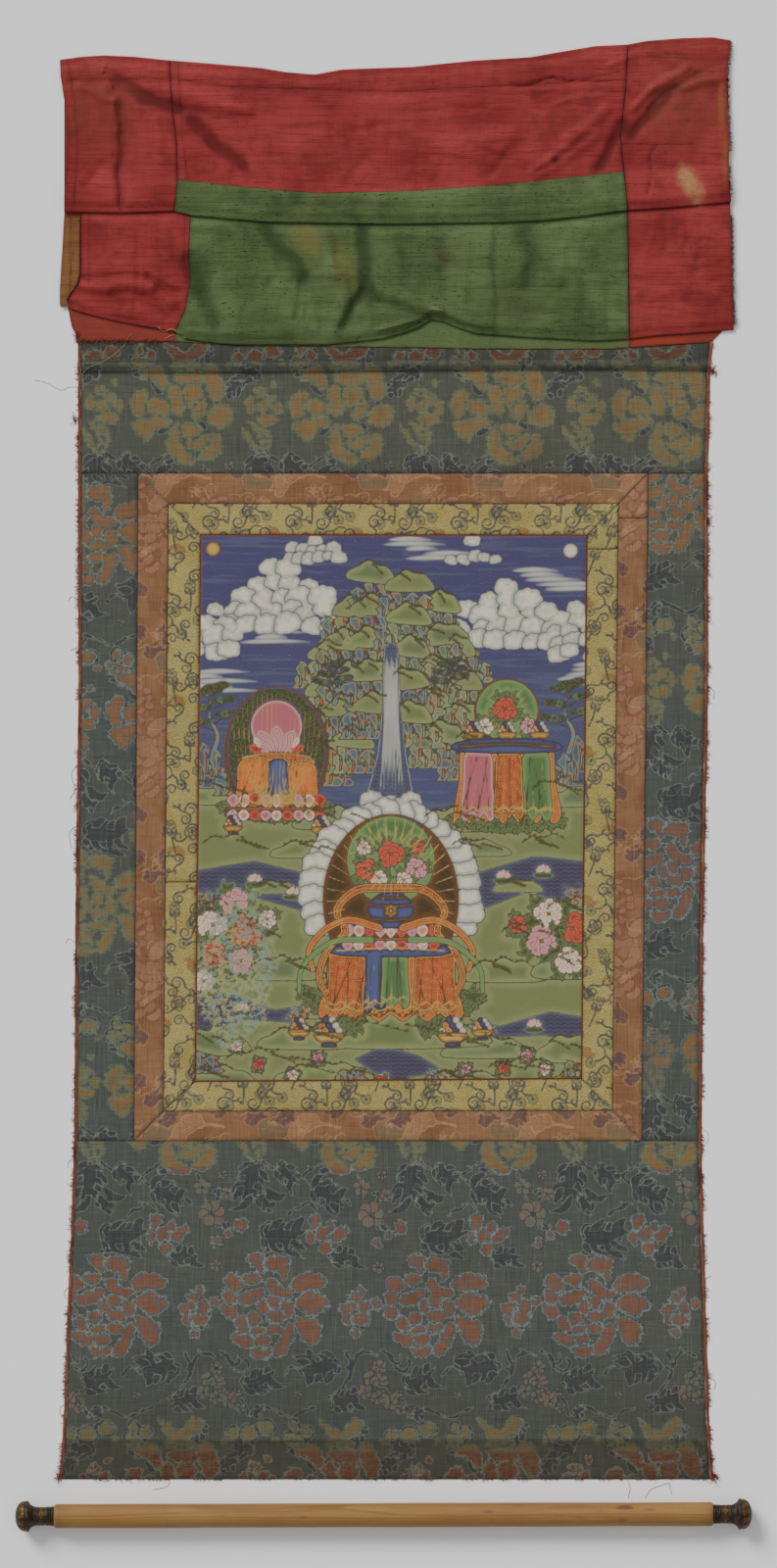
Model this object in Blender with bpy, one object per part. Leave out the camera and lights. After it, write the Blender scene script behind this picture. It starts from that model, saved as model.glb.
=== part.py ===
"""Scroll painting in a brocade mount, laid flat and face up, with its silk veil folded up above it.

World frame: the picture's width runs along X, its height along +Y, and +Z is up, off the surface
it lies on. The origin is the centre of the whole outline, on that surface. The tables are in
millimetres, real size, and add_object turns them into Blender's metres.
"""

import math

import bmesh
import bpy
import numpy as np

MM = 0.001
GAP = 0.3  # between pieces that meet

# Cloth thicknesses
MOUNT_THICK = 1.5  # brocade on its paper backing
PAINTING_THICK = 1.2
SILK_THICK = 1.0
EDGING_THICK = 1.6
EDGING_WIDTH = 2.4
# Section of the edging: distance in from the outline, and height
EDGING_SECTION = ((0.0, 0.0), (EDGING_WIDTH, 0.0), (EDGING_WIDTH, 1.1), (0.7, EDGING_THICK), (0.0, 0.9))
EDGING_STEPS = 26

# The folded veil: sheet centre heights of its layers, one above another
LAYER_PITCH = 1.5
LAYER = [SILK_THICK / 2 + LAYER_PITCH * k for k in range(5)]
TURN_STEPS = 4  # segments round each fold
BACK_FOLD_DROP = 12.0  # hidden back fold, below the hem crease
TUCK_DEPTH = 24.0  # how far the cloth goes up behind the upper tier
VEIL_LOFT = 0.9  # the front layers stand this far off their lowest level
FOLD_CLEAR = 4.0  # a front layer lies flat this near its folds
FOLD_EASE = 14.0  # and reaches its full loft over this length
LEVEL_CLEAR = 3.0  # the upper front starts to sink this far past a hidden fold
TUCK_SLOPE = 18.0  # and sinks over this length past the tuck
BACK_SLOPE = 8.0  # and over this one past the back fold
TOP_FLAT = 26.0  # the upper front lies flat this far below its top edge

# Dowel
ROD_LENGTH = 726.0
ROD_DIAMETER = 27.0
ROD_CHAMFER = (1.2, 1.0)  # along the axis, and off the radius
ROD_SEGMENTS = 32
KNOB_SEGMENTS = 28
HEAD_DIAMETER = 34.5
NECK_DIAMETER = 22.0
KNOB_TIP = 39.5  # length of the turned profile, from the rod's end
DOME_START = 29.5
DOME_TIP_RADIUS = 3.0
KNOB_REACH = 405.5  # from the dowel's middle to a knob's tip
FLAT_DEPTH = 0.4  # small flat spot that each knob rests on
DOWEL_Y = -804.6
DOWEL_TURN = math.radians(0.18)

# Outline of the mount, at the outside of its edging: y, left x, right x
MOUNT_SIDES = [
    (489.0, -336.4, 362.3),
    (454.7, -336.1, 359.1),
    (342.4, -335.9, 356.5),
    (108.0, -335.6, 356.9),
    (-162.0, -339.1, 351.3),
    (-393.1, -340.2, 349.4),
    (-486.0, -343.4, 351.5),
    (-594.0, -348.3, 354.8),
    (-702.0, -352.0, 357.9),
    (-745.2, -354.8, 360.9),
    (-766.3, -357.5, 361.8),
]
TOP_SEAM_Y = 342.4
LOWER_SEAM_Y = -393.1
HEM_Y = -766.3

# Corners of the nested frames, clockwise from the top left: x, y
OUTER_FRAME = [(-270.5, 342.4), (291.5, 342.4), (284.6, -393.1), (-275.2, -393.1)]
INNER_FRAME = [(-237.1, 308.9), (258.7, 308.9), (252.2, -359.8), (-242.7, -360.7)]
PAINTING = [(-202.0, 274.9), (224.6, 274.3), (218.7, -325.1), (-207.9, -328.3)]
# Heights at which a strip was pieced from two lengths
INNER_LEFT_JOIN_Y = -108.0
INNER_RIGHT_JOIN_Y = 259.0
OUTER_RIGHT_JOIN_Y = 293.0

# Ridge over the stick sewn in near the top, and the crease above the hem: y, half width, height
ROD_RIDGE = (461.0, 9.0, 3.4)
HEM_CREASE = (-723.6, 7.0, 0.7)
# The ridge wanders along X, and the flat cloth swells slowly: height, then lengths across and up
RIDGE_WANDER = (1.5, 130.0)
SWELL = (0.25, 61.0, 47.0)

# Lines that cross the veil, as x, y
VEIL_TOP = [
    (-357, 798.0), (-333, 801.5), (-308, 803.0), (-275, 801.5), (-237, 797.6), (-196, 794.4),
    (-136, 789.2), (-107, 784.5), (-76, 781.9), (-45, 787.6), (31, 790.2), (98, 797.1),
    (162, 801.0), (198, 807.4), (233, 813.2), (269, 815.0), (290, 818.9), (328, 822.0),
    (363, 823.0), (386, 819.0),
]  # fmt: skip
VEIL_HEM_CREASE = [(-357, 773), (-232, 775), (-171, 766), (15, 762), (139, 768), (260, 782), (386, 791)]
GREEN_TOP_SEAM = [(-227, 665.4), (-144, 656.7), (-71, 650.5), (31, 653.1), (124, 659.6), (265, 674.6)]
TIER_FOLD = [
    (-357, 630.4), (-288, 629.1), (-232, 631.0), (-212, 626.1), (-128, 618.9), (9, 616.6),
    (129, 618.5), (182, 621.1), (221, 625.5), (268, 631.8), (313, 634.7), (386, 641.2),
]  # fmt: skip
VEIL_BOTTOM = [
    (-357, 524.4), (-345, 523.3), (-321, 516.0), (-296, 510.0), (-230, 498.0), (-219, 490.8),
    (-200, 487.1), (-164, 483.9), (-60, 483.9), (-43, 486.0), (-2, 490.3), (19, 496.0),
    (38, 502.5), (52, 511.7), (66, 509.1), (85, 501.2), (103, 496.0), (155, 492.0),
    (234, 488.0), (271, 490.3), (297, 493.6), (386, 499.9),
]  # fmt: skip
# Where the veil is sewn to the mount
SEWN_EDGE = [
    (-345, 488.6), (-224, 487.6), (-130, 483.2), (-2, 482.0), (120, 479.8), (250, 479.6),
    (363, 487.4),
]  # fmt: skip
SEWN_GAP = 0.7

# Upright edges of the veil's pieces, as y, x. "back" is the two hidden layers, "lower" and "upper"
# the front of each tier.
VEIL_LEFT = {
    "back": [(488, -336), (498, -343), (510, -345), (524, -348), (562, -352), (800, -352)],
    "lower": [
        (522, -345), (534, -347), (542, -342), (550, -336), (556, -333.5), (632, -333.5),
        (646, -349), (800, -349),
    ],
    "upper": [
        (631, -352), (648, -352), (675, -349), (706, -347), (727, -348), (753, -352), (779, -356),
        (798, -357),
    ],
}  # fmt: skip
SEAM_LEFT = {
    "back": [(484, -230), (498, -230), (522, -219), (553, -213), (582, -215), (626, -213), (800, -213)],
    "lower": [(484, -230), (498, -230), (522, -219), (553, -213), (582, -215), (626, -213), (800, -213)],
    "upper": [(631, -231), (665, -227), (706, -228), (748, -233), (798, -236)],
}
SEAM_RIGHT = {
    "back": [(478, 271), (564, 270), (631, 269), (800, 269)],
    "lower": [(478, 271), (564, 270), (631, 269), (800, 269)],
    "upper": [(633, 269), (675, 265), (712, 261), (768, 267), (814, 269)],
}
VEIL_RIGHT = {
    "back": [(478, 362), (488, 362), (498, 378), (538, 381), (800, 379)],
    "lower": [(500, 386), (538, 384), (590, 383), (640, 382), (800, 382)],
    "upper": [(643, 383), (666, 380), (709, 381), (747, 379), (783, 378), (819, 383)],
}
# Facing strip that shows along the left edge of the lower tier, as y, x
FACING_LEFT = [(525, -356), (529, -357), (546, -357), (594, -354), (630, -352)]
FACING_RIGHT = [(525, -349), (534, -348.5), (542, -343.5), (550, -338), (562, -334.6), (630, -334.4)]
FACING_ENDS = (525.0, 626.0)
FACING_ROWS = [0.0, 0.08, 0.16, 0.24, 0.3, 0.5, 0.75, 1.0]

# Main creases of the veil: from x, y, to x, y, half width, height (a trough is negative)
LOWER_CREASES = [
    (-140, 620, -100, 569, 12, -1.0),
    (-213, 577, -188, 509, 12, -0.9),
    (-52, 575, -44, 530, 13, 1.2),
    (-44, 530, -52, 500, 13, 1.0),
    (-29, 616, -16, 527, 12, -1.0),
    (-12, 546, 59, 519, 13, 2.6),
    (59, 519, 110, 500, 12, 1.6),
    (123, 615, 123, 493, 9, -0.7),
    (-339, 548, -254, 548, 11, 2.2),
    (-254, 548, -233, 529, 11, 1.8),
]
UPPER_CREASES = [
    (-292, 765, -232, 743, 14, -0.9),
    (-206, 727, -158, 679, 14, -1.0),
    (-232, 760, -150, 742, 13, 1.6),
    (378, 785, 318, 764, 11, 1.4),
    (318, 764, 275, 714, 12, -0.9),
    (264, 726, 239, 688, 12, -1.0),
    (228, 717, 171, 673, 12, 1.2),
    (-288, 742, -288, 640, 10, -0.7),
    (20, 700, 140, 708, 16, 0.9),
]

# name: base colour, roughness, metallic
MATERIALS = {
    "painted_cotton": ((0.16, 0.20, 0.22), 0.85, 0.0),
    "gold_brocade": ((0.42, 0.32, 0.10), 0.75, 0.0),
    "rust_brocade": ((0.36, 0.14, 0.06), 0.78, 0.0),
    "slate_brocade": ((0.10, 0.13, 0.12), 0.8, 0.0),
    "red_silk": ((0.32, 0.05, 0.045), 0.6, 0.0),
    "green_silk": ((0.11, 0.16, 0.06), 0.6, 0.0),
    "tan_silk": ((0.30, 0.13, 0.05), 0.65, 0.0),
    "orange_piping": ((0.33, 0.09, 0.04), 0.85, 0.0),
    "pine": ((0.45, 0.28, 0.11), 0.55, 0.0),
    "gilt_bronze": ((0.10, 0.07, 0.04), 0.4, 0.9),
}


def clear_scene():
    """Removes every object that the file opened with."""
    for old in list(bpy.data.objects):
        bpy.data.objects.remove(old)


def make_material(name):
    """The Principled material of one row of MATERIALS, made once."""
    if name in bpy.data.materials:
        return bpy.data.materials[name]
    colour, roughness, metallic = MATERIALS[name]
    made = bpy.data.materials.new(name)
    made.use_nodes = True
    shader = made.node_tree.nodes["Principled BSDF"]
    shader.inputs["Base Color"].default_value = (*colour, 1.0)
    shader.inputs["Roughness"].default_value = roughness
    shader.inputs["Metallic"].default_value = metallic
    return made


def add_object(name, vertices, faces, material, parent=None, smooth=False):
    """Adds one named object from millimetre vertices, its faces turned outward."""
    mesh = bpy.data.meshes.new(name)
    mesh.from_pydata([tuple(c * MM for c in v) for v in vertices], [], faces)
    built = bmesh.new()
    built.from_mesh(mesh)
    bmesh.ops.recalc_face_normals(built, faces=built.faces)
    built.to_mesh(mesh)
    built.free()
    mesh.materials.append(make_material(material))
    if smooth:
        mesh.shade_smooth()
        mesh.set_sharp_from_angle(angle=math.radians(35))
    made = bpy.data.objects.new(name, mesh)
    made.parent = parent
    bpy.context.collection.objects.link(made)
    return made


def at(table, key):
    """The value of a two-column table at a key, straight between its rows and flat past its ends."""
    rows = sorted(table)
    return float(np.interp(key, [row[0] for row in rows], [row[1] for row in rows]))


def ease(value):
    """0 below 0, 1 above 1, and smooth between."""
    value = min(max(value, 0.0), 1.0)
    return value * value * (3.0 - 2.0 * value)


def crease_height(creases, x, y):
    """Sum of the creases' heights at a point: each is a soft bump across its own line."""
    total = 0.0
    for x0, y0, x1, y1, half_width, height in creases:
        run = ((x1 - x0) ** 2 + (y1 - y0) ** 2) or 1.0
        part = min(max(((x - x0) * (x1 - x0) + (y - y0) * (y1 - y0)) / run, 0.0), 1.0)
        away = math.hypot(x - x0 - part * (x1 - x0), y - y0 - part * (y1 - y0))
        total += height * ease(1.0 - away / half_width)
    return total


def ridge(x, y):
    """Height of the ridge over the sewn-in stick, which lifts the cloth, underside and all."""
    middle, half_width, height = ROD_RIDGE
    aside, length = RIDGE_WANDER
    return height * ease(1.0 - abs(y - middle - aside * math.sin(x / length)) / half_width)


def unevenness(x, y):
    """Slow swell of the flat cloth and the crease above its hem."""
    middle, half_width, height = HEM_CREASE
    rise, across, up = SWELL
    swell = rise * (1.0 + math.sin(x / across + 0.8) * math.sin(y / up + 0.3))
    return swell + height * ease(1.0 - abs(y - middle) / half_width)


# ---- flat pieces -----------------------------------------------------------------------------


def spaced(count, rim=0.0):
    """Shares from 0 to 1 in equal steps, with an extra one just inside each end if rim is given."""
    inner = [k / count for k in range(1, count)]
    return [0.0] + ([rim] if rim else []) + inner + ([1.0 - rim] if rim else []) + [1.0]


def patch(bottom, top, left, right, across, up):
    """Grid of plan points between four edges, each a function of a share from 0 to 1."""
    grid = []
    for v in up:
        row = []
        for u in across:
            point = []
            for axis in (0, 1):
                ruled = (1 - v) * bottom(u)[axis] + v * top(u)[axis]
                ruled += (1 - u) * left(v)[axis] + u * right(v)[axis]
                ruled -= (1 - u) * (1 - v) * bottom(0)[axis] + u * (1 - v) * bottom(1)[axis]
                ruled -= (1 - u) * v * top(0)[axis] + u * v * top(1)[axis]
                point.append(ruled)
            row.append(point)
        grid.append(row)
    return drawn_in(np.array(grid), GAP / 2)


def drawn_in(grid, inset):
    """Moves the rim of a grid inward, so that pieces that share an edge keep their gap."""
    moved = grid.copy()
    for edge, inner in ((0, 1), (-1, -2)):
        for rim, step in ((np.s_[edge], grid[inner] - grid[edge]),
                          (np.s_[:, edge], grid[:, inner] - grid[:, edge])):  # fmt: skip
            moved[rim] += inset * step / np.linalg.norm(step, axis=-1, keepdims=True)
    return moved


def line(start, end):
    """A straight edge from one plan point to another."""
    return lambda share: (
        start[0] + share * (end[0] - start[0]),
        start[1] + share * (end[1] - start[1]),
    )


def side(column, y_low, y_high, inward):
    """An edge that follows the mount's outline: column 1 is its left side and 2 its right."""
    table = [(row[0], row[column]) for row in MOUNT_SIDES]

    def edge(share):
        y = y_low + share * (y_high - y_low)
        return at(table, y) + inward, y

    return edge


def add_panel(name, grid, thick, material, lifted=False):
    """A closed sheet over a plan grid. Its underside is one flat face, or follows the ridge."""
    rows, columns = grid.shape[:2]
    upper, lower = [], []
    for i in range(rows):
        for j in range(columns):
            x, y = grid[i, j]
            rim = i in (0, rows - 1) or j in (0, columns - 1)
            lift = ridge(x, y) if lifted else 0.0
            upper.append((x, y, lift + thick + (0.0 if rim else unevenness(x, y))))
            lower.append((x, y, lift))
    add_object(name, *closed_sheet(upper, lower, rows, columns, flat_underside=not lifted), material)


def closed_sheet(upper, lower, rows, columns, flat_underside=False):
    """Vertices and faces of the solid between two grids of the same size."""
    top = lambda i, j: i * columns + j  # noqa: E731
    faces = [
        (top(i, j), top(i, j + 1), top(i + 1, j + 1), top(i + 1, j))
        for i in range(rows - 1)
        for j in range(columns - 1)
    ]
    rim = [top(0, j) for j in range(columns)]
    rim += [top(i, columns - 1) for i in range(1, rows)]
    rim += [top(rows - 1, j) for j in range(columns - 2, -1, -1)]
    rim += [top(i, 0) for i in range(rows - 2, 0, -1)]
    if flat_underside:
        vertices = upper + [lower[k] for k in rim]
        under = {k: len(upper) + place for place, k in enumerate(rim)}
        faces.append(tuple(under[k] for k in reversed(rim)))
    else:
        vertices = upper + lower
        under = {k: len(upper) + k for k in range(len(upper))}
        faces += [tuple(under[k] for k in reversed(face)) for face in list(faces)]
    for place, k in enumerate(rim):
        after = rim[(place + 1) % len(rim)]
        faces.append((k, under[k], under[after], after))
    return vertices, faces


def add_painting():
    """The painted cotton itself."""
    top_left, top_right, low_right, low_left = PAINTING
    grid = patch(
        line(low_left, low_right),
        line(top_left, top_right),
        line(low_left, top_left),
        line(low_right, top_right),
        spaced(10, 0.012),
        spaced(14, 0.009),
    )
    add_panel("painting", grid, PAINTING_THICK, "painted_cotton")


def add_strip(name, outer_a, outer_b, inner_a, inner_b, material):
    """One length of a frame, mitred at its ends, from a to b along its outer edge."""
    length = math.hypot(outer_b[0] - outer_a[0], outer_b[1] - outer_a[1])
    steps = max(2, round(length / 62.0))
    grid = patch(
        line(outer_a, outer_b),
        line(inner_a, inner_b),
        line(outer_a, inner_a),
        line(outer_b, inner_b),
        spaced(steps, 3.0 / length),
        [0.0, 0.1, 0.5, 0.9, 1.0],
    )
    add_panel(name, grid, MOUNT_THICK, material)


def cut_at(start, end, y):
    """Where a straight edge passes a height."""
    share = (y - start[1]) / (end[1] - start[1])
    return line(start, end)(share)


def add_frame(prefix, outer, inner, material, left_join=None, right_join=None):
    """Four mitred strips round a frame, a side in two lengths where it was pieced."""
    add_strip(prefix + "_top", outer[0], outer[1], inner[0], inner[1], material)
    add_strip(prefix + "_bottom", outer[2], outer[3], inner[2], inner[3], material)
    sides = (
        ("_left", outer[3], outer[0], inner[3], inner[0], left_join, ("_lower", "_upper")),
        ("_right", outer[1], outer[2], inner[1], inner[2], right_join, ("_upper", "_lower")),
    )
    for label, outer_a, outer_b, inner_a, inner_b, join, halves in sides:
        if join is None:
            add_strip(prefix + label, outer_a, outer_b, inner_a, inner_b, material)
            continue
        outer_cut = cut_at(outer_a, outer_b, join)
        inner_cut = cut_at(inner_a, inner_b, join)
        add_strip(prefix + label + halves[0], outer_a, outer_cut, inner_a, inner_cut, material)
        add_strip(prefix + label + halves[1], outer_cut, outer_b, inner_cut, inner_b, material)


def add_brocades():
    """The four panels of the mount round the frames."""
    inward = EDGING_WIDTH + GAP / 2
    _, x_left, x_right = MOUNT_SIDES[0]
    sewn = lambda share: (  # noqa: E731
        x_left + inward + share * (x_right - x_left - 2 * inward),
        at(SEWN_EDGE, x_left + share * (x_right - x_left)),
    )
    top_low = [side(k, TOP_SEAM_Y, TOP_SEAM_Y, way)(0) for k, way in ((1, inward), (2, -inward))]
    left_up = lambda share: side(1, TOP_SEAM_Y, sewn(0)[1], inward)(share)  # noqa: E731
    right_up = lambda share: side(2, TOP_SEAM_Y, sewn(1)[1], -inward)(share)  # noqa: E731
    ridge_rows = [0.0, 0.03, 0.2, 0.4, 0.6, 0.74, 0.77, 0.81, 0.85, 0.88, 0.91, 1.0]
    grid = patch(line(*top_low), sewn, left_up, right_up, spaced(26, 0.006), ridge_rows)
    add_panel("brocade_top", grid, MOUNT_THICK, "slate_brocade", lifted=True)

    for label, column, way, frame_low, frame_high in (
        ("left", 1, inward, OUTER_FRAME[3], OUTER_FRAME[0]),
        ("right", 2, -inward, OUTER_FRAME[2], OUTER_FRAME[1]),
    ):
        outside = side(column, LOWER_SEAM_Y, TOP_SEAM_Y, way)
        inside = line(frame_low, frame_high)
        left, right = (outside, inside) if label == "left" else (inside, outside)
        grid = patch(
            line(left(0), right(0)),
            line(left(1), right(1)),
            left,
            right,
            [0.0, 0.05, 0.5, 0.95, 1.0],
            spaced(14, 0.004),
        )
        add_panel("brocade_" + label, grid, MOUNT_THICK, "slate_brocade")

    left = side(1, HEM_Y, LOWER_SEAM_Y, inward)
    right = side(2, HEM_Y, LOWER_SEAM_Y, -inward)
    hem_rows = [0.0, 0.05, 0.09, 0.114, 0.14, 0.2, 0.35, 0.5, 0.65, 0.8, 0.9, 0.99, 1.0]
    grid = patch(line(left(0), right(0)), line(left(1), right(1)), left, right, spaced(14, 0.006), hem_rows)
    add_panel("brocade_bottom", grid, MOUNT_THICK, "slate_brocade")


def add_edging(name, column, way):
    """The narrow piping down one side of the mount."""
    steps = EDGING_STEPS
    top = at(SEWN_EDGE, MOUNT_SIDES[0][column])
    outline = side(column, HEM_Y, top, 0.0)
    vertices, faces = [], []
    for k in range(steps + 1):
        x, y = outline(k / steps)
        lift = ridge(x, y)
        vertices += [(x + way * inward, y, up + (lift if up else 0.0)) for inward, up in EDGING_SECTION]
    count = len(EDGING_SECTION)
    for k in range(steps):
        for p in range(count):
            after = (p + 1) % count
            faces.append((k * count + p, k * count + after, (k + 1) * count + after, (k + 1) * count + p))
    faces.append(tuple(range(count)))
    faces.append(tuple(steps * count + p for p in reversed(range(count))))
    add_object(name, vertices, faces, "orange_piping")


# ---- the folded veil -------------------------------------------------------------------------


def back_fold(x):
    """Height of the hidden fold of the two back layers."""
    return at(VEIL_HEM_CREASE, x) - BACK_FOLD_DROP


def tuck_fold(x):
    """Height of the fold hidden behind the upper tier."""
    return at(TIER_FOLD, x) + TUCK_DEPTH


def upper_level(x, y):
    """Centre height of the upper tier's front: high over the tuck, then lower step by step."""
    past_tuck = ease((y - tuck_fold(x) - LEVEL_CLEAR) / TUCK_SLOPE)
    past_back = ease((y - back_fold(x) - LEVEL_CLEAR) / BACK_SLOPE)
    return LAYER[4] - 2 * LAYER_PITCH * past_tuck - LAYER_PITCH * past_back


def drape(creases, x, y, low, high):
    """Lift of a front layer off its lowest level, dying out towards its two folds."""
    near = ease((y - low - FOLD_CLEAR) / FOLD_EASE) * ease((high - y - FOLD_CLEAR) / FOLD_EASE)
    return near * max(0.0, VEIL_LOFT + crease_height(creases, x, y))


def run(tables, start, end, steps, level, reach_start, reach_end):
    """Stations of one layer between two lines, each a function of x, kept back from its folds."""
    stations = []
    for k in range(steps + 1):
        share = k / steps

        def place(x, share=share):
            y_start, y_end = start(x), end(x)
            way = 1.0 if y_end > y_start else -1.0
            y_start += way * reach_start
            y_end -= way * reach_end
            y = y_start + share * (y_end - y_start)
            return y, level(x, y)

        stations.append((tables, place))
    return stations


def turn(tables, fold, way, level_from, level_to):
    """Stations round a fold whose outside lies on a line. way is +1 where it bulges to +Y."""
    radius = LAYER_PITCH / 2
    stations = []
    for k in range(1, TURN_STEPS):
        angle = math.pi * k / TURN_STEPS

        def place(x, angle=angle):
            centre = fold(x) - way * (radius + SILK_THICK / 2)
            middle = (level_from + level_to) / 2
            half = (level_from - level_to) / 2
            return centre + way * radius * math.sin(angle), middle + half * math.cos(angle)

        stations.append((tables, place))
    return stations


REACH = LAYER_PITCH / 2 + SILK_THICK / 2


def back_and_lower_stations():
    """The veil from its sewn edge to the fold at the foot of the upper tier."""
    sewn = lambda x: at(SEWN_EDGE, x) + SEWN_GAP  # noqa: E731
    foot = lambda x: at(VEIL_BOTTOM, x)  # noqa: E731
    tier = lambda x: at(TIER_FOLD, x)  # noqa: E731
    flat = lambda height: lambda x, y: height  # noqa: E731
    front = lambda x, y: LAYER[2] + drape(LOWER_CREASES, x, y, foot(x), tier(x))  # noqa: E731
    stations = run("back", sewn, back_fold, 2, flat(LAYER[0]), 0.0, REACH)
    stations += turn("back", back_fold, 1, LAYER[0], LAYER[1])
    stations += run("back", back_fold, foot, 2, flat(LAYER[1]), REACH, REACH)
    stations += turn("lower", foot, -1, LAYER[1], LAYER[2])
    stations += run("lower", foot, tuck_fold, 11, front, REACH, REACH)
    stations += turn("lower", tuck_fold, 1, LAYER[2], LAYER[3])
    stations += run("tuck", tuck_fold, tier, 1, flat(LAYER[3]), REACH, REACH)
    stations += turn("upper", tier, -1, LAYER[3], LAYER[4])
    return stations


def upper_front(x, y):
    """Centre height of the upper tier's front with its creases."""
    top = at(VEIL_TOP, x)
    return upper_level(x, y) + drape(UPPER_CREASES, x, y, at(TIER_FOLD, x), top - TOP_FLAT)


def hem_stations():
    """The veil's free hem: over the top edge and a little way back under it."""
    top = lambda x: at(VEIL_TOP, x)  # noqa: E731
    crease = lambda x: at(VEIL_HEM_CREASE, x)  # noqa: E731
    stations = turn("upper", top, 1, LAYER[1], LAYER[0])
    return stations + run("upper", top, crease, 1, lambda x, y: LAYER[0], REACH, 0.0)


def edge_x(edge, tables, y):
    """x of an upright edge in one layer. In the tuck it runs from the lower tier's to the upper's."""
    if tables != "tuck":
        return at(edge[tables], y)
    low, high = at(edge["upper"], y), at(edge["lower"], y)
    tier = at(TIER_FOLD, high)
    share = ease((y - tier - REACH) / (TUCK_DEPTH - 2 * REACH))
    return low + share * (high - low)


def add_folded(name, left, right, stations, columns, material):
    """One piece of the folded veil: a sheet of even thickness along its stations."""
    shares = spaced(columns)
    centre = np.zeros((len(stations), len(shares), 3))
    for i, (tables, place) in enumerate(stations):
        for j, share in enumerate(shares):
            x = 0.0
            for _ in range(6):  # the edges depend on y and y on x, so close in on both
                y, z = place(x)
                x_left = edge_x(left, tables, y) + GAP / 2
                x_right = edge_x(right, tables, y) - GAP / 2
                x = x_left + share * (x_right - x_left)
            centre[i, j] = (x, y, z)
    along = np.gradient(centre, axis=0)
    normal = np.stack([np.zeros_like(along[..., 0]), -along[..., 2], along[..., 1]], axis=-1)
    normal /= np.linalg.norm(normal, axis=-1, keepdims=True)
    rows, count = centre.shape[:2]
    upper = [tuple(p) for p in (centre + normal * SILK_THICK / 2).reshape(-1, 3)]
    lower = [tuple(p) for p in (centre - normal * SILK_THICK / 2).reshape(-1, 3)]
    add_object(name, *closed_sheet(upper, lower, rows, count), material, smooth=True)


def add_veil():
    """The veil's pieces: green centre, red top and sides, and the facing that shows at the left."""
    base = back_and_lower_stations()
    tier = lambda x: at(TIER_FOLD, x)  # noqa: E731
    seam_low = lambda x: at(GREEN_TOP_SEAM, x) - GAP / 2  # noqa: E731
    seam_high = lambda x: at(GREEN_TOP_SEAM, x) + GAP / 2  # noqa: E731
    top = lambda x: at(VEIL_TOP, x)  # noqa: E731

    green = base + run("upper", tier, seam_low, 3, upper_front, REACH, 0.0)
    add_folded("veil_green", SEAM_LEFT, SEAM_RIGHT, green, 17, "green_silk")
    red_top = run("upper", seam_high, top, 9, upper_front, 0.0, REACH) + hem_stations()
    add_folded("veil_top", SEAM_LEFT, SEAM_RIGHT, red_top, 17, "red_silk")
    full = base + run("upper", tier, top, 12, upper_front, REACH, REACH) + hem_stations()
    add_folded("veil_left", VEIL_LEFT, SEAM_LEFT, full, 5, "red_silk")
    add_folded("veil_right", SEAM_RIGHT, VEIL_RIGHT, full, 5, "red_silk")
    add_facing()


def add_facing():
    """Tan strip along the left edge of the lower tier, one layer thick."""
    low, high = FACING_ENDS
    grid = patch(
        line((at(FACING_LEFT, low), low), (at(FACING_RIGHT, low), low)),
        line((at(FACING_LEFT, high), high), (at(FACING_RIGHT, high), high)),
        lambda share: (at(FACING_LEFT, low + share * (high - low)), low + share * (high - low)),
        lambda share: (at(FACING_RIGHT, low + share * (high - low)), low + share * (high - low)),
        [0.0, 1.0],
        FACING_ROWS,
    )
    rows, columns = grid.shape[:2]
    flat = [(x, y) for row in grid for x, y in row]
    upper = [(x, y, LAYER[2] + SILK_THICK / 2) for x, y in flat]
    lower = [(x, y, LAYER[2] - SILK_THICK / 2) for x, y in flat]
    add_object("veil_facing", *closed_sheet(upper, lower, rows, columns), "tan_silk")


# ---- dowel -----------------------------------------------------------------------------------


def turned(name, profile, segments, flat_below, material, parent):
    """A solid turned about the dowel's axis from length, radius rows, flattened at its underside."""
    vertices, faces = [], []
    for length, radius in profile:
        for k in range(segments):
            angle = 2 * math.pi * (k + 0.5) / segments
            height = max(radius * math.sin(angle), flat_below)
            vertices.append((length, radius * math.cos(angle), height))
    for ring in range(len(profile) - 1):
        for k in range(segments):
            after = (k + 1) % segments
            near, far = ring * segments, (ring + 1) * segments
            faces.append((near + k, near + after, far + after, far + k))
    faces.append(tuple(reversed(range(segments))))
    faces.append(tuple((len(profile) - 1) * segments + k for k in range(segments)))
    return add_object(name, vertices, faces, material, parent=parent, smooth=True)


def knob_profile():
    """Length from the rod's end and radius of a knob: ringed neck, waist, flared head with a dome."""
    neck, head = NECK_DIAMETER / 2, HEAD_DIAMETER / 2
    rows = [
        (GAP, neck),
        (2.2, neck),
        (3.0, neck - 0.8),
        (5.0, neck - 0.8),
        (6.0, neck - 0.2),
        (12.0, neck - 1.4),
        (19.0, neck - 0.2),
        (23.0, neck + 2.6),
        (25.5, head - 0.6),
        (26.5, head),
        (DOME_START, head),
    ]
    depth = KNOB_TIP - DOME_START
    for k in (1, 2, 3, 4):
        angle = math.radians(90 * k / 5)
        rows.append((DOME_START + depth * math.sin(angle), head * math.cos(angle) ** 0.8))
    rows.append((KNOB_TIP, DOME_TIP_RADIUS))
    return rows


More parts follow.
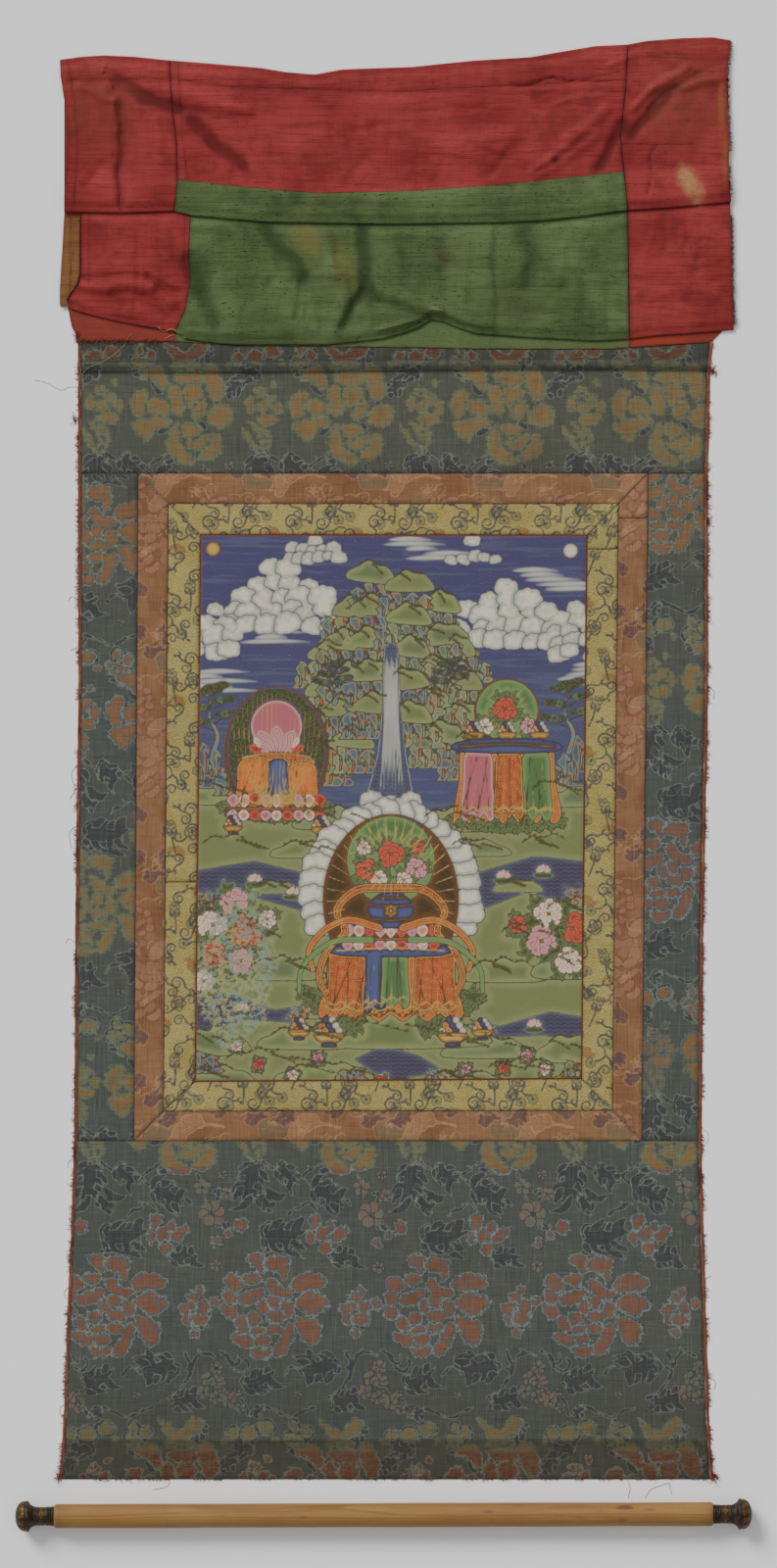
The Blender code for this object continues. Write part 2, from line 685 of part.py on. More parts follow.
def add_dowel():
    """The rod and its two knobs, which carry it a little off the surface."""
    rest = HEAD_DIAMETER / 2 - FLAT_DEPTH
    axis = bpy.data.objects.new("dowel_axis", None)
    axis.location = (0.0, DOWEL_Y * MM, rest * MM)
    axis.rotation_euler = (0.0, 0.0, DOWEL_TURN)
    bpy.context.collection.objects.link(axis)

    half, radius = ROD_LENGTH / 2, ROD_DIAMETER / 2
    back, off = ROD_CHAMFER
    rod = [(-half, radius - off), (-half + back, radius), (half - back, radius), (half, radius - off)]
    turned("dowel_rod", rod, ROD_SEGMENTS, -rest, "pine", axis)
    scale = (KNOB_REACH - half) / KNOB_TIP
    for name, way in (("knob_left", -1), ("knob_right", 1)):
        profile = [(way * (half + max(length * scale, GAP)), size) for length, size in knob_profile()]
        turned(name, profile, KNOB_SEGMENTS, -rest, "gilt_bronze", axis)


def build():
    """Builds every piece."""
    clear_scene()
    add_painting()
    add_frame(
        "inner_border",
        INNER_FRAME,
        PAINTING,
        "gold_brocade",
        left_join=INNER_LEFT_JOIN_Y,
        right_join=INNER_RIGHT_JOIN_Y,
    )
    add_frame("outer_border", OUTER_FRAME, INNER_FRAME, "rust_brocade", right_join=OUTER_RIGHT_JOIN_Y)
    add_brocades()
    add_edging("edging_left", 1, 1.0)
    add_edging("edging_right", 2, -1.0)
    add_veil()
    add_dowel()


build()
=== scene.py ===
"""Looks of a scroll painting in its brocade mount, laid flat, with its silk veil folded up above it.

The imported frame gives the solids, and this script dresses them: woven silks, the painted cloth,
the veil's folds and slubs, seams, stitching, fraying, loose threads and the turned dowel. Woven
and painted designs are drawn as signed distances in millimetres, kept as attributes on fine
grids, and coloured by the materials. The world frame is the solids' own: X along the width, Y up
the picture and Z off the surface, with the origin at the middle of the outline.
"""

import logging  # noqa: E402
import math  # noqa: E402
from dataclasses import dataclass, field  # noqa: E402
from enum import Enum  # noqa: E402
from typing import Any, Callable, Iterable, Sequence  # noqa: E402

import bpy  # noqa: E402
import mathutils  # noqa: E402
import numpy as np  # noqa: E402
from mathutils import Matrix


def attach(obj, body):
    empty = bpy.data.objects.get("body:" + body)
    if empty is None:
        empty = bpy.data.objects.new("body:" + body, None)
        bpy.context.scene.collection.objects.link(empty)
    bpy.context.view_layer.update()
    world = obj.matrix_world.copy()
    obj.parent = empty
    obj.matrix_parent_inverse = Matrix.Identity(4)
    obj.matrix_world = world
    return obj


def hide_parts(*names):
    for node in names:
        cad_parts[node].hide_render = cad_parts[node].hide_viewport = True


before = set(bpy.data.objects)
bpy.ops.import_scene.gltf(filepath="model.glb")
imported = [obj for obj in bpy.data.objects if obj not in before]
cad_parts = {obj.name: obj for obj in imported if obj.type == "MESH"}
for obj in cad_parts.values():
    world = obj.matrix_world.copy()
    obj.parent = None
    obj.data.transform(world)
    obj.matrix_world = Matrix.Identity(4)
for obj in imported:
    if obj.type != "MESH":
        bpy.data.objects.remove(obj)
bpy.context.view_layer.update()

LOG = logging.getLogger("scroll")
MM = 0.001
GAP = 0.3  # between pieces that meet, as in the solids
BODY = "root"

Array = np.ndarray
Tone = tuple[float, float, float]
Point = tuple[float, float]
Table = Sequence[Point]
Distance = Callable[[Array, Array], Array]


# ---- shader expressions ----------------------------------------------------------------------


def tone(red: int, green: int, blue: int) -> Tone:
    """A dye as the shaders read it, from its 0 to 255 values, deepened for the lit, toned picture."""

    def linear(value: float) -> float:
        """One channel without its display curve."""
        value /= 255.0
        value = value / 12.92 if value <= 0.04045 else ((value + 0.055) / 1.055) ** 2.4
        return 0.78 * value**1.2

    return linear(red), linear(green), linear(blue)


def add_node(
    tree: bpy.types.NodeTree, kind: str, settings: dict[str, Any], sockets: dict[Any, Any]
) -> bpy.types.Node:
    """Adds one node to a tree.

    Args:
        tree: a material's or a Geometry Nodes tree.
        kind: the node's type.
        settings: its properties, set first; "stops" gives a ramp's positions and colours.
        sockets: values or links by input name or number.
    Returns:
        The node.
    """
    made = tree.nodes.new(kind)
    for name, value in settings.items():
        if name == "stops":
            ramp = made.color_ramp
            while len(ramp.elements) < len(value):
                ramp.elements.new(1.0)
            for stop, (position, colour) in zip(ramp.elements, value):
                stop.position = position
                stop.color = (*colour, 1.0)
        else:
            setattr(made, name, value)
    for key, value in sockets.items():
        socket = made.inputs[key]
        value = getattr(value, "socket", value)
        if isinstance(value, bpy.types.NodeSocket):
            tree.links.new(value, socket)
        elif socket.type == "RGBA":
            socket.default_value = (*value, 1.0)
        else:
            socket.default_value = value
    return made


class Num:
    """A number that varies over a surface. Arithmetic on it adds Math nodes."""

    def __init__(self, graph: "Graph", socket: bpy.types.NodeSocket) -> None:
        """Wraps one socket of a graph."""
        self.graph = graph
        self.socket = socket

    def _math(self, operation: str, *terms: Any) -> "Num":
        """The result of one Math node."""
        made = self.graph.node("ShaderNodeMath", {"operation": operation}, dict(enumerate(terms)))
        return Num(self.graph, made.outputs[0])

    def __add__(self, other: Any) -> "Num":
        """self + other."""
        return self._math("ADD", self, other)

    __radd__ = __add__

    def __sub__(self, other: Any) -> "Num":
        """self - other."""
        return self._math("SUBTRACT", self, other)

    def __rsub__(self, other: Any) -> "Num":
        """other - self."""
        return self._math("SUBTRACT", other, self)

    def __mul__(self, other: Any) -> "Num":
        """self * other."""
        return self._math("MULTIPLY", self, other)

    __rmul__ = __mul__

    def __truediv__(self, other: Any) -> "Num":
        """self / other."""
        return self._math("DIVIDE", self, other)

    def __neg__(self) -> "Num":
        """-self."""
        return self._math("MULTIPLY", self, -1.0)

    def __pow__(self, power: Any) -> "Num":
        """self ** power."""
        return self._math("POWER", self, power)

    def __mod__(self, period: Any) -> "Num":
        """What is left above whole periods, from 0 to the period."""
        return self._math("FLOORED_MODULO", self, period)

    def __abs__(self) -> "Num":
        """The size without the sign."""
        return self._math("ABSOLUTE", self)

    def sine(self) -> "Num":
        """The sine, of radians."""
        return self._math("SINE", self)

    def least(self, other: Any) -> "Num":
        """The lower of two."""
        return self._math("MINIMUM", self, other)

    def most(self, other: Any) -> "Num":
        """The higher of two."""
        return self._math("MAXIMUM", self, other)

    def rise(self, low: float, high: float) -> "Num":
        """A smooth step: 0 at low, 1 at high, and the other way round where low is the larger."""
        settings = {"interpolation_type": "SMOOTHSTEP"}
        made = self.graph.node("ShaderNodeMapRange", settings, {0: self, 1: low, 2: high})
        return Num(self.graph, made.outputs[0])


class Graph:
    """One material's nodes: adds nodes of any type and the few that every finish uses."""

    def __init__(self, name: str) -> None:
        """Starts a material that holds only its output.

        Args:
            name: the material's name.
        """
        self.material = bpy.data.materials.new(name)
        self.material.use_nodes = True
        self.tree = self.material.node_tree
        self.tree.nodes.clear()
        place = self.node("ShaderNodeTexCoord", {}, {}).outputs["Object"]
        self.place = self.node("ShaderNodeVectorMath", {"operation": "SCALE"}, {0: place, "Scale": 1.0 / MM})
        self.place = self.place.outputs[0]
        split = self.node("ShaderNodeSeparateXYZ", {}, {0: self.place})
        self.x, self.y, self.z = (Num(self, split.outputs[k]) for k in range(3))

    def node(self, kind: str, settings: dict[str, Any], sockets: dict[Any, Any]) -> bpy.types.Node:
        """Adds one node: its type, its properties and its inputs."""
        return add_node(self.tree, kind, settings, sockets)

    def channel(self, name: str) -> Num:
        """A number that the mesh carries at its points."""
        made = self.node("ShaderNodeAttribute", {"attribute_name": name}, {})
        return Num(self, made.outputs["Fac"])

    def at(self, x: Any, y: Any, z: Any = 0.0) -> bpy.types.NodeSocket:
        """A place from its three numbers."""
        return self.node("ShaderNodeCombineXYZ", {}, {0: x, 1: y, 2: z}).outputs[0]

    def noise(
        self,
        size: float | Sequence[float],
        detail: float = 2.0,
        rough: float = 0.5,
        place: Any = None,
        seed: float = 0.0,
    ) -> Num:
        """Smooth noise from 0 to 1.

        Args:
            size: feature size in millimetres, one number or one for each axis.
            detail: octaves.
            rough: how strong the finer octaves are.
            place: where it is read, the object's own millimetres unless given.
            seed: shifts it, so that two of one size differ.
        Returns:
            The noise.
        """
        sizes = [size] * 3 if isinstance(size, (int, float)) else list(size)
        mapping = {
            0: self.place if place is None else place,
            1: (seed * 17.3, seed * 9.1, seed * 5.7),
            3: tuple(1.0 / s for s in sizes),
        }
        moved = self.node("ShaderNodeMapping", {}, mapping).outputs[0]
        sockets = {"Vector": moved, "Scale": 1.0, "Detail": detail, "Roughness": rough}
        return Num(self, self.node("ShaderNodeTexNoise", {}, sockets).outputs["Fac"])

    def cells(self, size: float, edge: bool = False, spread: float = 1.0) -> Num:
        """Distance, in cell sizes, to the nearest scattered point or to the border between two."""
        sizes = (1.0 / size, 1.0 / size, 1.0 / size)
        moved = self.node("ShaderNodeMapping", {}, {0: self.place, 3: sizes})
        settings = {"feature": "DISTANCE_TO_EDGE" if edge else "F1", "voronoi_dimensions": "2D"}
        sockets = {"Vector": moved.outputs[0], "Scale": 1.0, "Randomness": spread}
        return Num(self, self.node("ShaderNodeTexVoronoi", settings, sockets).outputs["Distance"])

    def mix(self, share: Any, under: Any, over: Any, how: str = "MIX") -> bpy.types.NodeSocket:
        """Lays one colour over another by a share from 0 to 1."""
        made = self.node(
            "ShaderNodeMix", {"data_type": "RGBA", "blend_type": how}, {0: share, 6: under, 7: over}
        )
        return made.outputs[2]

    def ramp(self, along: Num, stops: Sequence[tuple[float, Tone]]) -> bpy.types.NodeSocket:
        """A colour that changes with a number from 0 to 1."""
        return self.node("ShaderNodeValToRGB", {"stops": stops}, {0: along}).outputs[0]

    def shade(self, colour: Any, amount: Num, depth: float) -> bpy.types.NodeSocket:
        """Darkens a colour by up to a depth where the amount is 1."""
        kept = 1.0 - amount * depth
        return self.mix(1.0, colour, self.at(kept, kept, kept), "MULTIPLY")

    def close(
        self,
        colour: Any,
        rough: Any,
        height: Any = None,
        lift: float = 0.2,
        metal: Any = 0.0,
        gloss: float = 0.15,
    ) -> bpy.types.Material:
        """Ends the material with a Principled shader.

        Args:
            colour: base colour.
            rough: roughness.
            height: relief from 0 to 1, or None.
            lift: the relief's real height in millimetres.
            metal: metallic share.
            gloss: specular level.
        Returns:
            The material.
        """
        sockets = {"Base Color": colour, "Roughness": rough, "Metallic": metal}
        shader = self.node("ShaderNodeBsdfPrincipled", {}, sockets)
        shader.inputs["Specular IOR Level"].default_value = gloss
        if height is not None:
            bump = self.node("ShaderNodeBump", {}, {"Strength": 1.0, "Distance": lift * MM, "Height": height})
            self.tree.links.new(bump.outputs[0], shader.inputs["Normal"])
        output = self.node("ShaderNodeOutputMaterial", {}, {})
        self.tree.links.new(shader.outputs[0], output.inputs["Surface"])
        return self.material


def within(distance: Num, inset: float = 0.0, soft: float = 0.25) -> Num:
    """1 inside a drawn shape, or inside a line that far within it."""
    return distance.rise(soft - inset, -soft - inset)


def band(distance: Num, half: float, soft: float = 0.25, middle: float = 0.0) -> Num:
    """1 along a shape's outline, or along a line that far inside it where middle is given."""
    return abs(distance + middle).rise(half + soft, half - soft)


# ---- numbers on grids ------------------------------------------------------------------------


def at(table: Table, key: Any) -> Any:
    """The value of a two-column table at a key, straight between rows and flat past its ends."""
    rows = sorted(table)
    return np.interp(key, [row[0] for row in rows], [row[1] for row in rows])


def ease(value: Any) -> Any:
    """0 below 0, 1 above 1, and smooth between."""
    value = np.clip(value, 0.0, 1.0)
    return value * value * (3.0 - 2.0 * value)


def wander(x: Array, y: Array, size: float, seed: float) -> Array:
    """Smooth noise from -1 to 1 with features of a given size, the same on each run."""
    u, v = np.asarray(x) / size, np.asarray(y) / size
    column, row = np.floor(u), np.floor(v)
    across, up = ease(u - column), ease(v - row)

    def corner(i: Array, j: Array) -> Array:
        """The value at a point of the lattice."""
        hashed = np.sin(i * 127.1 + j * 311.7 + seed * 74.7) * 43758.5453
        return 2.0 * (hashed - np.floor(hashed)) - 1.0

    low = corner(column, row) * (1 - across) + corner(column + 1, row) * across
    high = corner(column, row + 1) * (1 - across) + corner(column + 1, row + 1) * across
    return low * (1 - up) + high * up


def crease_height(creases: Iterable[Sequence[float]], x: Array, y: Array) -> Array:
    """Sum of soft bumps, each across its own line: x, y, to x, y, half width, height."""
    total = np.zeros(np.broadcast(x, y).shape)
    for x0, y0, x1, y1, half_width, height in creases:
        run = ((x1 - x0) ** 2 + (y1 - y0) ** 2) or 1.0
        part = np.clip(((x - x0) * (x1 - x0) + (y - y0) * (y1 - y0)) / run, 0.0, 1.0)
        away = np.hypot(x - x0 - part * (x1 - x0), y - y0 - part * (y1 - y0))
        total = total + height * ease(1.0 - away / half_width)
    return total


def rounded(points: Sequence[Point], closed: bool = False, steps: int = 4) -> Array:
    """A smooth curve through points.

    Args:
        points: the points it passes.
        closed: whether it comes back to the first one.
        steps: pieces for each span.
    Returns:
        The curve's points, one row each.
    """
    given = np.asarray(points, dtype=float)
    if closed:
        ring = np.concatenate([given[-1:], given, given[:2]])
    else:
        ring = np.concatenate([2 * given[:1] - given[1:2], given, 2 * given[-1:] - given[-2:-1]])
    t = np.linspace(0.0, 1.0, steps, endpoint=False)[:, None]
    spans = []
    for k in range(1, len(ring) - 2):
        a, b, c, d = ring[k - 1 : k + 3]
        spans.append(
            0.5 * (2 * b + (c - a) * t + (2 * a - 5 * b + 4 * c - d) * t**2 + (3 * b - a - 3 * c + d) * t**3)
        )
    if not closed:
        spans.append(given[-1:])
    return np.concatenate(spans)


# ---- drawing in signed distances -------------------------------------------------------------


REACH = 9.0  # how far from its edge a shape's distance is kept, in millimetres


def line_distance(x: Array, y: Array, points: Array, halves: Array) -> Array:
    """Distance outside a line whose half width changes from point to point."""
    best = np.full(np.broadcast(x, y).shape, 1e9)
    for (ax, ay), (bx, by), near, far in zip(points, points[1:], halves, halves[1:]):
        dx, dy = bx - ax, by - ay
        part = np.clip(((x - ax) * dx + (y - ay) * dy) / max(dx * dx + dy * dy, 1e-9), 0.0, 1.0)
        away = np.hypot(x - ax - part * dx, y - ay - part * dy) - (near + part * (far - near))
        best = np.minimum(best, away)
    return best


def area_distance(x: Array, y: Array, points: Array) -> Array:
    """Distance outside a closed outline, and negative within it."""
    shape = np.broadcast(x, y).shape
    best, inner = np.full(shape, 1e9), np.zeros(shape, dtype=bool)
    for (ax, ay), (bx, by) in zip(points, np.roll(points, -1, axis=0)):
        dx, dy = bx - ax, by - ay
        part = np.clip(((x - ax) * dx + (y - ay) * dy) / max(dx * dx + dy * dy, 1e-9), 0.0, 1.0)
        best = np.minimum(best, np.hypot(x - ax - part * dx, y - ay - part * dy))
        if ay != by:
            inner ^= ((ay > y) != (by > y)) & (x < dx * (y - ay) / dy + ax)
    return np.where(inner, -best, best)


@dataclass
class Chart:
    """A drawing on a regular raster: for each kind of shape, how far a point is from it.

    Later shapes lie over earlier ones, so each kind's distance ends where another covers it.
    """

    kinds: tuple[str, ...]
    left: float
    low: float
    width: float
    height: float
    step: float = 0.8
    repeats: bool = False
    over: tuple[str, ...] = ()  # kinds that lie over the others without cutting them
    layer: dict[str, Array] = field(default_factory=dict)

    def __post_init__(self) -> None:
        """Sets out the raster, empty."""
        self.columns = round(self.width / self.step)
        self.rows = round(self.height / self.step)
        self.xs = self.left + self.width * np.arange(self.columns) / self.columns
        self.ys = self.low + self.height * np.arange(self.rows) / self.rows
        for kind in self.kinds:
            self.layer[kind] = np.full((self.rows, self.columns), REACH)

    def paint(self, kind: str, box: Sequence[float], distance: Distance) -> None:
        """Draws one shape over what is there.

        Args:
            kind: what it is drawn as.
            box: its lowest and highest x, then y.
            distance: how far a point is from it.
        """
        sides = (-1, 0, 1) if self.repeats else (0,)
        for shift_x in (s * self.width for s in sides):
            for shift_y in (s * self.height for s in sides):
                first, last = np.searchsorted(self.xs, (box[0] + shift_x - REACH, box[1] + shift_x + REACH))
                base, peak = np.searchsorted(self.ys, (box[2] + shift_y - REACH, box[3] + shift_y + REACH))
                if first == last or base == peak:
                    continue
                place = np.s_[base:peak, first:last]
                x, y = np.meshgrid(self.xs[first:last] - shift_x, self.ys[base:peak] - shift_y)
                away = np.clip(distance(x, y), -REACH, REACH)
                for name, held in self.layer.items():
                    if name == kind:
                        held[place] = np.minimum(held[place], away)
                    elif kind not in self.over and name not in self.over:
                        held[place] = np.maximum(held[place], -away)

    def read(self, x: Array, y: Array) -> dict[str, Array]:
        """The distances at given places, straight between the raster's points."""
        u = (x - self.left) / self.width * self.columns
        v = (y - self.low) / self.height * self.rows
        if not self.repeats:
            u, v = np.clip(u, 0, self.columns - 1.001), np.clip(v, 0, self.rows - 1.001)
        column, row = np.floor(u).astype(int), np.floor(v).astype(int)
        across, up = u - column, v - row
        near, far = column % self.columns, (column + 1) % self.columns
        base, peak = row % self.rows, (row + 1) % self.rows
        found = {}
        for kind, held in self.layer.items():
            low = held[base, near] * (1 - across) + held[base, far] * across
            high = held[peak, near] * (1 - across) + held[peak, far] * across
            found[kind] = low * (1 - up) + high * up
        return found


@dataclass(frozen=True)
class Pen:
    """Where a motif is drawn: its origin, its turn in degrees, its scale and its hand."""

    chart: Chart
    x: float = 0.0
    y: float = 0.0
    turn: float = 0.0
    scale: float = 1.0
    hand: int = 1

    def at(self, x: float, y: float, turn: float = 0.0, scale: float = 1.0, hand: int = 1) -> "Pen":
        """A pen inside this one's motif.

        Args:
            x: its origin across.
            y: its origin up.
            turn: its turn, in degrees.
            scale: its scale.
            hand: -1 draws it mirrored.
        Returns:
            The pen.
        """
        (px, py), *_ = self.place([(x, y)])
        return Pen(self.chart, px, py, self.turn + self.hand * turn, self.scale * scale, self.hand * hand)

    def place(self, points: Sequence[Point]) -> Array:
        """Points of the motif as the chart has them."""
        given = np.asarray(points, dtype=float) * self.scale
        across, up = given[:, 0] * self.hand, given[:, 1]
        angle = math.radians(self.turn)
        turned_x = across * math.cos(angle) - up * math.sin(angle)
        turned_y = across * math.sin(angle) + up * math.cos(angle)
        return np.stack([turned_x + self.x, turned_y + self.y], axis=-1)

    def area(self, kind: str, points: Sequence[Point], smooth: bool = True, grow: float = 0.0) -> None:
        """A closed shape through points, or a margin outside them where grow is given."""
        outline = self.place(rounded(points, closed=True, steps=3) if smooth else points)
        margin = grow * self.scale
        self.chart.paint(kind, box_of(outline, margin), lambda x, y: area_distance(x, y, outline) - margin)

    def line(self, kind: str, points: Sequence[Point], near: float, far: float | None = None) -> None:
        """A curved line through points, its half width going from near to far."""
        path = self.place(rounded(points))
        halves = np.linspace(near, near if far is None else far, len(path)) * self.scale
        box = box_of(path, float(max(halves)))
        self.chart.paint(kind, box, lambda x, y: line_distance(x, y, path, halves))

    def blade(self, kind: str, points: Sequence[Point], half: float, fullest: float = 0.75) -> None:
        """A leaf blade along a curved middle line, pointed at both ends."""
        path = self.place(rounded(points, steps=6))
        share = np.linspace(0.0, 1.0, len(path))
        halves = half * self.scale * np.sin(np.pi * share**fullest)
        box = box_of(path, half * self.scale)
        self.chart.paint(kind, box, lambda x, y: line_distance(x, y, path, halves))

    def disc(self, kind: str, x: float, y: float, across: float, up: float | None = None) -> None:
        """A round or oval spot."""
        up = across if up is None else up
        (px, py), *_ = self.place([(x, y)])
        a, b = across * self.scale, up * self.scale
        turn = math.radians(self.turn)

        def away(gx: Array, gy: Array) -> Array:
            """Distance outside the oval, near enough."""
            u = (gx - px) * math.cos(turn) + (gy - py) * math.sin(turn)
            v = -(gx - px) * math.sin(turn) + (gy - py) * math.cos(turn)
            size = np.maximum(np.hypot(u / a, v / b), 1e-6)
            return np.hypot(u, v) * (1.0 - 1.0 / size) if abs(a - b) > 1e-6 else np.hypot(u, v) - a

        reach = max(a, b)
        self.chart.paint(kind, (px - reach, px + reach, py - reach, py + reach), away)


def box_of(points: Array, spare: float = 0.0) -> tuple[float, float, float, float]:
    """Lowest and highest x, then y, of points."""
    (x0, y0), (x1, y1) = points.min(axis=0) - spare, points.max(axis=0) + spare
    return float(x0), float(x1), float(y0), float(y1)


# ---- motifs ----------------------------------------------------------------------------------


def petal(pen: Pen, kind: str, length: float, width: float, lobes: int = 3, notch: float = 0.12) -> None:
    """A petal that widens from the origin to a lobed rim.

    Args:
        pen: where it grows; it points along the pen's Y.
        kind: what it is drawn as.
        length: from the origin to the rim.
        width: the widest place.
        lobes: how many its rim has.
        notch: how deep the rim is cut between lobes, as a share of the length.
    """
    half = width / 2
    points = [(0.0, 0.0), (-0.55 * half, 0.24 * length), (-half, 0.56 * length)]
    for k in range(2 * lobes - 1):
        across = ((k + 1) / lobes - 1.0) * 0.9
        rim = 1.0 - 0.2 * across * across - (notch if k % 2 else 0.0)
        points.append((across * half, rim * length))
    points += [(half, 0.56 * length), (0.55 * half, 0.24 * length)]
    pen.area(kind, points)


def ring(
    pen: Pen,
    kinds: Sequence[str],
    count: int,
    length: float,
    width: float,
    start: float = 0.0,
    lobes: int = 3,
    squeeze: float = 1.0,
) -> None:
    """A ring of petals, of kinds in turn, with a little difference from petal to petal."""
    for k in range(count):
        angle = start + 360.0 * k / count
        size = 1.0 + 0.08 * math.sin(2.3 * k + start)
        flat = 1.0 - (1.0 - squeeze) * abs(math.cos(math.radians(angle)))
        petal(pen.at(0, 0, angle), kinds[k % len(kinds)], length * size * flat, width * size, lobes)


def blossom(pen: Pen, kind: str, radius: float, heart: str | None = None, count: int = 5) -> None:
    """A small flower of round petals.

    Args:
        pen: its centre.
        kind: what the petals are drawn as.
        radius: its size.
        heart: what the middle is drawn as, or None for an open one.
        count: how many petals.
    """
    for k in range(count):
        angle = math.radians(90 + 360 * k / count)
        pen.disc(kind, 0.6 * radius * math.cos(angle), 0.6 * radius * math.sin(angle), 0.33 * radius)
    if heart:
        pen.disc(heart, 0, 0, 0.2 * radius)


def curl(pen: Pen, kind: str, radius: float, half: float, turns: float = 1.2) -> None:
    """A tendril that leaves the origin upward and rolls up."""
    points = [(0.0, 0.0)]
    steps = max(5, round(8 * turns))
    for k in range(steps + 1):
        angle = math.pi - 2 * math.pi * turns * k / steps
        size = radius * (1.0 - 0.72 * k / steps)
        points.append((radius + size * math.cos(angle), 1.1 * radius + size * math.sin(angle)))
    pen.line(kind, points, half, half * 0.6)


def lobed_leaf(pen: Pen, kinds: Sequence[str], length: float, lobes: int = 3) -> None:
    """A curling leaf of overlapping blades on a short stalk.

    Args:
        pen: where its stalk starts; it points along the pen's Y.
        kinds: the kinds its blades take in turn.
        length: from stalk to tip.
        lobes: side blades on each hand.
    """
    for k in range(lobes):
        share = 0.18 + 0.5 * k / max(lobes - 1, 1)
        reach = length * (0.46 - 0.09 * k)
        for hand in (-1, 1):
            if hand == 1 and k == 0:
                reach *= 0.7
            root = (0.0, share * length * 0.8)
            bend = (hand * reach * 0.55, root[1] + reach * 0.18)
            tip = (hand * reach, root[1] + reach * (0.62 if hand == -1 else 0.25))
            pen.blade(kinds[(k + (hand == 1)) % len(kinds)], [root, bend, tip], length * 0.13, 0.65)
    middle = [(0, 0), (length * 0.06, length * 0.45), (-length * 0.04, length * 0.75), (length * 0.1, length)]
    pen.blade(kinds[0], middle, length * 0.15, 0.7)


def twig(pen: Pen, kind: str, points: Sequence[Point], half: float, knots: int = 2) -> None:
    """A woody stem with a few short snags."""
    pen.line(kind, points, half, half * 0.7)
    path = rounded(points)
    for k in range(knots):
        place = path[int(len(path) * (k + 1) / (knots + 1))]
        hand = 1 if k % 2 else -1
        tip = (place[0] + hand * 3.2 * half, place[1] + 3.0 * half)
        pen.line(kind, [tuple(place), tip], half * 0.8, half * 0.5)


# ---- the three figured silks -----------------------------------------------------------------

# Petals of the full peony and of the open flower, charted from their middles in millimetres
FULL_PETALS: list[list[Point]] = [
    [(-28, 53), (-16, 54), (-13, 49), (-15, 37), (-19, 43), (-25, 47)],
    [(-9, 45), (-3, 51), (13, 49), (13, 42), (10, 28), (7, 37), (-4, 40)],
    [(21, 25), (35, 33), (51, 29), (54, 23), (44, 18), (24, 17)],
    [(25, 4), (39, 12), (57, 2), (50, -4), (43, -10), (30, -3)],
    [(25, -15), (41, -19), (48, -26), (44, -41), (34, -39), (28, -27)],
    [(17, -22), (10, -29), (6, -41), (-2, -50), (6, -53), (13, -45), (19, -29)],
    [(-25, -48), (-14, -50), (-6, -47), (-9, -54), (-20, -55)],
    [(-47, -33), (-36, -33), (-26, -38), (-30, -43), (-42, -39)],
    [(-43, -16), (-35, -15), (-31, -24), (-37, -27)],
    [(-57, -1), (-49, 1), (-45, -9), (-50, -13), (-56, -8)],
    [(-53, 28), (-46, 32), (-37, 26), (-40, 18), (-50, 20)],
    [(-33, 29), (-25, 33), (-17, 30), (-24, 24)],
    [(-40, 8), (-30, 12), (-14, 17), (-18, 8), (-28, 3), (-38, 3)],
    [(-7, 25), (-2, 27), (6, 17), (17, 15), (16, 10), (4, 11), (-4, 16)],
    [(-17, 2), (-9, 5), (-9, -5), (-15, -6)],
    [(-5, 7), (3, 7), (2, -1), (-3, 0)],
    [(11, 2), (19, -1), (17, -11), (11, -8)],
    [(-28, -11), (-20, -10), (-18, -17), (-26, -19)],
    [(-7, -10), (2, -8), (9, -12), (6, -17), (-4, -15)],
    [(-8, -24), (3, -23), (6, -27), (-4, -29)],
    [(-24, -26), (-14, -25), (-14, -30), (-22, -31)],
    [(-22, -36), (-9, -35), (-10, -40), (-19, -42)],
    [(-55, 13), (-46, 14), (-45, 6), (-53, 4)],
]
OPEN_PETALS: list[list[Point]] = [
    [(-54, 52), (-41, 55), (-31, 52), (-26, 35), (-30, 31), (-40, 41), (-50, 45)],
    [(-66, 15), (-58, 27), (-48, 26), (-49, 17), (-52, 7), (-56, -1), (-63, 5)],
    [(-46, 16), (-36, 19), (-23, 10), (-20, 5), (-38, 3), (-46, 8)],
    [(-61, -7), (-31, -2), (-23, -8), (-38, -13), (-46, -25), (-58, -17)],
    [(-13, -8), (-20, -17), (-24, -30), (-20, -41), (-5, -51), (7, -48), (-7, -37), (-13, -23)],
    [(-8, -10), (7, -10), (12, -17), (3, -23), (-6, -18)],
    [(-4, -28), (4, -27), (17, -20), (21, -25), (14, -34), (2, -34)],
    [(26, -20), (33, -26), (31, -40), (18, -46), (11, -43), (22, -31)],
    [(20, 0), (34, 13), (45, 10), (44, -5), (31, -10)],
    [(18, 55), (28, 55), (33, 46), (37, 35), (36, 23), (26, 21), (21, 31), (17, 43)],
    [(-20, 55), (-10, 63), (0, 61), (10, 55), (2, 53), (-10, 52)],
    [(-17, 45), (-7, 49), (9, 49), (15, 42), (10, 38), (-10, 38)],
    [(-23, 29), (-15, 34), (-9, 23), (-9, 5), (-17, 4), (-21, 17)],
    [(-5, 32), (9, 34), (13, 21), (3, 10), (-4, 18)],
    [(7, 11), (16, 17), (17, 7), (9, -2), (3, 2)],
]
FLOAT_INSET = 2.4  # between a petal's outline and its coloured floats


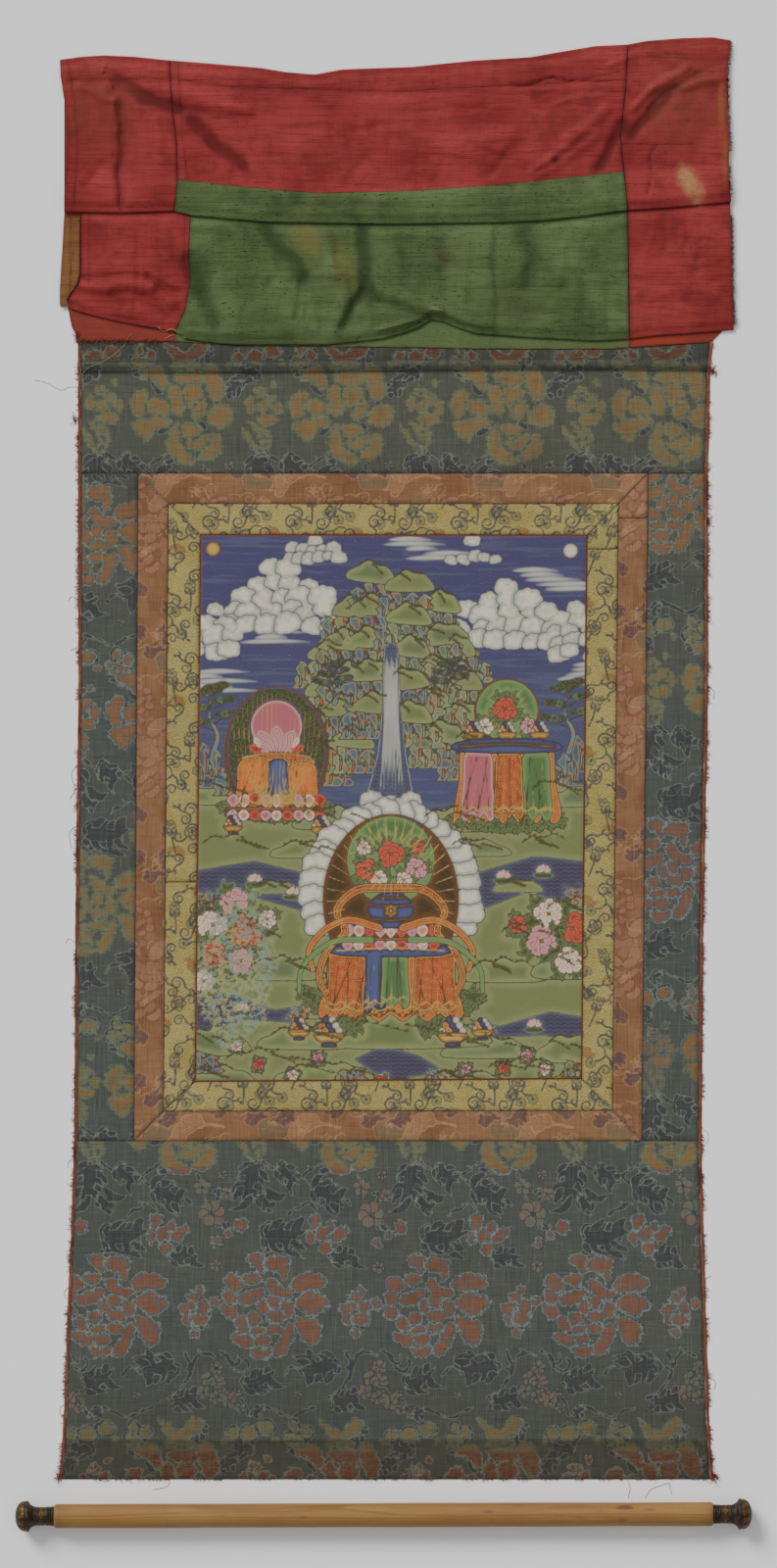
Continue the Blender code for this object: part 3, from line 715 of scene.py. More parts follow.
def fingered_leaf(pen: Pen, kinds: Sequence[str], length: float, fingers: int = 4, lean: float = 0.1) -> None:
    """A broad curling leaf with pointed fingers down both hands and pale veins.

    Args:
        pen: where its stalk starts; it points along the pen's Y.
        kinds: what its body and its last curling finger are drawn as.
        length: from stalk to tip.
        fingers: how many on each hand.
        lean: how far its tip bends aside, as a share of its length.
    """

    def rib(share: float) -> Point:
        """A point of the curved midrib."""
        return lean * length * (share * share - 0.35 * share) * 2.2, share * length

    for k in range(fingers):
        share = 0.08 + 0.62 * k / max(fingers - 1, 1)
        reach = length * (0.24 + 0.15 * math.sin(math.pi * (0.1 + 0.8 * share)) + 0.05 * math.sin(2.4 * k))
        for hand in (-1, 1):
            x, y = rib(share)
            size = reach * (1.0 + 0.18 * math.sin(2.1 * k + 1.3 * hand))
            bend = (x + hand * size * 0.6, y + size * 0.16)
            tip = (x + hand * size * 0.94, y + size * (0.66 + 0.18 * hand))
            pen.blade(kinds[(k + (hand > 0)) % len(kinds)], [(x, y), bend, tip], length * 0.12, 0.58)
    spine = [rib(share) for share in (0.0, 0.35, 0.7, 1.0)]
    pen.blade(kinds[0], spine, length * 0.17, 0.55)
    stalk = [
        (0.0, 0.0), (-0.12 * length, -0.05 * length), (-0.26 * length, 0.04 * length),
        (-0.3 * length, 0.16 * length)
    ]
    pen.line(kinds[-1], stalk, length * 0.045, length * 0.015)
    if length > 20:
        pen.line("pale" if "pale" in pen.chart.kinds else "gilt", spine[:3], 0.5, 0.15)


@dataclass(frozen=True)
class SlateSilk:
    """The mount's blue-grey silk: peonies, curling leaves and small blossoms in one loom repeat."""

    across: float = 177.0
    up: float = 406.0

    def chart(self) -> Chart:
        """One repeat. The origin is the middle of its full peony."""
        kinds = ("petal_a", "petal_b", "leaf_a", "leaf_b", "stem", "small_a", "small_b", "pale")
        made = Chart(kinds, -0.5 * self.across, -0.5 * self.up, self.across, self.up, 0.8, True, ("pale",))
        pen = Pen(made)
        self._stems(pen)
        self._leaves(pen)
        self._blossoms(pen)
        self._flowers(pen)
        return made

    def _stems(self, pen: Pen) -> None:
        """Branches, hooks and thin curling lines."""
        twigs = (
            ([(-23, 165), (-8, 152), (8, 146), (28, 142), (40, 132)], 1.3, 3),
            ([(28, 142), (40, 150), (51, 157)], 1.1, 1),
            ([(77, -51), (84, -69), (76, -86), (66, -98), (57, -101)], 1.5, 2),
            ([(84, -69), (91, -54), (103, -52), (110, -56)], 1.3, 1),
            ([(71, -94), (82, -104), (80, -112)], 1.3, 0),
            ([(-61, -50), (-52, -55), (-46, -64), (-40, -62), (-41, -54)], 1.2, 0),
            ([(-52, -58), (-44, -70), (-34, -72), (-29, -64), (-33, -58)], 1.2, 0),
            ([(14, 99), (20, 105), (28, 107), (36, 113), (44, 108), (47, 102)], 1.1, 1),
            ([(9, -76), (16, -68), (24, -68), (28, -75)], 1.0, 0),
            ([(55, 130), (58, 137), (63, 139), (68, 134)], 1.0, 0),
            ([(91, 145), (96, 132), (100, 116), (108, 101), (118, 84)], 0.9, 2),
            ([(-14, -111), (2, -118), (16, -123), (30, -116), (42, -112)], 1.2, 2),
            ([(-38, -103), (-33, -112), (-30, -123)], 1.0, 0),
        )  # fmt: skip
        for points, half, knots in twigs:
            twig(pen, "stem", points, half * 1.15, knots)
        lines = (
            [(14, 37), (30, 44), (46, 46), (62, 38), (76, 24), (87, 8)], [(20, 33), (34, 37), (48, 40)],
            [(46, 46), (52, 52), (47, 57), (42, 54)],
            [(76, 38), (88, 42), (96, 45), (104, 39), (112, 47), (116, 58)],
            [(60, -18), (74, -22), (86, -16), (92, -28)],
            [(32, -104), (44, -108), (52, -103), (60, -107), (54, -96)],
            [(-62, 36), (-70, 44), (-66, 54), (-74, 60)], [(96, 20), (104, 28), (100, 36)],
            [(40, 66), (48, 60), (58, 64)],
        )  # fmt: skip
        for points in lines:
            pen.line("pale", points, 0.5, 0.35)
        curls = (
            (68, 14, 20, 1), (104, 62, -40, 0.9), (60, -26, 80, 0.8), (-66, 62, 190, 0.8),
            (46, -72, 140, 0.8), (-46, -120, 30, 0.7), (92, 92, 250, 0.8), (8, 84, 60, 0.6),
            (-20, -88, 10, 0.6), (30, 168, 200, 0.8),
        )  # fmt: skip
        for x, y, turn, size in curls:
            curl(pen.at(x, y, turn, size), "pale", 6.5, 0.45)

    def _leaves(self, pen: Pen) -> None:
        """Dark curling leaves."""
        leaf = ("leaf_a", "leaf_b")
        places = (
            (-26, 156, 176, 44, 5, 0.16), (-20, 118, 240, 24, 3, 0.2), (2, 153, 226, 31, 4, -0.12),
            (42, 129, 250, 40, 5, 0.14), (50, 146, 300, 16, 2, 0.1), (-14, 76, 266, 50, 5, -0.14),
            (62, 50, 284, 32, 4, 0.12), (-12, 46, 2, 18, 3, 0.1), (-34, -88, 286, 38, 4, -0.16),
            (66, -62, 112, 44, 5, 0.16), (62, -106, 276, 34, 4, -0.2), (-16, -112, 150, 17, 3, 0.2),
            (92, -128, 205, 17, 3, 0.1), (76, -158, 290, 30, 4, 0.1), (-24, -160, 80, 28, 4, -0.1),
            (30, -164, 40, 27, 4, 0.1), (100, -8, 150, 22, 3, 0.1), (-52, 84, 60, 15, 2, 0.1),
            (112, 128, 200, 14, 2, 0.1), (-44, -168, 130, 26, 4, 0.1),
        )  # fmt: skip
        for x, y, turn, length, fingers, lean in places:
            fingered_leaf(pen.at(x, y, turn), leaf, length, fingers, lean)
        for path in (
            [(-26, 122), (-36, 108), (-52, 104)], [(-14, 130), (2, 118), (12, 122)],
            [(40, 128), (46, 140), (56, 144)]
        ):
            pen.blade("leaf_b", path, 4.0)
            pen.line("pale", path, 0.4, 0.1)
        for x, y in ((-36, 168), (76, 118), (20, 74), (-50, -108), (34, -50)):
            pen.blade("leaf_a", [(x, y), (x + 5, y - 3), (x + 8, y - 8)], 2.0)

    def _blossoms(self, pen: Pen) -> None:
        """Small pinkish blossoms in sprays, each petal outlined."""
        spots = (
            (96, 131, 9.5), (118, 145, 6), (123, 123, 7.5), (113, -68, 8), (103, -80, 8), (116, -84, 8),
            (98, -95, 8.5), (112, -101, 8), (126, -106, 8.5), (134, -98, 6), (138, -114, 6.5),
            (-64, -83, 8), (-56, -96, 6), (106, 101, 14.5), (-42, -96, 5), (113, 43, 7), (50, 96, 5),
            (60, -112, 5), (18, 62, 4), (-60, 66, 4.5), (24, -98, 5),
        )  # fmt: skip
        for number, (x, y, size) in enumerate(spots):
            count = 5 + number % 2
            for k in range(count):
                angle = math.radians(90 + 360 * k / count + 17 * number)
                spot = (x + 0.6 * size * math.cos(angle), y + 0.6 * size * math.sin(angle))
                pen.disc("small_a" if k % 2 else "small_b", *spot, 0.45 * size)
            pen.disc("stem", x, y, 0.18 * size)

    def _flowers(self, pen: Pen) -> None:
        """The full peony, the open one half a repeat away, and the ochre and orange small ones."""
        two = ("petal_a", "petal_b")
        for k, points in enumerate(FULL_PETALS):
            pen.area(two[k % 2], points, grow=FLOAT_INSET + 0.9)
        pen.line("pale", [(-34, 21), (-24, 25), (-12, 22)], 0.5)
        slivers = (
            [(-43, 37), (-35, 28), (-29, 25)], [(-37, 1), (-28, -3), (-19, -6)],
            [(-36, -20), (-28, -15), (-21, -13)], [(9, -6), (15, -10), (19, -13)],
            [(29, 18), (33, 12), (35, 6)], [(36, 14), (27, 6), (19, 2)],
        )  # fmt: skip
        middle = pen.at(76, -208)
        for points in slivers:
            middle.blade("leaf_a", points, 3.0)
        for k, points in enumerate(OPEN_PETALS):
            middle.area(two[k % 2], points, grow=FLOAT_INSET + 0.3)
        for x, y, size, tall in (
            (-5, 17, 7, 5), (-16, 4, 4.5, 8), (-4, 0, 6, 6), (6, 8, 6, 6), (15, 0, 4.5, 7),
            (3, -13, 12, 6)
        ):
            pen.disc(two[(x + 20) % 2], x - 18, y + 209, size + 1.6, tall + 1.6)
        for x, y, size, tall in (
            (87, 8, 6, 6), (78, -4, 7, 5), (97, -2, 6, 7), (80, -15, 5, 6), (93, -15, 9, 6),
            (84, -1, 5, 4)
        ):
            pen.disc(two[x % 2], x, y, size + 1.4, tall + 1.4)
        for x, y, size in (
            (110, 3, 5.0), (94, 16, 4.2), (88, -30, 4.6), (-38, 87, 6.4), (-52, 78, 3.6), (112, 70, 4.0)
        ):
            pen.disc("petal_b", x, y, size + 1.2, size * 1.1 + 1.2)
        frills = (
            [(39, 96), (46, 100), (52, 96), (47, 84), (42, 84)], [(46, 80), (56, 86), (60, 72), (50, 68)],
            [(62, 76), (70, 84), (80, 86), (78, 76), (66, 70)], [(38, 82), (44, 78), (42, 68), (36, 72)],
            [(50, 66), (60, 68), (62, 60), (54, 56)], [(58, 88), (64, 92), (66, 84), (60, 80)],
        )  # fmt: skip
        for k, points in enumerate(frills):
            pen.area(two[k % 2], points, grow=1.5)
        buds = (
            [(-53, -141), (-47, -136), (-42, -141), (-45, -148), (-51, -147)],
            [(-38, -140), (-30, -134), (-22, -138), (-22, -147), (-35, -148)],
            [(-18, -133), (-8, -129), (-2, -135), (-6, -141), (-16, -141)],
            [(17, -132), (21, -128), (24, -136), (20, -140)],
            [(28, -136), (35, -134), (38, -142), (30, -145)],
            [(12, -142), (24, -144), (30, -150), (14, -150)],
            [
                (46, -123), (55, -141), (64, -151), (78, -146), (92, -139), (94, -127), (84, -124),
                (72, -138), (56, -130),
            ],
        )  # fmt: skip
        for k, points in enumerate(buds):
            pen.area("leaf_b" if k < 6 else "leaf_a", points, grow=3.0 if k < 6 else 0.5)
            pen.area(two[k % 2], points, grow=1.2)
        for x, y in ((0, -148), (18, -152), (-8, -170), (-26, -178), (120, -150)):
            pen.disc("petal_a", x, y, 4.6, 4.2)
        for path in (
            [(-36, 196), (-24, 180), (-20, 156)], [(-46, 190), (-34, 172), (-22, 154)],
            [(-26, 192), (-14, 176), (-18, 156)]
        ):
            pen.blade("petal_b", path, 4.2)


@dataclass(frozen=True)
class RustSilk:
    """The outer border's orange-brown silk: pink peonies, grey pads, purple leaves and pale scrolls."""

    across: float = 128.0
    up: float = 246.0

    def chart(self) -> Chart:
        """One repeat."""
        kinds = ("bloom_a", "bloom_b", "pad", "spray", "ink", "pale")
        made = Chart(kinds, 0.0, 0.0, self.across, self.up, 0.8, True, ("pale",))
        pen = Pen(made)
        pen.line("spray", [(8, 60), (20, 76), (38, 84), (58, 80)], 1.4, 1.0)
        for x, y, turn, size in (
            (12, 64, 40, 1.0), (34, 88, 100, 0.9), (108, 30, -30, 1.1), (88, 236, 200, 0.9),
            (16, 214, 70, 1.0)
        ):
            fingered_leaf(pen.at(x, y, turn, size), ("spray", "spray"), 28, 3)
        for x, y, size in ((34, 30, 24), (112, 84, 21), (20, 172, 18)):
            rim = []
            for k in range(14):
                angle = 2 * math.pi * k / 14
                wave = size * (1 + 0.12 * math.sin(5 * angle))
                rim.append((x + wave * math.cos(angle), y + 0.85 * wave * math.sin(angle)))
            pen.area("pad", rim)
            for k in range(9):
                angle = math.radians(20 + 40 * k)
                end = (x + 0.8 * size * math.cos(angle), y + 0.7 * size * math.sin(angle))
                pen.line("pale", [(x, y), end], 0.4)
        for k, points in enumerate(FULL_PETALS):
            pen.at(82, 222, 30, 0.8).area(("bloom_a", "bloom_b")[k % 2], points, grow=2.9)
            pen.at(62, 34, 200, 0.5).area(("bloom_b", "bloom_a")[k % 2], points, grow=2.9)
        for x, y, turn, length in (
            (56, 92, 30, 30), (122, 8, 190, 26), (34, 206, 250, 30), (4, 100, 150, 26), (84, 82, -40, 24),
            (108, 98, 40, 22), (80, 116, 150, 24), (106, 130, -30, 26), (84, 152, 60, 24),
        ):
            fingered_leaf(pen.at(x, y, turn), ("ink", "ink"), length, 4, 0.2)
        scrolls = (
            (58, 58, 30), (6, 130, 160), (92, 60, -60), (30, 118, 210), (120, 176, -100), (60, 226, 40),
            (6, 236, 0), (84, 96, 120), (124, 124, 260), (98, 4, 90),
        )  # fmt: skip
        for x, y, turn in scrolls:
            scroll = pen.at(x, y, turn)
            curl(scroll, "pale", 7.0, 0.9, 1.2)
            scroll.line("pale", [(0, 0), (-5, -4), (-7, -11), (-3, -16)], 0.9, 0.6)
        for x, y in ((18, 6), (96, 106), (118, 52), (44, 66), (6, 200), (84, 200)):
            for turn in (0, 72, 144, 216, 288):
                pen.at(x, y, turn).line("pale", [(0, 1), (2.0, 5), (0, 8.4), (-2.0, 5), (0, 1)], 0.6)
        return made


@dataclass(frozen=True)
class GoldSilk:
    """The inner border's gold silk: dark tendrils with hooks, hanging buds, vine leaves and red sprigs."""

    across: float = 92.0
    up: float = 166.0

    def chart(self) -> Chart:
        """One repeat."""
        kinds = ("tendril", "bud", "sprig", "vine")
        made = Chart(kinds, 0.0, 0.0, self.across, self.up, 0.6, True, ("tendril", "bud", "sprig"))
        pen = Pen(made)
        for x, y, turn, size in (
            (20, 74, -50, 1.2), (62, 104, 160, 1.3), (84, 8, -20, 1.2), (38, 156, 60, 1.2),
            (48, 34, 190, 1.1)
        ):
            self._sprig(pen.at(x, y, turn, size))
        for x, y, hand, turn in ((7, 132, 1, 0), (38, 66, -1, 20), (68, 148, 1, -20), (80, 34, -1, 10)):
            self._hanging_bud(pen.at(x, y, turn, 1.25, hand))
        for x, y, hand, turn in ((20, 98, 1, 0), (58, 18, -1, 60), (48, 122, 1, 140), (86, 86, -1, -40)):
            self._vine(pen.at(x, y, turn, 1.2, hand))
        for x, y, hand, turn in ((10, 34, 1, 0), (32, 136, -1, 90), (68, 70, 1, 200), (46, 0, -1, 300)):
            self._spiral(pen.at(x, y, turn, 1.15, hand))
        branches = (
            (18, 52, 20, 7.5), (28, 116, 160, 7.5), (48, 88, -40, 7.0), (58, 52, 200, 7.0),
            (88, 114, 60, 7.5), (78, 128, -100, 6.0), (20, 12, 30, 6.5), (38, 24, -150, 7.0),
            (72, 6, 80, 6.5), (90, 56, 250, 6.5), (18, 156, 100, 6.5), (52, 154, 10, 7.0),
            (84, 162, -60, 6.0), (2, 86, 40, 6.0), (34, 44, 220, 6.0),
        )  # fmt: skip
        for k, (x, y, turn, size) in enumerate(branches):
            hooked = pen.at(x, y, turn, 1.0, 1 if k % 2 else -1)
            curl(hooked, "tendril", size, 1.05, 1.3)
            hooked.line("tendril", [(0, 0), (-3, -5), (-2, -11)], 1.05, 0.6)
            hooked.line("tendril", [(-2.4, -5), (-6, -3), (-7, -6)], 0.9, 0.6)
            hooked.disc("tendril", -2.4, -8.4, 1.9, 1.3)
        return made

    def _sprig(self, pen: Pen) -> None:
        """A branching spray drawn in red-brown line."""
        for fan in (-60, -30, 0, 30, 60):
            stem = pen.at(0, 0, fan)
            stem.line("sprig", [(0, 1), (1.4, 4.4), (0, 9)], 0.75, 0.5)
            stem.line("sprig", [(0.8, 5.0), (3.0, 6.4), (3.4, 8.6)], 0.6, 0.4)
            stem.line("sprig", [(0.8, 6.0), (-1.8, 7.0), (-2.6, 8.8)], 0.6, 0.4)

    def _hanging_bud(self, pen: Pen) -> None:
        """A tassel-like bud on a straight stalk."""
        pen.line("tendril", [(0, 0), (0.6, -8), (0, -18)], 1.0, 0.6)
        for x, y, size in (
            (-2.6, 1, 1.9), (2.4, 1.4, 1.8), (-2.8, 5, 1.9), (0, 4, 2.0), (3, 5.4, 1.8), (-1, 8.4, 1.8),
            (3.4, 9.4, 1.5)
        ):
            pen.disc("bud", x, y, size)
        for hand in (-1, 1):
            pen.line("tendril", [(0, -1), (3 * hand, -2.4), (4 * hand, 0.5)], 0.8)

    def _vine(self, pen: Pen) -> None:
        """Three lobed vine leaves on a forked stem."""
        pen.line("tendril", [(0, 0), (4, 3), (9, 3.4), (14, 7), (20, 6)], 1.0, 0.6)
        pen.line("tendril", [(9, 3.4), (10, -3), (14, -7)], 0.9, 0.6)
        for x, y, turn in ((-1, 0, 60), (14, 10, 0), (15, -8, 190)):
            leaf = pen.at(x, y, turn)
            for k in range(5):
                angle = math.radians(-30 + 60 * k)
                leaf.disc("vine", 2.6 * math.cos(angle), 3.0 + 2.6 * math.sin(angle), 2.3)
            leaf.disc("tendril", 0, 3.0, 1.3)

    def _spiral(self, pen: Pen) -> None:
        """A rosette of nested petal lines with two hooks."""
        for radius in (1.4, 4.0, 6.8):
            points = []
            for k in range(10):
                angle = 2 * math.pi * k / 9
                size = radius * (1 + 0.16 * math.cos(5 * angle + radius))
                points.append((size * math.cos(angle), size * math.sin(angle)))
            pen.line("tendril", points, 0.7)
        curl(pen.at(5, 5, -60), "tendril", 5.0, 0.9, 1.1)
        curl(pen.at(-5, -5, 130), "tendril", 5.0, 0.9, 1.1)


class Weft(Enum):
    """The pattern weft's colour, as the number that the cloth carries."""

    OCHRE = 0.0
    AMBER = 0.35
    ORANGE = 0.5
    RED = 1.0


def weave(graph: Graph, ribs: float = 0.9, picks: float = 0.7) -> Num:
    """Relief of a rib-faced cloth from 0 to 1: fine upright ribs crossed by finer picks."""
    wobble = graph.noise(14.0, 1.0) * 1.6
    across = (graph.x + wobble) * (2 * math.pi / ribs)
    along = (graph.y + wobble) * (2 * math.pi / picks)
    rib = across.sine() * 0.5 + 0.5
    pick = along.sine() * 0.5 + 0.5
    return rib * 0.5 + pick * 0.3 + graph.noise((0.5, 6.0, 4.0), 2.0) * 0.4


def threads(graph: Graph, colour: Any, pale: Tone, depth: float) -> bpy.types.NodeSocket:
    """The uneven warp and weft of an old silk: dark and pale threads both ways."""
    warp = graph.noise((1.3, 34.0, 8.0), 2.0, 0.7, seed=12.0)
    weft = graph.noise((30.0, 1.2, 8.0), 2.0, 0.7, seed=13.0)
    colour = graph.shade(colour, warp.rise(0.52, 0.74), depth)
    colour = graph.shade(colour, weft.rise(0.52, 0.74), depth * 0.8)
    colour = graph.mix(warp.rise(0.46, 0.24) * (depth * 0.9), colour, pale)
    return graph.mix(weft.rise(0.46, 0.24) * (depth * 0.7), colour, pale)


def soil_and_seam_shadow(graph: Graph, colour: Any, dark: Tone, depth: float = 0.5) -> bpy.types.NodeSocket:
    """Age on a mounted silk: grime along the seams with a painted shadow line in each seam, broad stains and
    small dark spots.
    """
    rim = graph.channel("rim")
    near = (rim + graph.noise(9.0, 2.0) * 3.0 - 1.5).rise(6.0, 0.3)
    colour = graph.mix(near * (depth * 0.4), colour, dark)
    # Painted shadow: a near-black line in the seam itself, within a millimetre of the piece's edge
    seam_shadow = rim.rise(1.0, 0.0)
    colour = graph.mix(seam_shadow * 0.75, colour, tone(44, 36, 32))
    broad = graph.noise(120.0, 3.0, 0.6, seed=2.0).rise(0.5, 0.72)
    colour = graph.mix(broad * (depth * 0.4), colour, dark)
    spot = graph.noise(5.0, 2.0, 0.6, seed=5.0).rise(0.7, 0.78)
    return graph.mix(spot * depth * 0.8, colour, dark)


@dataclass(frozen=True)
class SlateFinish:
    """Blue-grey figured silk: pale outlines, coloured floats and dark leaves on a ribbed ground, with painted
    shade along its creases and towards the bottom.
    """

    name: str = "slate_brocade_silk"
    ground: Tone = tone(101, 106, 101)
    ground_warm: Tone = tone(105, 107, 96)
    navy: Tone = tone(84, 84, 88)
    outline: Tone = tone(162, 168, 156)
    margin: Tone = tone(104, 118, 128)
    # soiled serves the grime and also the painted shade towards the bottom
    soiled: Tone = tone(66, 64, 54)
    pale: Tone = tone(158, 160, 142)

    def material(self) -> bpy.types.Material:
        """Builds it."""
        graph = Graph(self.name)
        weft = graph.channel("weft")
        jag = graph.noise((6.0, 0.8, 2.0), 1.0, seed=1.0) - 0.5
        fine = graph.noise((2.0, 0.7, 2.0), 1.0, seed=3.0) - 0.5
        broken = graph.noise(5.0, 2.0, seed=15.0).rise(0.25, 0.5) * 0.6 + 0.4

        high = graph.y.rise(60.0, 420.0)
        tint = graph.noise((70.0, 90.0, 30.0), 3.0, seed=6.0).rise(0.35, 0.65)
        colour = graph.mix((tint * 0.5 + high * 0.75).least(1.0), self.ground, self.ground_warm)

        drawn: Num | None = None
        sway = (graph.noise(7.0, 1.0, seed=22.0) - 0.5) * 5.0
        for label in ("leaf_a", "leaf_b", "stem"):
            shape = graph.channel(label) + fine * 0.9 + sway
            fill = within(shape, 0.2)
            line = band(shape, 0.4, 0.4, -0.45)
            colour = graph.mix(line * broken * 0.4, colour, self.outline)
            colour = graph.mix(fill * (0.82 + jag * 0.3), colour, self.navy)
            drawn = fill if drawn is None else drawn.most(fill)
        pink = graph.mix(graph.noise(40.0).rise(0.4, 0.6), tone(140, 142, 124), tone(162, 136, 120))
        for label in ("small_a", "small_b"):
            small = graph.channel(label) + fine * 0.6
            colour = graph.mix(band(small, 0.35, 0.4) * 0.55, colour, self.navy)
            colour = graph.mix(within(small, 0.5) * (0.5 + jag * 0.6), colour, pink)

        stops = [
            (0.0, tone(150, 132, 90)), (0.35, tone(162, 122, 84)), (0.5, tone(154, 108, 76)),
            (1.0, tone(140, 84, 64))
        ]
        dyed = graph.ramp(weft, stops)
        cores = [
            (0.0, tone(160, 120, 72)), (0.35, tone(164, 106, 66)), (0.5, tone(152, 94, 60)),
            (1.0, tone(134, 68, 52))
        ]
        deeper = graph.ramp(weft, cores)
        rims = [
            (0.0, tone(146, 148, 112)), (0.35, tone(126, 134, 122)), (0.5, self.margin),
            (1.0, tone(160, 140, 112))
        ]
        rim = graph.ramp(weft, rims)
        haze = weft.rise(0.35, 0.1)
        frill = (graph.noise(5.5, 2.0, 0.6, seed=21.0) - 0.5) * 13.0
        gaps = graph.noise((12.0, 1.0, 3.0), 1.0, seed=11.0).rise(0.52, 0.62)
        holes = graph.noise(7.0, 2.0, 0.6, seed=19.0).rise(0.56, 0.66)
        streak = graph.noise((16.0, 1.3, 4.0), 1.0, seed=9.0).rise(0.4, 0.64)
        for label in ("petal_a", "petal_b"):
            shape = graph.channel(label) + fine * 0.6 + frill
            colour = graph.mix(shape.rise(1.6, -2.2) * haze * (0.62 - gaps * 0.3), colour, rim)
            colour = graph.mix(within(shape, 0.0, 0.5) * (weft.rise(0.2, 0.5) * 0.6), colour, rim)
            edge = band(shape, 0.6, 0.4, 0.3)
            colour = graph.mix(edge * broken * (weft.rise(0.1, 0.45) * 0.62), colour, self.outline)
            fill = within(shape + jag * 3.4 + haze * 1.4, FLOAT_INSET, 0.5)
            core = graph.mix((shape.rise(-2.0, -7.0) * haze).most(streak * 0.7), dyed, deeper)
            colour = graph.mix(
                fill * (weft.rise(0.0, 0.4) * 0.12 + 0.74 - gaps.most(holes) * 0.55), colour, core
            )
            drawn = drawn.most(fill)
        colour = graph.mix(band(graph.channel("pale"), 0.0, 0.6, 0.2) * broken * 0.42, colour, self.outline)
        colour = threads(graph, colour, self.pale, 0.26)
        head = (graph.y + fine * 3.0).rise(455.0, 459.0)
        colour = graph.mix(head * 0.42, colour, tone(56, 60, 54))
        # Painted shade along the creases at the stick's ridge and above the hem
        crease = graph.channel("crease")
        colour = graph.mix(crease * 0.8, colour, tone(34, 34, 30))
        # Painted shade: darker towards the bottom, a painted fall-off of light, mixed in the soiled tone
        colour = graph.mix(graph.y.rise(-590.0, -730.0) * 0.24, colour, self.soiled)
        hem = (graph.y + fine * 3.0).rise(-719.0, -727.0)
        colour = graph.mix(hem * 0.34, colour, tone(74, 68, 48))
        colour = soil_and_seam_shadow(graph, colour, self.soiled)

        height = weave(graph) * 0.45 + drawn * 0.25 + graph.noise((26.0, 0.8, 8.0), 2.0, 0.6, seed=4.0) * 0.3
        return graph.close(colour, 0.74 - drawn * 0.12, height, 0.28, gloss=0.15)


@dataclass(frozen=True)
class RustFinish:
    """Orange-brown figured silk of the outer border."""

    name: str = "rust_brocade_silk"
    ground: Tone = tone(164, 128, 97)

    def material(self) -> bpy.types.Material:
        """Builds it."""
        graph = Graph(self.name)
        jag = graph.noise((5.0, 0.9, 2.0), 1.0, seed=1.0) - 0.5
        tint = graph.noise(34.0, 3.0, seed=2.0).rise(0.35, 0.68)
        colour = graph.mix(tint, self.ground, tone(150, 112, 83))
        drawn: Num | None = None
        looks = (
            ("spray", tone(194, 150, 114), tone(202, 166, 130), 0.5),
            ("pad", tone(140, 126, 102), tone(172, 150, 116), 0.7),
            ("bloom_a", tone(178, 140, 112), tone(150, 102, 88), 0.8),
            ("bloom_b", tone(172, 132, 106), tone(150, 102, 88), 0.76),
            ("ink", tone(112, 94, 96), tone(178, 138, 116), 0.74),
        )  # fmt: skip
        for label, inner, outline, depth in looks:
            shape = graph.channel(label) + jag * 1.4
            fill = within(shape, 1.0, 0.5)
            colour = graph.mix(fill * (depth + jag * 0.5), colour, inner)
            colour = graph.mix(band(shape, 0.6, 0.45) * 0.62, colour, outline)
            drawn = fill if drawn is None else drawn.most(fill)
        colour = graph.mix(within(graph.channel("pale"), 0.0, 0.5) * 0.55, colour, tone(206, 172, 130))
        colour = threads(graph, colour, tone(206, 158, 116), 0.3)
        colour = soil_and_seam_shadow(graph, colour, tone(100, 72, 54), 0.4)
        height = weave(graph) * 0.5 + drawn * 0.3 + graph.noise((14.0, 0.8, 4.0), 2.0, 0.6, seed=4.0) * 0.2
        return graph.close(colour, 0.74 - drawn * 0.1, height, 0.26, gloss=0.15)


@dataclass(frozen=True)
class GoldFinish:
    """Gold silk with a wavy twill ground and dark tendrils, of the inner border."""

    name: str = "gold_brocade_silk"
    ground: Tone = tone(196, 182, 123)

    def material(self) -> bpy.types.Material:
        """Builds it."""
        graph = Graph(self.name)
        sway = (graph.noise(7.0, 1.0, seed=5.0) - 0.5) * 9.0
        zig = ((graph.x * (2 * math.pi / 9.0)).sine() * 1.5 + graph.y + sway) * (2 * math.pi / 3.1)
        twill = zig.sine() * 0.5 + 0.5
        tint = graph.noise(26.0, 3.0, seed=2.0).rise(0.35, 0.68)
        colour = graph.mix(tint, self.ground, tone(186, 170, 107))
        breaks = graph.noise(5.0, 1.0, seed=8.0).rise(0.4, 0.6)
        colour = graph.mix(twill.rise(0.45, 0.85) * (breaks * 0.3 + 0.28), colour, tone(138, 124, 78))
        colour = graph.mix(twill.rise(0.4, 0.05) * 0.16, colour, tone(214, 198, 132))
        sprig = within(graph.channel("sprig"), -0.1, 0.4)
        colour = graph.mix(sprig * 0.62, colour, tone(156, 106, 74))
        vine = graph.channel("vine")
        colour = graph.mix(within(vine, 0.3, 0.3) * 0.5, colour, tone(122, 130, 104))
        colour = graph.mix(band(vine, 0.45, 0.3) * 0.72, colour, tone(86, 92, 96))
        bud = graph.channel("bud")
        colour = graph.mix(within(bud, 0.3, 0.3) * 0.4, colour, tone(122, 128, 112))
        colour = graph.mix(band(bud, 0.5, 0.3) * 0.75, colour, tone(82, 88, 96))
        stem = within(graph.channel("tendril"), -0.15, 0.4)
        colour = graph.mix(stem * (breaks * 0.2 + 0.66), colour, tone(82, 88, 98))
        colour = soil_and_seam_shadow(graph, colour, tone(112, 94, 58), 0.4)
        height = weave(graph, 0.7, 0.7) * 0.4 + twill * 0.4 + stem * 0.2
        return graph.close(colour, 0.66 + tint * 0.08, height, 0.26, gloss=0.15)


# ---- meshes ----------------------------------------------------------------------------------


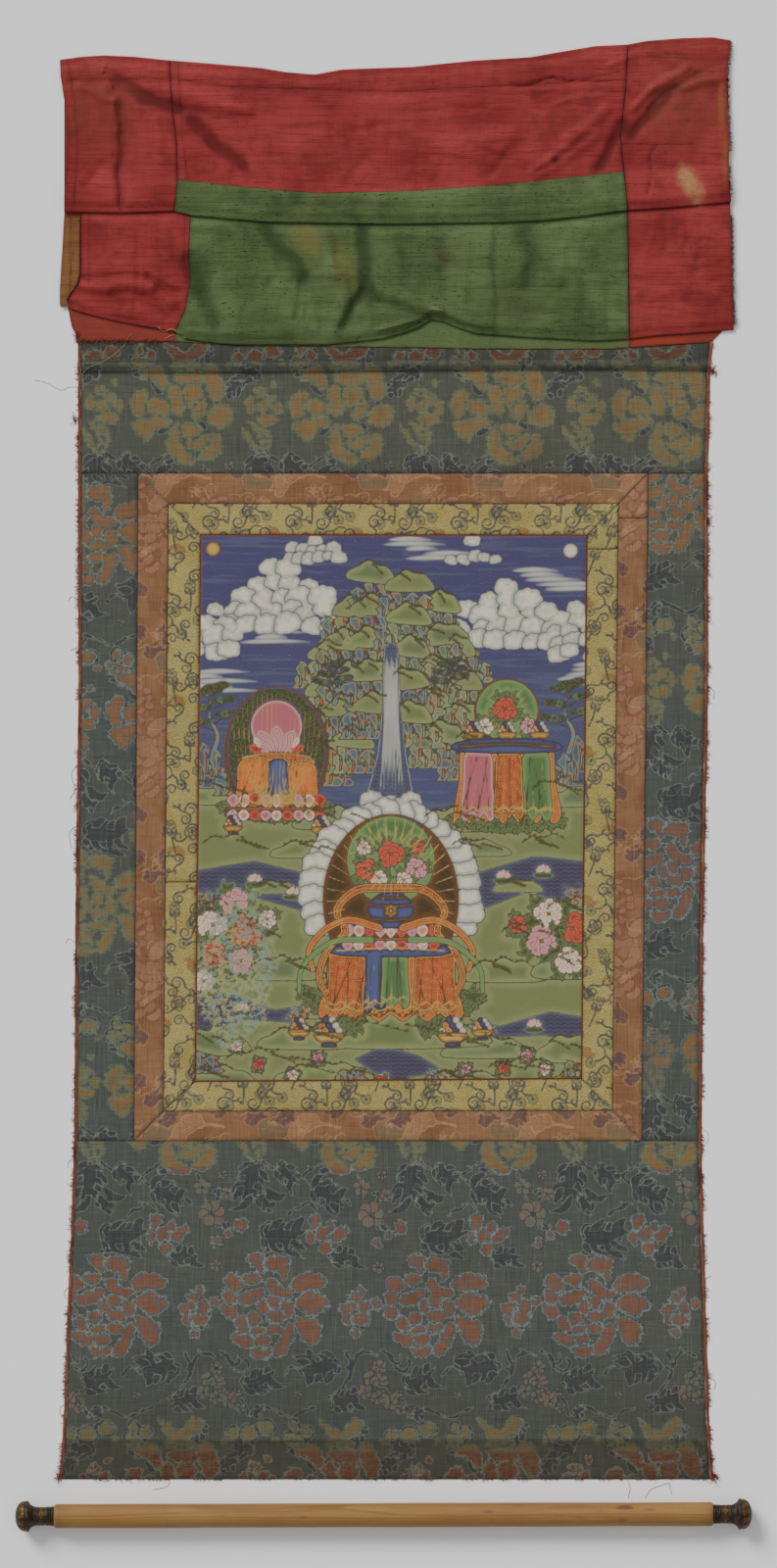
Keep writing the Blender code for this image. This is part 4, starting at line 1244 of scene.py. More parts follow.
def make_object(
    name: str,
    vertices: Array,
    faces: Sequence[Sequence[int]],
    material: bpy.types.Material,
    smooth: bool = True,
    crisp: float = 40.0,
) -> bpy.types.Object:
    """Adds a mesh object from millimetre vertices.

    Args:
        name: the object's name.
        vertices: one row each.
        faces: vertex numbers, outward faces going round to the left.
        material: its finish.
        smooth: whether it is shaded smooth.
        crisp: edges sharper than this, in degrees, stay crisp.
    Returns:
        The object, at the origin.
    """
    mesh = bpy.data.meshes.new(name)
    totals = np.array([len(face) for face in faces])
    mesh.vertices.add(len(vertices))
    mesh.vertices.foreach_set("co", (np.asarray(vertices) * MM).astype(np.float32).ravel())
    mesh.loops.add(int(totals.sum()))
    mesh.loops.foreach_set("vertex_index", np.concatenate([np.asarray(f) for f in faces]).astype(np.int32))
    mesh.polygons.add(len(faces))
    starts = np.concatenate([[0], np.cumsum(totals)[:-1]])
    mesh.polygons.foreach_set("loop_start", starts.astype(np.int32))
    mesh.update(calc_edges=True)
    mesh.validate()
    if smooth:
        mesh.shade_smooth()
        mesh.set_sharp_from_angle(angle=math.radians(crisp))
    mesh.materials.append(material)
    made = bpy.data.objects.new(name, mesh)
    bpy.context.collection.objects.link(made)
    return made


def carry(thing: bpy.types.Object, values: dict[str, Array]) -> None:
    """Keeps numbers at a mesh's points, for its finish to read."""
    for name, held in values.items():
        layer = thing.data.attributes.new(name, "FLOAT", "POINT")
        layer.data.foreach_set("value", np.ascontiguousarray(held, dtype=np.float32).ravel())


def dress(thing: bpy.types.Object, values: dict[str, Array]) -> None:
    """Carries a grid's numbers on both sides of the closed sheet made over it."""
    shape = np.shape(next(iter(values.values())))
    count = shape[0] * shape[1]
    below = np.arange(count) if len(thing.data.vertices) == 2 * count else rim_of(*shape)
    carry(thing, {name: np.concatenate([held.ravel(), held.ravel()[below]]) for name, held in values.items()})


def settle(thing: bpy.types.Object, slot: str, *nodes: str) -> bpy.types.Object:
    """Puts a piece on its body and in place of its solids, and reports it.

    Args:
        thing: the piece.
        slot: not used.
        nodes: the solids it stands for.
    Returns:
        The piece.
    """
    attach(thing, BODY)
    if nodes:
        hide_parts(*nodes)
    LOG.info("%-24s %7d points %7d faces", thing.name, len(thing.data.vertices), len(thing.data.polygons))
    return thing


def grid_faces(rows: int, columns: int) -> Array:
    """Faces of a grid seen from above, rows going up."""
    i, j = np.meshgrid(np.arange(rows - 1), np.arange(columns - 1), indexing="ij")
    corner = (i * columns + j).ravel()
    return np.stack([corner, corner + 1, corner + columns + 1, corner + columns], axis=-1)


def rim_of(rows: int, columns: int) -> Array:
    """A grid's rim, going round to the left."""
    grid = np.arange(rows * columns).reshape(rows, columns)
    return np.concatenate([grid[0], grid[1:, -1], grid[-1, -2::-1], grid[-2:0:-1, 0]])


def closed_sheet(
    name: str, upper: Array, lower: Array | float, material: bpy.types.Material
) -> bpy.types.Object:
    """A closed cloth over a grid of points.

    Args:
        name: the object's name.
        upper: rows by columns by 3.
        lower: the underside's grid, or one height where it is flat.
        material: its finish.
    Returns:
        The object; its first points are the upper grid's.
    """
    rows, columns = upper.shape[:2]
    count = rows * columns
    rim = rim_of(rows, columns)
    faces = list(grid_faces(rows, columns))
    top = upper.reshape(-1, 3)
    if isinstance(lower, float):
        under = top[rim].copy()
        under[:, 2] = lower
        below = count + np.arange(len(rim))
        faces.append(below[::-1])
    else:
        under = lower.reshape(-1, 3)
        below = count + rim
        faces += list(grid_faces(rows, columns)[:, ::-1] + count)
    after, below_after = np.roll(rim, -1), np.roll(below, -1)
    faces += list(np.stack([rim, below, below_after, after], axis=-1))
    return make_object(name, np.concatenate([top, under]), faces, material)


def coons(low: Array, high: Array, left: Array, right: Array) -> Array:
    """Plan points between four edges, drawn in a little so that neighbours keep their gap.

    Args:
        low, high: points along the lower and upper edges, left to right.
        left, right: points along the side edges, upward.
    Returns:
        Rows by columns by 2.
    """
    u = np.linspace(0, 1, len(low))[None, :, None]
    v = np.linspace(0, 1, len(left))[:, None, None]
    grid = (1 - v) * low[None] + v * high[None] + (1 - u) * left[:, None] + u * right[:, None]
    grid -= (1 - u) * (1 - v) * low[0] + u * (1 - v) * low[-1] + (1 - u) * v * high[0] + u * v * high[-1]
    moved = grid.copy()
    for rim, inner in (
        (np.s_[0], np.s_[1]),
        (np.s_[-1], np.s_[-2]),
        (np.s_[:, 0], np.s_[:, 1]),
        (np.s_[:, -1], np.s_[:, -2]),
    ):
        step = grid[inner] - grid[rim]
        moved[rim] += GAP / 2 * step / np.linalg.norm(step, axis=-1, keepdims=True)
    return moved


def straight(start: Point, end: Point, count: int) -> Array:
    """Evenly spaced points of a straight edge."""
    share = np.linspace(0, 1, count)[:, None]
    return (1 - share) * np.array(start) + share * np.array(end)


def between(left: Array, right: Array, columns: int) -> Array:
    """Plan points between two side edges, with straight edges below and above."""
    return coons(straight(left[0], right[0], columns), straight(left[-1], right[-1], columns), left, right)


def rim_distance(grid: Array) -> Array:
    """How far each point of a plan grid is from the grid's nearest edge."""
    left = np.linalg.norm(grid - grid[:, :1], axis=-1)
    right = np.linalg.norm(grid - grid[:, -1:], axis=-1)
    low = np.linalg.norm(grid - grid[:1], axis=-1)
    high = np.linalg.norm(grid - grid[-1:], axis=-1)
    return np.minimum(np.minimum(left, right), np.minimum(low, high))


# ---- the mount -------------------------------------------------------------------------------

# The solids' own measures, in millimetres
MOUNT_SIDES = [
    (489.0, -336.4, 362.3), (454.7, -336.1, 359.1), (342.4, -335.9, 356.5), (108.0, -335.6, 356.9),
    (-162.0, -339.1, 351.3), (-393.1, -340.2, 349.4), (-486.0, -343.4, 351.5), (-594.0, -348.3, 354.8),
    (-702.0, -352.0, 357.9), (-745.2, -354.8, 360.9), (-766.3, -357.5, 361.8),
]  # fmt: skip
SEWN_EDGE = [
    (-345, 488.6), (-224, 487.6), (-130, 483.2), (-2, 482.0), (120, 479.8), (250, 479.6), (363, 487.4)
]
ROD_RIDGE = (461.0, 9.0, 3.4)
HEM_CREASE = (-723.6, 7.0, 0.7)
EDGING_WIDTH = 2.4
EDGING_THICK = 1.6


def outline_x(column: int, y: Any) -> Any:
    """x of the mount's outline at a height: column 1 is its left side and 2 its right."""
    return at([(row[0], row[column]) for row in MOUNT_SIDES], y)


def ridge(x: Any, y: Any) -> Any:
    """Height of the ridge over the sewn-in stick."""
    middle, half_width, height = ROD_RIDGE
    return height * ease(1.0 - abs(y - middle - 1.5 * np.sin(np.asarray(x) / 130.0)) / half_width)


@dataclass(frozen=True)
class Weave:
    """How one silk lies on the mount: its drawn repeat and where the repeat's origin is."""

    chart: Chart
    origin: Point
    wefts: tuple[tuple[float, Weft], ...] = ()

    def read(self, x: Array, y: Array) -> dict[str, Array]:
        """The silk's drawn distances at places, with the cloth's own slight drift."""
        drift_x = 1.6 * wander(x, y, 60.0, 3.0) + 0.35 * wander(x, y, 9.0, 4.0)
        drift_y = 1.6 * wander(x, y, 70.0, 5.0) + 0.35 * wander(x, y, 9.0, 6.0)
        found = self.chart.read(x - self.origin[0] + drift_x, y - self.origin[1] + drift_y)
        if self.wefts:
            table = [(low, weft.value) for low, weft in self.wefts]
            found["weft"] = at(table, y + 1.2 * wander(x, y, 25.0, 8.0))
        return found


@dataclass
class Panel:
    """One flat piece of mounted silk, rounded down along its seams."""

    name: str
    grid: Array
    weave: Weave
    finish: bpy.types.Material
    slot: str
    flat: tuple[float, float]
    thick: float = 1.5
    lifted: bool = False
    folds: tuple[tuple[float, ...], ...] = ()

    def build(self) -> bpy.types.Object:
        """Builds the piece and puts it in place of its solid."""
        x, y = self.grid[..., 0], self.grid[..., 1]
        rim = rim_distance(self.grid)
        base = ridge(x, y) if self.lifted else np.zeros_like(x)
        inner = ease(rim / 6.0)
        swell = 0.25 * (1.0 + np.sin(x / 61.0 + 0.8) * np.sin(y / 47.0 + 0.3)) * inner
        pucker = 0.32 * wander(x, y, 7.0, 11.0) * ease(1.0 - rim / 14.0) * ease(rim / 2.5)
        waves = (0.22 * wander(x, y, 34.0, 12.0) + 0.1 * wander(x, y, 11.0, 13.0)) * inner
        fall = 0.7 * ease(1.0 - rim / 2.4)
        folds = crease_height(self.folds, x, y)
        z = np.maximum(base + self.thick + swell + pucker + waves + folds * inner - fall, base + 0.5)
        upper = np.stack([x, y, z], axis=-1)
        thing = closed_sheet(self.name + "_cloth", upper, 0.0, self.finish)
        dress(thing, {**self.weave.read(x, y), "rim": rim, "crease": self._crease_shade(x, y)})
        settle(thing, self.slot, self.name)
        self.flat[0] * MM
        self.flat[1] * MM
        return thing

    def _crease_shade(self, x: Array, y: Array) -> Array:
        """Painted shade: the dark lines along the stick's ridge and above the hem."""
        middle = ROD_RIDGE[0] + 1.5 * np.sin(x / 130.0)
        shade_lines = np.zeros_like(x)
        if self.lifted:
            above = ease(1.0 - np.abs(y - middle - 6.2) / 2.0) * 0.7
            below = ease(1.0 - np.abs(y - middle + 6.4) / 2.6)
            shade_lines = np.maximum(above, below)
            shade_lines = np.maximum(shade_lines, 0.35 * ease((y - middle - 6.0) / 3.0) * ease((middle + 12.0 - y) / 4.0))
        elif self.folds:
            shade_lines = 0.5 * ease(1.0 - np.abs(y - HEM_CREASE[0] - 0.8 * np.sin(x / 90.0)) / 2.2)
        return shade_lines * (0.75 + 0.25 * wander(x, y, 30.0, 17.0))


OUTER_FRAME = [(-270.5, 342.4), (291.5, 342.4), (284.6, -393.1), (-275.2, -393.1)]
INNER_FRAME = [(-237.1, 308.9), (258.7, 308.9), (252.2, -359.8), (-242.7, -360.7)]
PAINTING = [(-202.0, 274.9), (224.6, 274.3), (218.7, -325.1), (-207.9, -328.3)]


@dataclass
class Mount:
    """The flat silks round the painting: two borders and four panels."""

    top_seam: float = 342.4
    lower_seam: float = -393.1
    hem: float = -766.3
    top_start: float = -333.85
    top_width: float = 693.6
    inner_left_join: float = -108.0
    inner_right_join: float = 259.0
    outer_right_join: float = 293.0
    spacing: float = 2.0
    fine: float = 1.2

    def build(self) -> list[bpy.types.Object]:
        """Builds every silk of the mount."""
        slate, rust, gold = SlateSilk().chart(), RustSilk().chart(), GoldSilk().chart()
        made = self._panels(slate, SlateFinish().material())
        look = RustFinish().material()
        made += self._frame(
            "outer_border", OUTER_FRAME, INNER_FRAME, rust, look, self.spacing,
            (None, self.outer_right_join)
        )
        look = GoldFinish().material()
        joins = (self.inner_left_join, self.inner_right_join)
        made += self._frame("inner_border", INNER_FRAME, PAINTING, gold, look, self.fine, joins)
        return made

    def _side(self, column: int, low: float, high: float, count: int) -> Array:
        """Points up the mount's side, inside its edging."""
        way = 1.0 if column == 1 else -1.0
        y = np.linspace(low, high, count)
        return np.stack([outline_x(column, y) + way * (EDGING_WIDTH + GAP / 2), y], axis=-1)

    def _panels(self, chart: Chart, finish: bpy.types.Material) -> list[bpy.types.Object]:
        """The four blue-grey panels."""
        step = self.spacing
        ochre, amber, orange, red = Weft.OCHRE, Weft.AMBER, Weft.ORANGE, Weft.RED
        made = []

        across, up = round(694 / step), round(144 / step)
        edge = np.linspace(0, 1, across + 1)
        top_x = self.top_start + edge * self.top_width
        top_y = at(SEWN_EDGE, top_x)
        high = np.stack([top_x, top_y], axis=-1)
        left = self._side(1, self.top_seam, top_y[0], up + 1)
        right = self._side(2, self.top_seam, top_y[-1], up + 1)
        high[0], high[-1] = left[-1], right[-1]
        low = straight(left[0], right[0], across + 1)
        weave_top = Weave(chart, (-289.6, 206.3), ((300, ochre), (466.5, ochre), (468, red), (500, red)))
        grid = coons(low, high, left, right)
        panel = Panel("brocade_top", grid, weave_top, finish, "brocade", (694, 144), lifted=True)
        made.append(panel.build())

        rows = round((self.top_seam - self.lower_seam) / step)
        wefts_left = ((-400, ochre), (-60, ochre), (-30, amber), (300, amber))
        wefts_right = ((-400, ochre), (-160, orange), (-40, orange), (0, ochre), (200, ochre), (240, amber))
        for label, column, inner_low, inner_high, origin, wefts in (
            ("left", 1, OUTER_FRAME[3], OUTER_FRAME[0], (-314.8, 275.4), wefts_left),
            ("right", 2, OUTER_FRAME[2], OUTER_FRAME[1], (320.0, 311.0), wefts_right),
        ):
            outer = self._side(column, self.lower_seam, self.top_seam, rows + 1)
            inner = straight(inner_low, inner_high, rows + 1)
            left, right = (outer, inner) if column == 1 else (inner, outer)
            columns = round(float(np.mean(right[:, 0] - left[:, 0])) / step) + 1
            grid = between(left, right, columns)
            cloth = Weave(chart, origin, wefts)
            made.append(Panel("brocade_" + label, grid, cloth, finish, "brocade", (66, 735)).build())

        rows, columns = round((self.lower_seam - self.hem) / step) + 1, round(700 / step) + 1
        left = self._side(1, self.hem, self.lower_seam, rows)
        right = self._side(2, self.hem, self.lower_seam, rows)
        grid = between(left, right, columns)
        wefts = (
            (-770, red), (-737, red), (-735, ochre), (-686, ochre), (-680, orange), (-425, orange),
            (-421, ochre), (-393, ochre),
        )  # fmt: skip
        crease = (-360.0, HEM_CREASE[0], 365.0, HEM_CREASE[0], HEM_CREASE[1], HEM_CREASE[2])
        cloth = Weave(chart, (-119.3, -574.6), wefts)
        panel = Panel("brocade_bottom", grid, cloth, finish, "brocade", (703, 373), folds=(crease,))
        made.append(panel.build())
        return made

    def _frame(
        self,
        prefix: str,
        outer: Sequence[Point],
        inner: Sequence[Point],
        chart: Chart,
        finish: bpy.types.Material,
        step: float,
        joins: tuple[float | None, float | None],
    ) -> list[bpy.types.Object]:
        """Mitred strips round a frame, a side in two lengths where it was pieced.

        Args:
            prefix: what its pieces' names start with.
            outer, inner: its corners, clockwise from the top left.
            chart: the silk's drawn repeat.
            finish: the silk's material.
            step: the grid's spacing.
            joins: heights at which the left and right sides were pieced, or None.
        Returns:
            The strips.
        """
        slot = prefix
        runs: list[tuple[str, Point, Point, Point, Point]] = [
            ("_top", inner[0], inner[1], outer[0], outer[1]),
            ("_bottom", outer[3], outer[2], inner[3], inner[2]),
        ]
        sides = (("_left", 3, 0, joins[0], False), ("_right", 2, 1, joins[1], True))
        for label, base, peak, join, is_right in sides:
            near, far = (inner, outer) if is_right else (outer, inner)
            ends = (near[base], near[peak], far[base], far[peak])
            if join is None:
                runs.append((label, *ends))
                continue
            cuts = [self._cut(ends[0], ends[1], join), self._cut(ends[2], ends[3], join)]
            runs.append((label + "_lower", ends[0], cuts[0], ends[2], cuts[1]))
            runs.append((label + "_upper", cuts[0], ends[1], cuts[1], ends[3]))
        made = []
        for number, (label, a, b, c, d) in enumerate(runs):
            if label in ("_top", "_bottom"):
                columns, rows = round(math.dist(a, b) / step) + 1, round(abs(c[1] - a[1]) / step) + 1
                grid = between(straight(a, c, rows), straight(b, d, rows), columns)
                flat = ((math.dist(a, b) + math.dist(c, d)) / 2, abs(c[1] - a[1]))
            else:
                columns, rows = round(abs(c[0] - a[0]) / step) + 1, round(math.dist(a, b) / step) + 1
                grid = between(straight(a, b, rows), straight(c, d, rows), columns)
                flat = (abs(c[0] - a[0]), (math.dist(a, b) + math.dist(c, d)) / 2)
            cloth = Weave(chart, (17.0 * number + 5.0, 23.0 * number + 11.0))
            made.append(Panel(prefix + label, grid, cloth, finish, slot, flat).build())
        return made

    def _cut(self, start: Point, end: Point, y: float) -> Point:
        """Where a straight edge passes a height."""
        share = (y - start[1]) / (end[1] - start[1])
        return start[0] + share * (end[0] - start[0]), y


# ---- the painted cloth -----------------------------------------------------------------------


@dataclass
class Landscape:
    """A generic painted landscape: peaks, clouds, a lake and flower offerings, of no one place.

    Its own origin is the middle of the painting, in millimetres.
    """

    middle: Point = (8.0, -27.0)
    half_width: float = 219.0
    half_height: float = 305.0
    step: float = 1.1
    seed: int = 7
    tints: list[tuple[float, float, float, float]] = field(default_factory=list)

    def chart(self) -> Chart:
        """Draws the whole picture, from the sky forward."""
        kinds = (
            "mist", "cloud_a", "cloud_b", "cloud_c", "peak_a", "peak_b", "water", "hill_a", "hill_b",
            "hill_c", "rock_a", "rock_b", "glow", "halo", "pad", "leaf_a", "leaf_b", "petal_a",
            "petal_b", "robe_a", "robe_b", "gold", "blue", "cream", "ink", "gilt",
        )  # fmt: skip
        size = (2 * self.half_width, 2 * self.half_height)
        made = Chart(kinds, -self.half_width, -self.half_height, *size, self.step, False, ("ink", "gilt"))
        self.dice = np.random.default_rng(self.seed)
        pen = Pen(made)
        self._sky(pen)
        self._massif(pen)
        self._land(pen)
        self._trees(pen)
        self._round_leaf(pen.at(-126, 62, 0, 0.96))
        self._low_table(pen.at(128, 48))
        self._foreground(pen)
        self._centre(pen.at(0, -158, 0, 1.1))
        self._garden(pen)
        return made

    def _tinted(self, pen: Pen, x: float, y: float, size: float, value: float) -> None:
        """Sets the flower colour round a point of a motif."""
        (px, py), *_ = pen.place([(x, y)])
        self.tints.append((px, py, size * pen.scale, value))

    def tint(self, x: Array, y: Array) -> Array:
        """Which of the flower colours holds at a place, from 0 to 1: the nearest flower's."""
        best, found = np.full(x.shape, 1e9), np.zeros(x.shape)
        for px, py, size, value in self.tints:
            away = np.hypot(x - px, y - py) - size
            found = np.where(away < best, value, found)
            best = np.minimum(best, away)
        return found

    # -- parts that recur

    def _puff(self, pen: Pen, kind: str, size: float) -> None:
        """One scalloped lump of cloud."""
        for k in range(5):
            angle = math.radians(-15 + 52 * k)
            lobe = size * self.dice.uniform(0.42, 0.56)
            pen.disc(kind, 0.62 * size * math.cos(angle), 0.5 * size * math.sin(angle), lobe)
        pen.disc(kind, 0, -0.1 * size, 0.8 * size, 0.58 * size)

    def _cloud(self, pen: Pen, width: float, height: float, puff: float) -> None:
        """A pile of scalloped puffs, widest at its foot.

        Args:
            pen: its middle.
            width, height: of the pile.
            puff: a lump's radius.
        """
        rows = max(2, round(height / (puff * 0.85)))
        for row in range(rows):
            share = row / (rows - 1)
            reach = width / 2 * (0.25 + 0.75 * math.sin(math.pi / 2 * min(1.0, 1.2 * share)))
            count = max(1, round(2 * reach / (puff * 1.35)))
            for k in range(count):
                x = -reach + 2 * reach * (k + 0.5) / count + self.dice.uniform(-0.35, 0.35) * puff
                y = height * (0.5 - share) + self.dice.uniform(-0.3, 0.3) * puff
                kind = "cloud_" + "abc"[(k + 2 * row) % 3]
                self._puff(
                    pen.at(x, y, self.dice.uniform(-20, 20)), kind, puff * self.dice.uniform(0.7, 1.05)
                )

    def _growth(self, pen: Pen, path: Sequence[Point], tall: float = 3.6) -> None:
        """A dark line of low growth with bristles standing on it."""
        pen.line("ink", path, 0.75, 0.6)
        way = rounded(path, steps=4)
        for x, y in way[1:-1:2]:
            for lean in (-1.7, 0.1, 1.7):
                tip = (x + lean + self.dice.uniform(-0.4, 0.4), y + tall * self.dice.uniform(0.6, 1.0))
                pen.line("ink", [(x, y), tip], 0.75, 0.4)

    def _hill(self, pen: Pen, kind: str, width: float, height: float, twigs: int = 2) -> None:
        """A lumpy hill with growth along its ridge and down its slopes."""
        lumps = max(5, round(width / 12))
        ridge = []
        for k in range(lumps + 1):
            share = k / lumps
            rise = math.sin(math.pi * (0.06 + 0.88 * share)) ** 0.7
            ridge.append((width * (share - 0.5), height * rise * (1.0 + 0.1 * (-1) ** k)))
        pen.area(kind, [(-width / 2, -2.0), *ridge, (width / 2, -2.0), (0.0, -height * 0.18)])
        self._growth(pen, ridge[1 : 1 + max(3, round(0.7 * lumps))], 3.2)
        for k in range(twigs):
            start = self.dice.uniform(-0.3, 0.1) + 0.16 * k
            top = height * (0.78 - 0.16 * k)
            run = width * self.dice.uniform(0.2, 0.34)
            path = [
                (width * start + run * t, top - 0.55 * top * t**1.4 + self.dice.uniform(-0.8, 0.8))
                for t in (0, 0.35, 0.7, 1.0)
            ]
            self._growth(pen, path, 3.0)

    def _rock(self, pen: Pen, width: float, height: float) -> None:
        """A cleft crag of tall angular faces."""
        count = max(2, round(width / 13))
        order = sorted(range(count), key=lambda k: -abs(k - (count - 1) / 2))
        for k in order:
            x = width * ((k + 0.5) / count - 0.5)
            tall = height * self.dice.uniform(0.65, 1.0) * (1.0 - 0.45 * abs(2 * (k + 0.5) / count - 1.0))
            half = width / count * 0.8
            sides = []
            for hand in (-1, 1):
                side = []
                for step, share in enumerate((0.0, 0.16, 0.34, 0.5, 0.68, 0.86, 1.0)):
                    jut = half * 0.22 * (-1) ** (step + (hand > 0))
                    reach = half * (1.0 - 0.6 * share) + jut + self.dice.uniform(-0.1, 0.1) * half
                    side.append((x + hand * reach, tall * share * (1.0 - 0.07 * hand)))
                sides.append(side)
            pen.area("rock_" + "ab"[k % 2], sides[0] + sides[1][::-1], False)
            other = "rock_" + "ab"[(k + 1) % 2]
            for hand, low, high in ((-1, 0.08, 0.5), (1, 0.3, 0.8)):
                cleft = x + hand * 0.3 * half
                waist = 0.5 * (low + high) * tall
                face = [(cleft - 1.6, low * tall), (cleft - 0.5, waist), (cleft - 2.2, high * tall)]
                face += [(cleft + 0.8, 0.9 * high * tall), (cleft + 2.4, waist), (cleft + 1.0, low * tall)]
                pen.area(other, face, False)

    def _flower(self, pen: Pen, radius: float, tint: float, leaves: int = 4) -> None:
        """A garden peony with its leaves."""
        (x, y), *_ = pen.place([(0, 0)])
        self.tints.append((x, y, radius * pen.scale, tint))
        for k in range(leaves):
            turn = 35 + 360 * k / leaves + self.dice.uniform(-20, 20)
            lobed_leaf(pen.at(0, 0, turn, 1.0), ("leaf_a", "leaf_b"), radius * 1.75, 2)
        two = ("petal_a", "petal_b")
        ring(pen, two, 8, radius, radius * 0.72, self.dice.uniform(0, 40))
        ring(pen, two[::-1], 6, radius * 0.66, radius * 0.55, self.dice.uniform(0, 40))
        ring(pen, two, 4, radius * 0.36, radius * 0.34, 10.0, 2)
        pen.disc("gold", 0, 0, radius * 0.12)

    def _tree(self, pen: Pen, height: float, spread: float) -> None:
        """A bent tree with flat pads of dark leaves."""
        pen.line(
            "rock_a", [(0, 0), (0.1 * spread, 0.3 * height), (-0.08 * spread, 0.6 * height), (0, height)],
            2.8, 1.3
        )
        for k in range(6):
            up = height * (0.45 + 0.11 * k)
            side = (1 if k % 2 else -1) * spread * (0.5 - 0.06 * k)
            pen.line("ink", [(0, up - 6), (0.5 * side, up), (side, up + 3)], 0.9, 0.6)
            for part in (0.4, 0.75, 1.05):
                pen.disc(
                    "pad" if part != 0.75 else "leaf_b", side * part, up + 3 + 3 * part, spread * 0.16,
                    spread * 0.09
                )
        pen.disc("pad", 0, height + 2, spread * 0.24, spread * 0.12)

    def _pedestal(self, pen: Pen, width: float, petals: int) -> None:
        """A lotus seat: a row of broad petals turned down under a row turned up."""
        half = width / petals
        for way, size in ((180.0, 0.9), (0.0, 1.0)):
            for k in [*range(0, petals, 2), *range(1, petals, 2)]:
                x = width * ((k + 0.5) / petals - 0.5)
                self._tinted(pen, x, 6 if way == 0 else -6, half * 0.5, (0.5, 1.0, 0.0)[k % 3])
                petal(
                    pen.at(x, 0.0, way + 8 * (x / width), size), ("petal_a", "petal_b")[k % 2],
                    half * 1.35, half * 1.3, 1, 0
                )
        pen.line("gold", [(-width / 2, 0), (0, -1.5), (width / 2, 0)], 1.3)

    def _drape(self, pen: Pen, kind: str, width: float, height: float, folds: int) -> None:
        """A cloth hanging over something, with folds that spread down to a wavy hem."""
        points = [(-0.36 * width, height), (0.36 * width, height), (0.44 * width, 0.5 * height)]
        for k in range(folds + 1):
            share = 1.0 - k / folds
            points.append((width * (share - 0.5), 0.06 * height * (-1) ** k))
        points.append((-0.44 * width, 0.5 * height))
        pen.area(kind, points)
        for k in range(1, folds):
            share = k / folds - 0.5
            path = [
                (0.62 * width * share, 0.92 * height), (0.8 * width * share, 0.5 * height),
                (width * share, 0.08 * height)
            ]
            if k % 2:
                pen.line("ink", path, 0.4, 0.8)
            else:
                pen.line("gilt", path, 0.1, 0.5)
        hem = [
            (0.9 * width * (k / folds - 0.5), 0.13 * height + 0.03 * height * (-1) ** k)
            for k in range(folds + 1)
        ]
        pen.line("gilt", hem, 0.8)

    # -- places

    def _sky(self, pen: Pen) -> None:
        """Bands of streaked mist, a sun and a moon, and banks of cloud."""
        for x, y in ((-150, 204), (160, 262), (30, 296), (-190, 150), (196, 158)):
            for k in range(5):
                across = self.dice.uniform(34, 90)
                left = x + self.dice.uniform(-40, 10)
                y_k = y - 5.2 * k
                pen.blade(
                    "mist", [(left, y_k), (left + across / 2, y_k + 1.4), (left + across, y_k + 0.4)], 2.3
                )
        pen.disc("gold", -196, 286, 8)
        pen.disc("cream", 198, 284, 8)
        self._cloud(pen.at(-122, 232), 128, 62, 15)
        self._cloud(pen.at(-196, 196), 60, 44, 13)
        self._cloud(pen.at(128, 214), 120, 66, 15)
        self._cloud(pen.at(200, 196), 56, 50, 13)
        self._cloud(pen.at(-84, 286), 70, 20, 9)
        self._cloud(pen.at(92, 284), 64, 18, 9)

    def _massif(self, pen: Pen) -> None:
        """The middle peaks: blue crags with green heads, and a fall of water between them."""
        towers = ((-78, 190, 46), (80, 196, 44), (-48, 240, 48), (50, 246, 48), (-16, 278, 50), (20, 268, 50))
        for number, (x, top, width) in enumerate(towers):
            for level in range(5):
                y = top - 26 - 36 * level
                if y < 30:
                    break
                self._rock(pen.at(x + self.dice.uniform(-8, 8), y - 32), width * 1.15, 52)
                kind = "hill_" + "abc"[(number + level) % 3]
                spot = pen.at(x + self.dice.uniform(-10, 10), y, self.dice.uniform(-9, 9))
                self._hill(spot, kind, width * self.dice.uniform(0.8, 1.1), 20, 1)
        fall = [(-7, 176), (8, 176), (10, 120), (16, 60), (22, 0), (-26, 0), (-14, 60), (-9, 120)]
        pen.area("water", fall)
        for k in range(7):
            x = -5 + 1.8 * k
            pen.blade("mist", [(x, 172 - 9 * (k % 3)), (1.2 * x, 100), (2.4 * x, 14 + 7 * (k % 2))], 1.3)
        for x, y, size in ((-22, 8, 12), (0, 2, 12), (22, 8, 11), (-10, -4, 9), (12, -6, 9)):
            self._puff(pen.at(x, y), "cloud_" + "abc"[int(abs(x)) % 3], size)

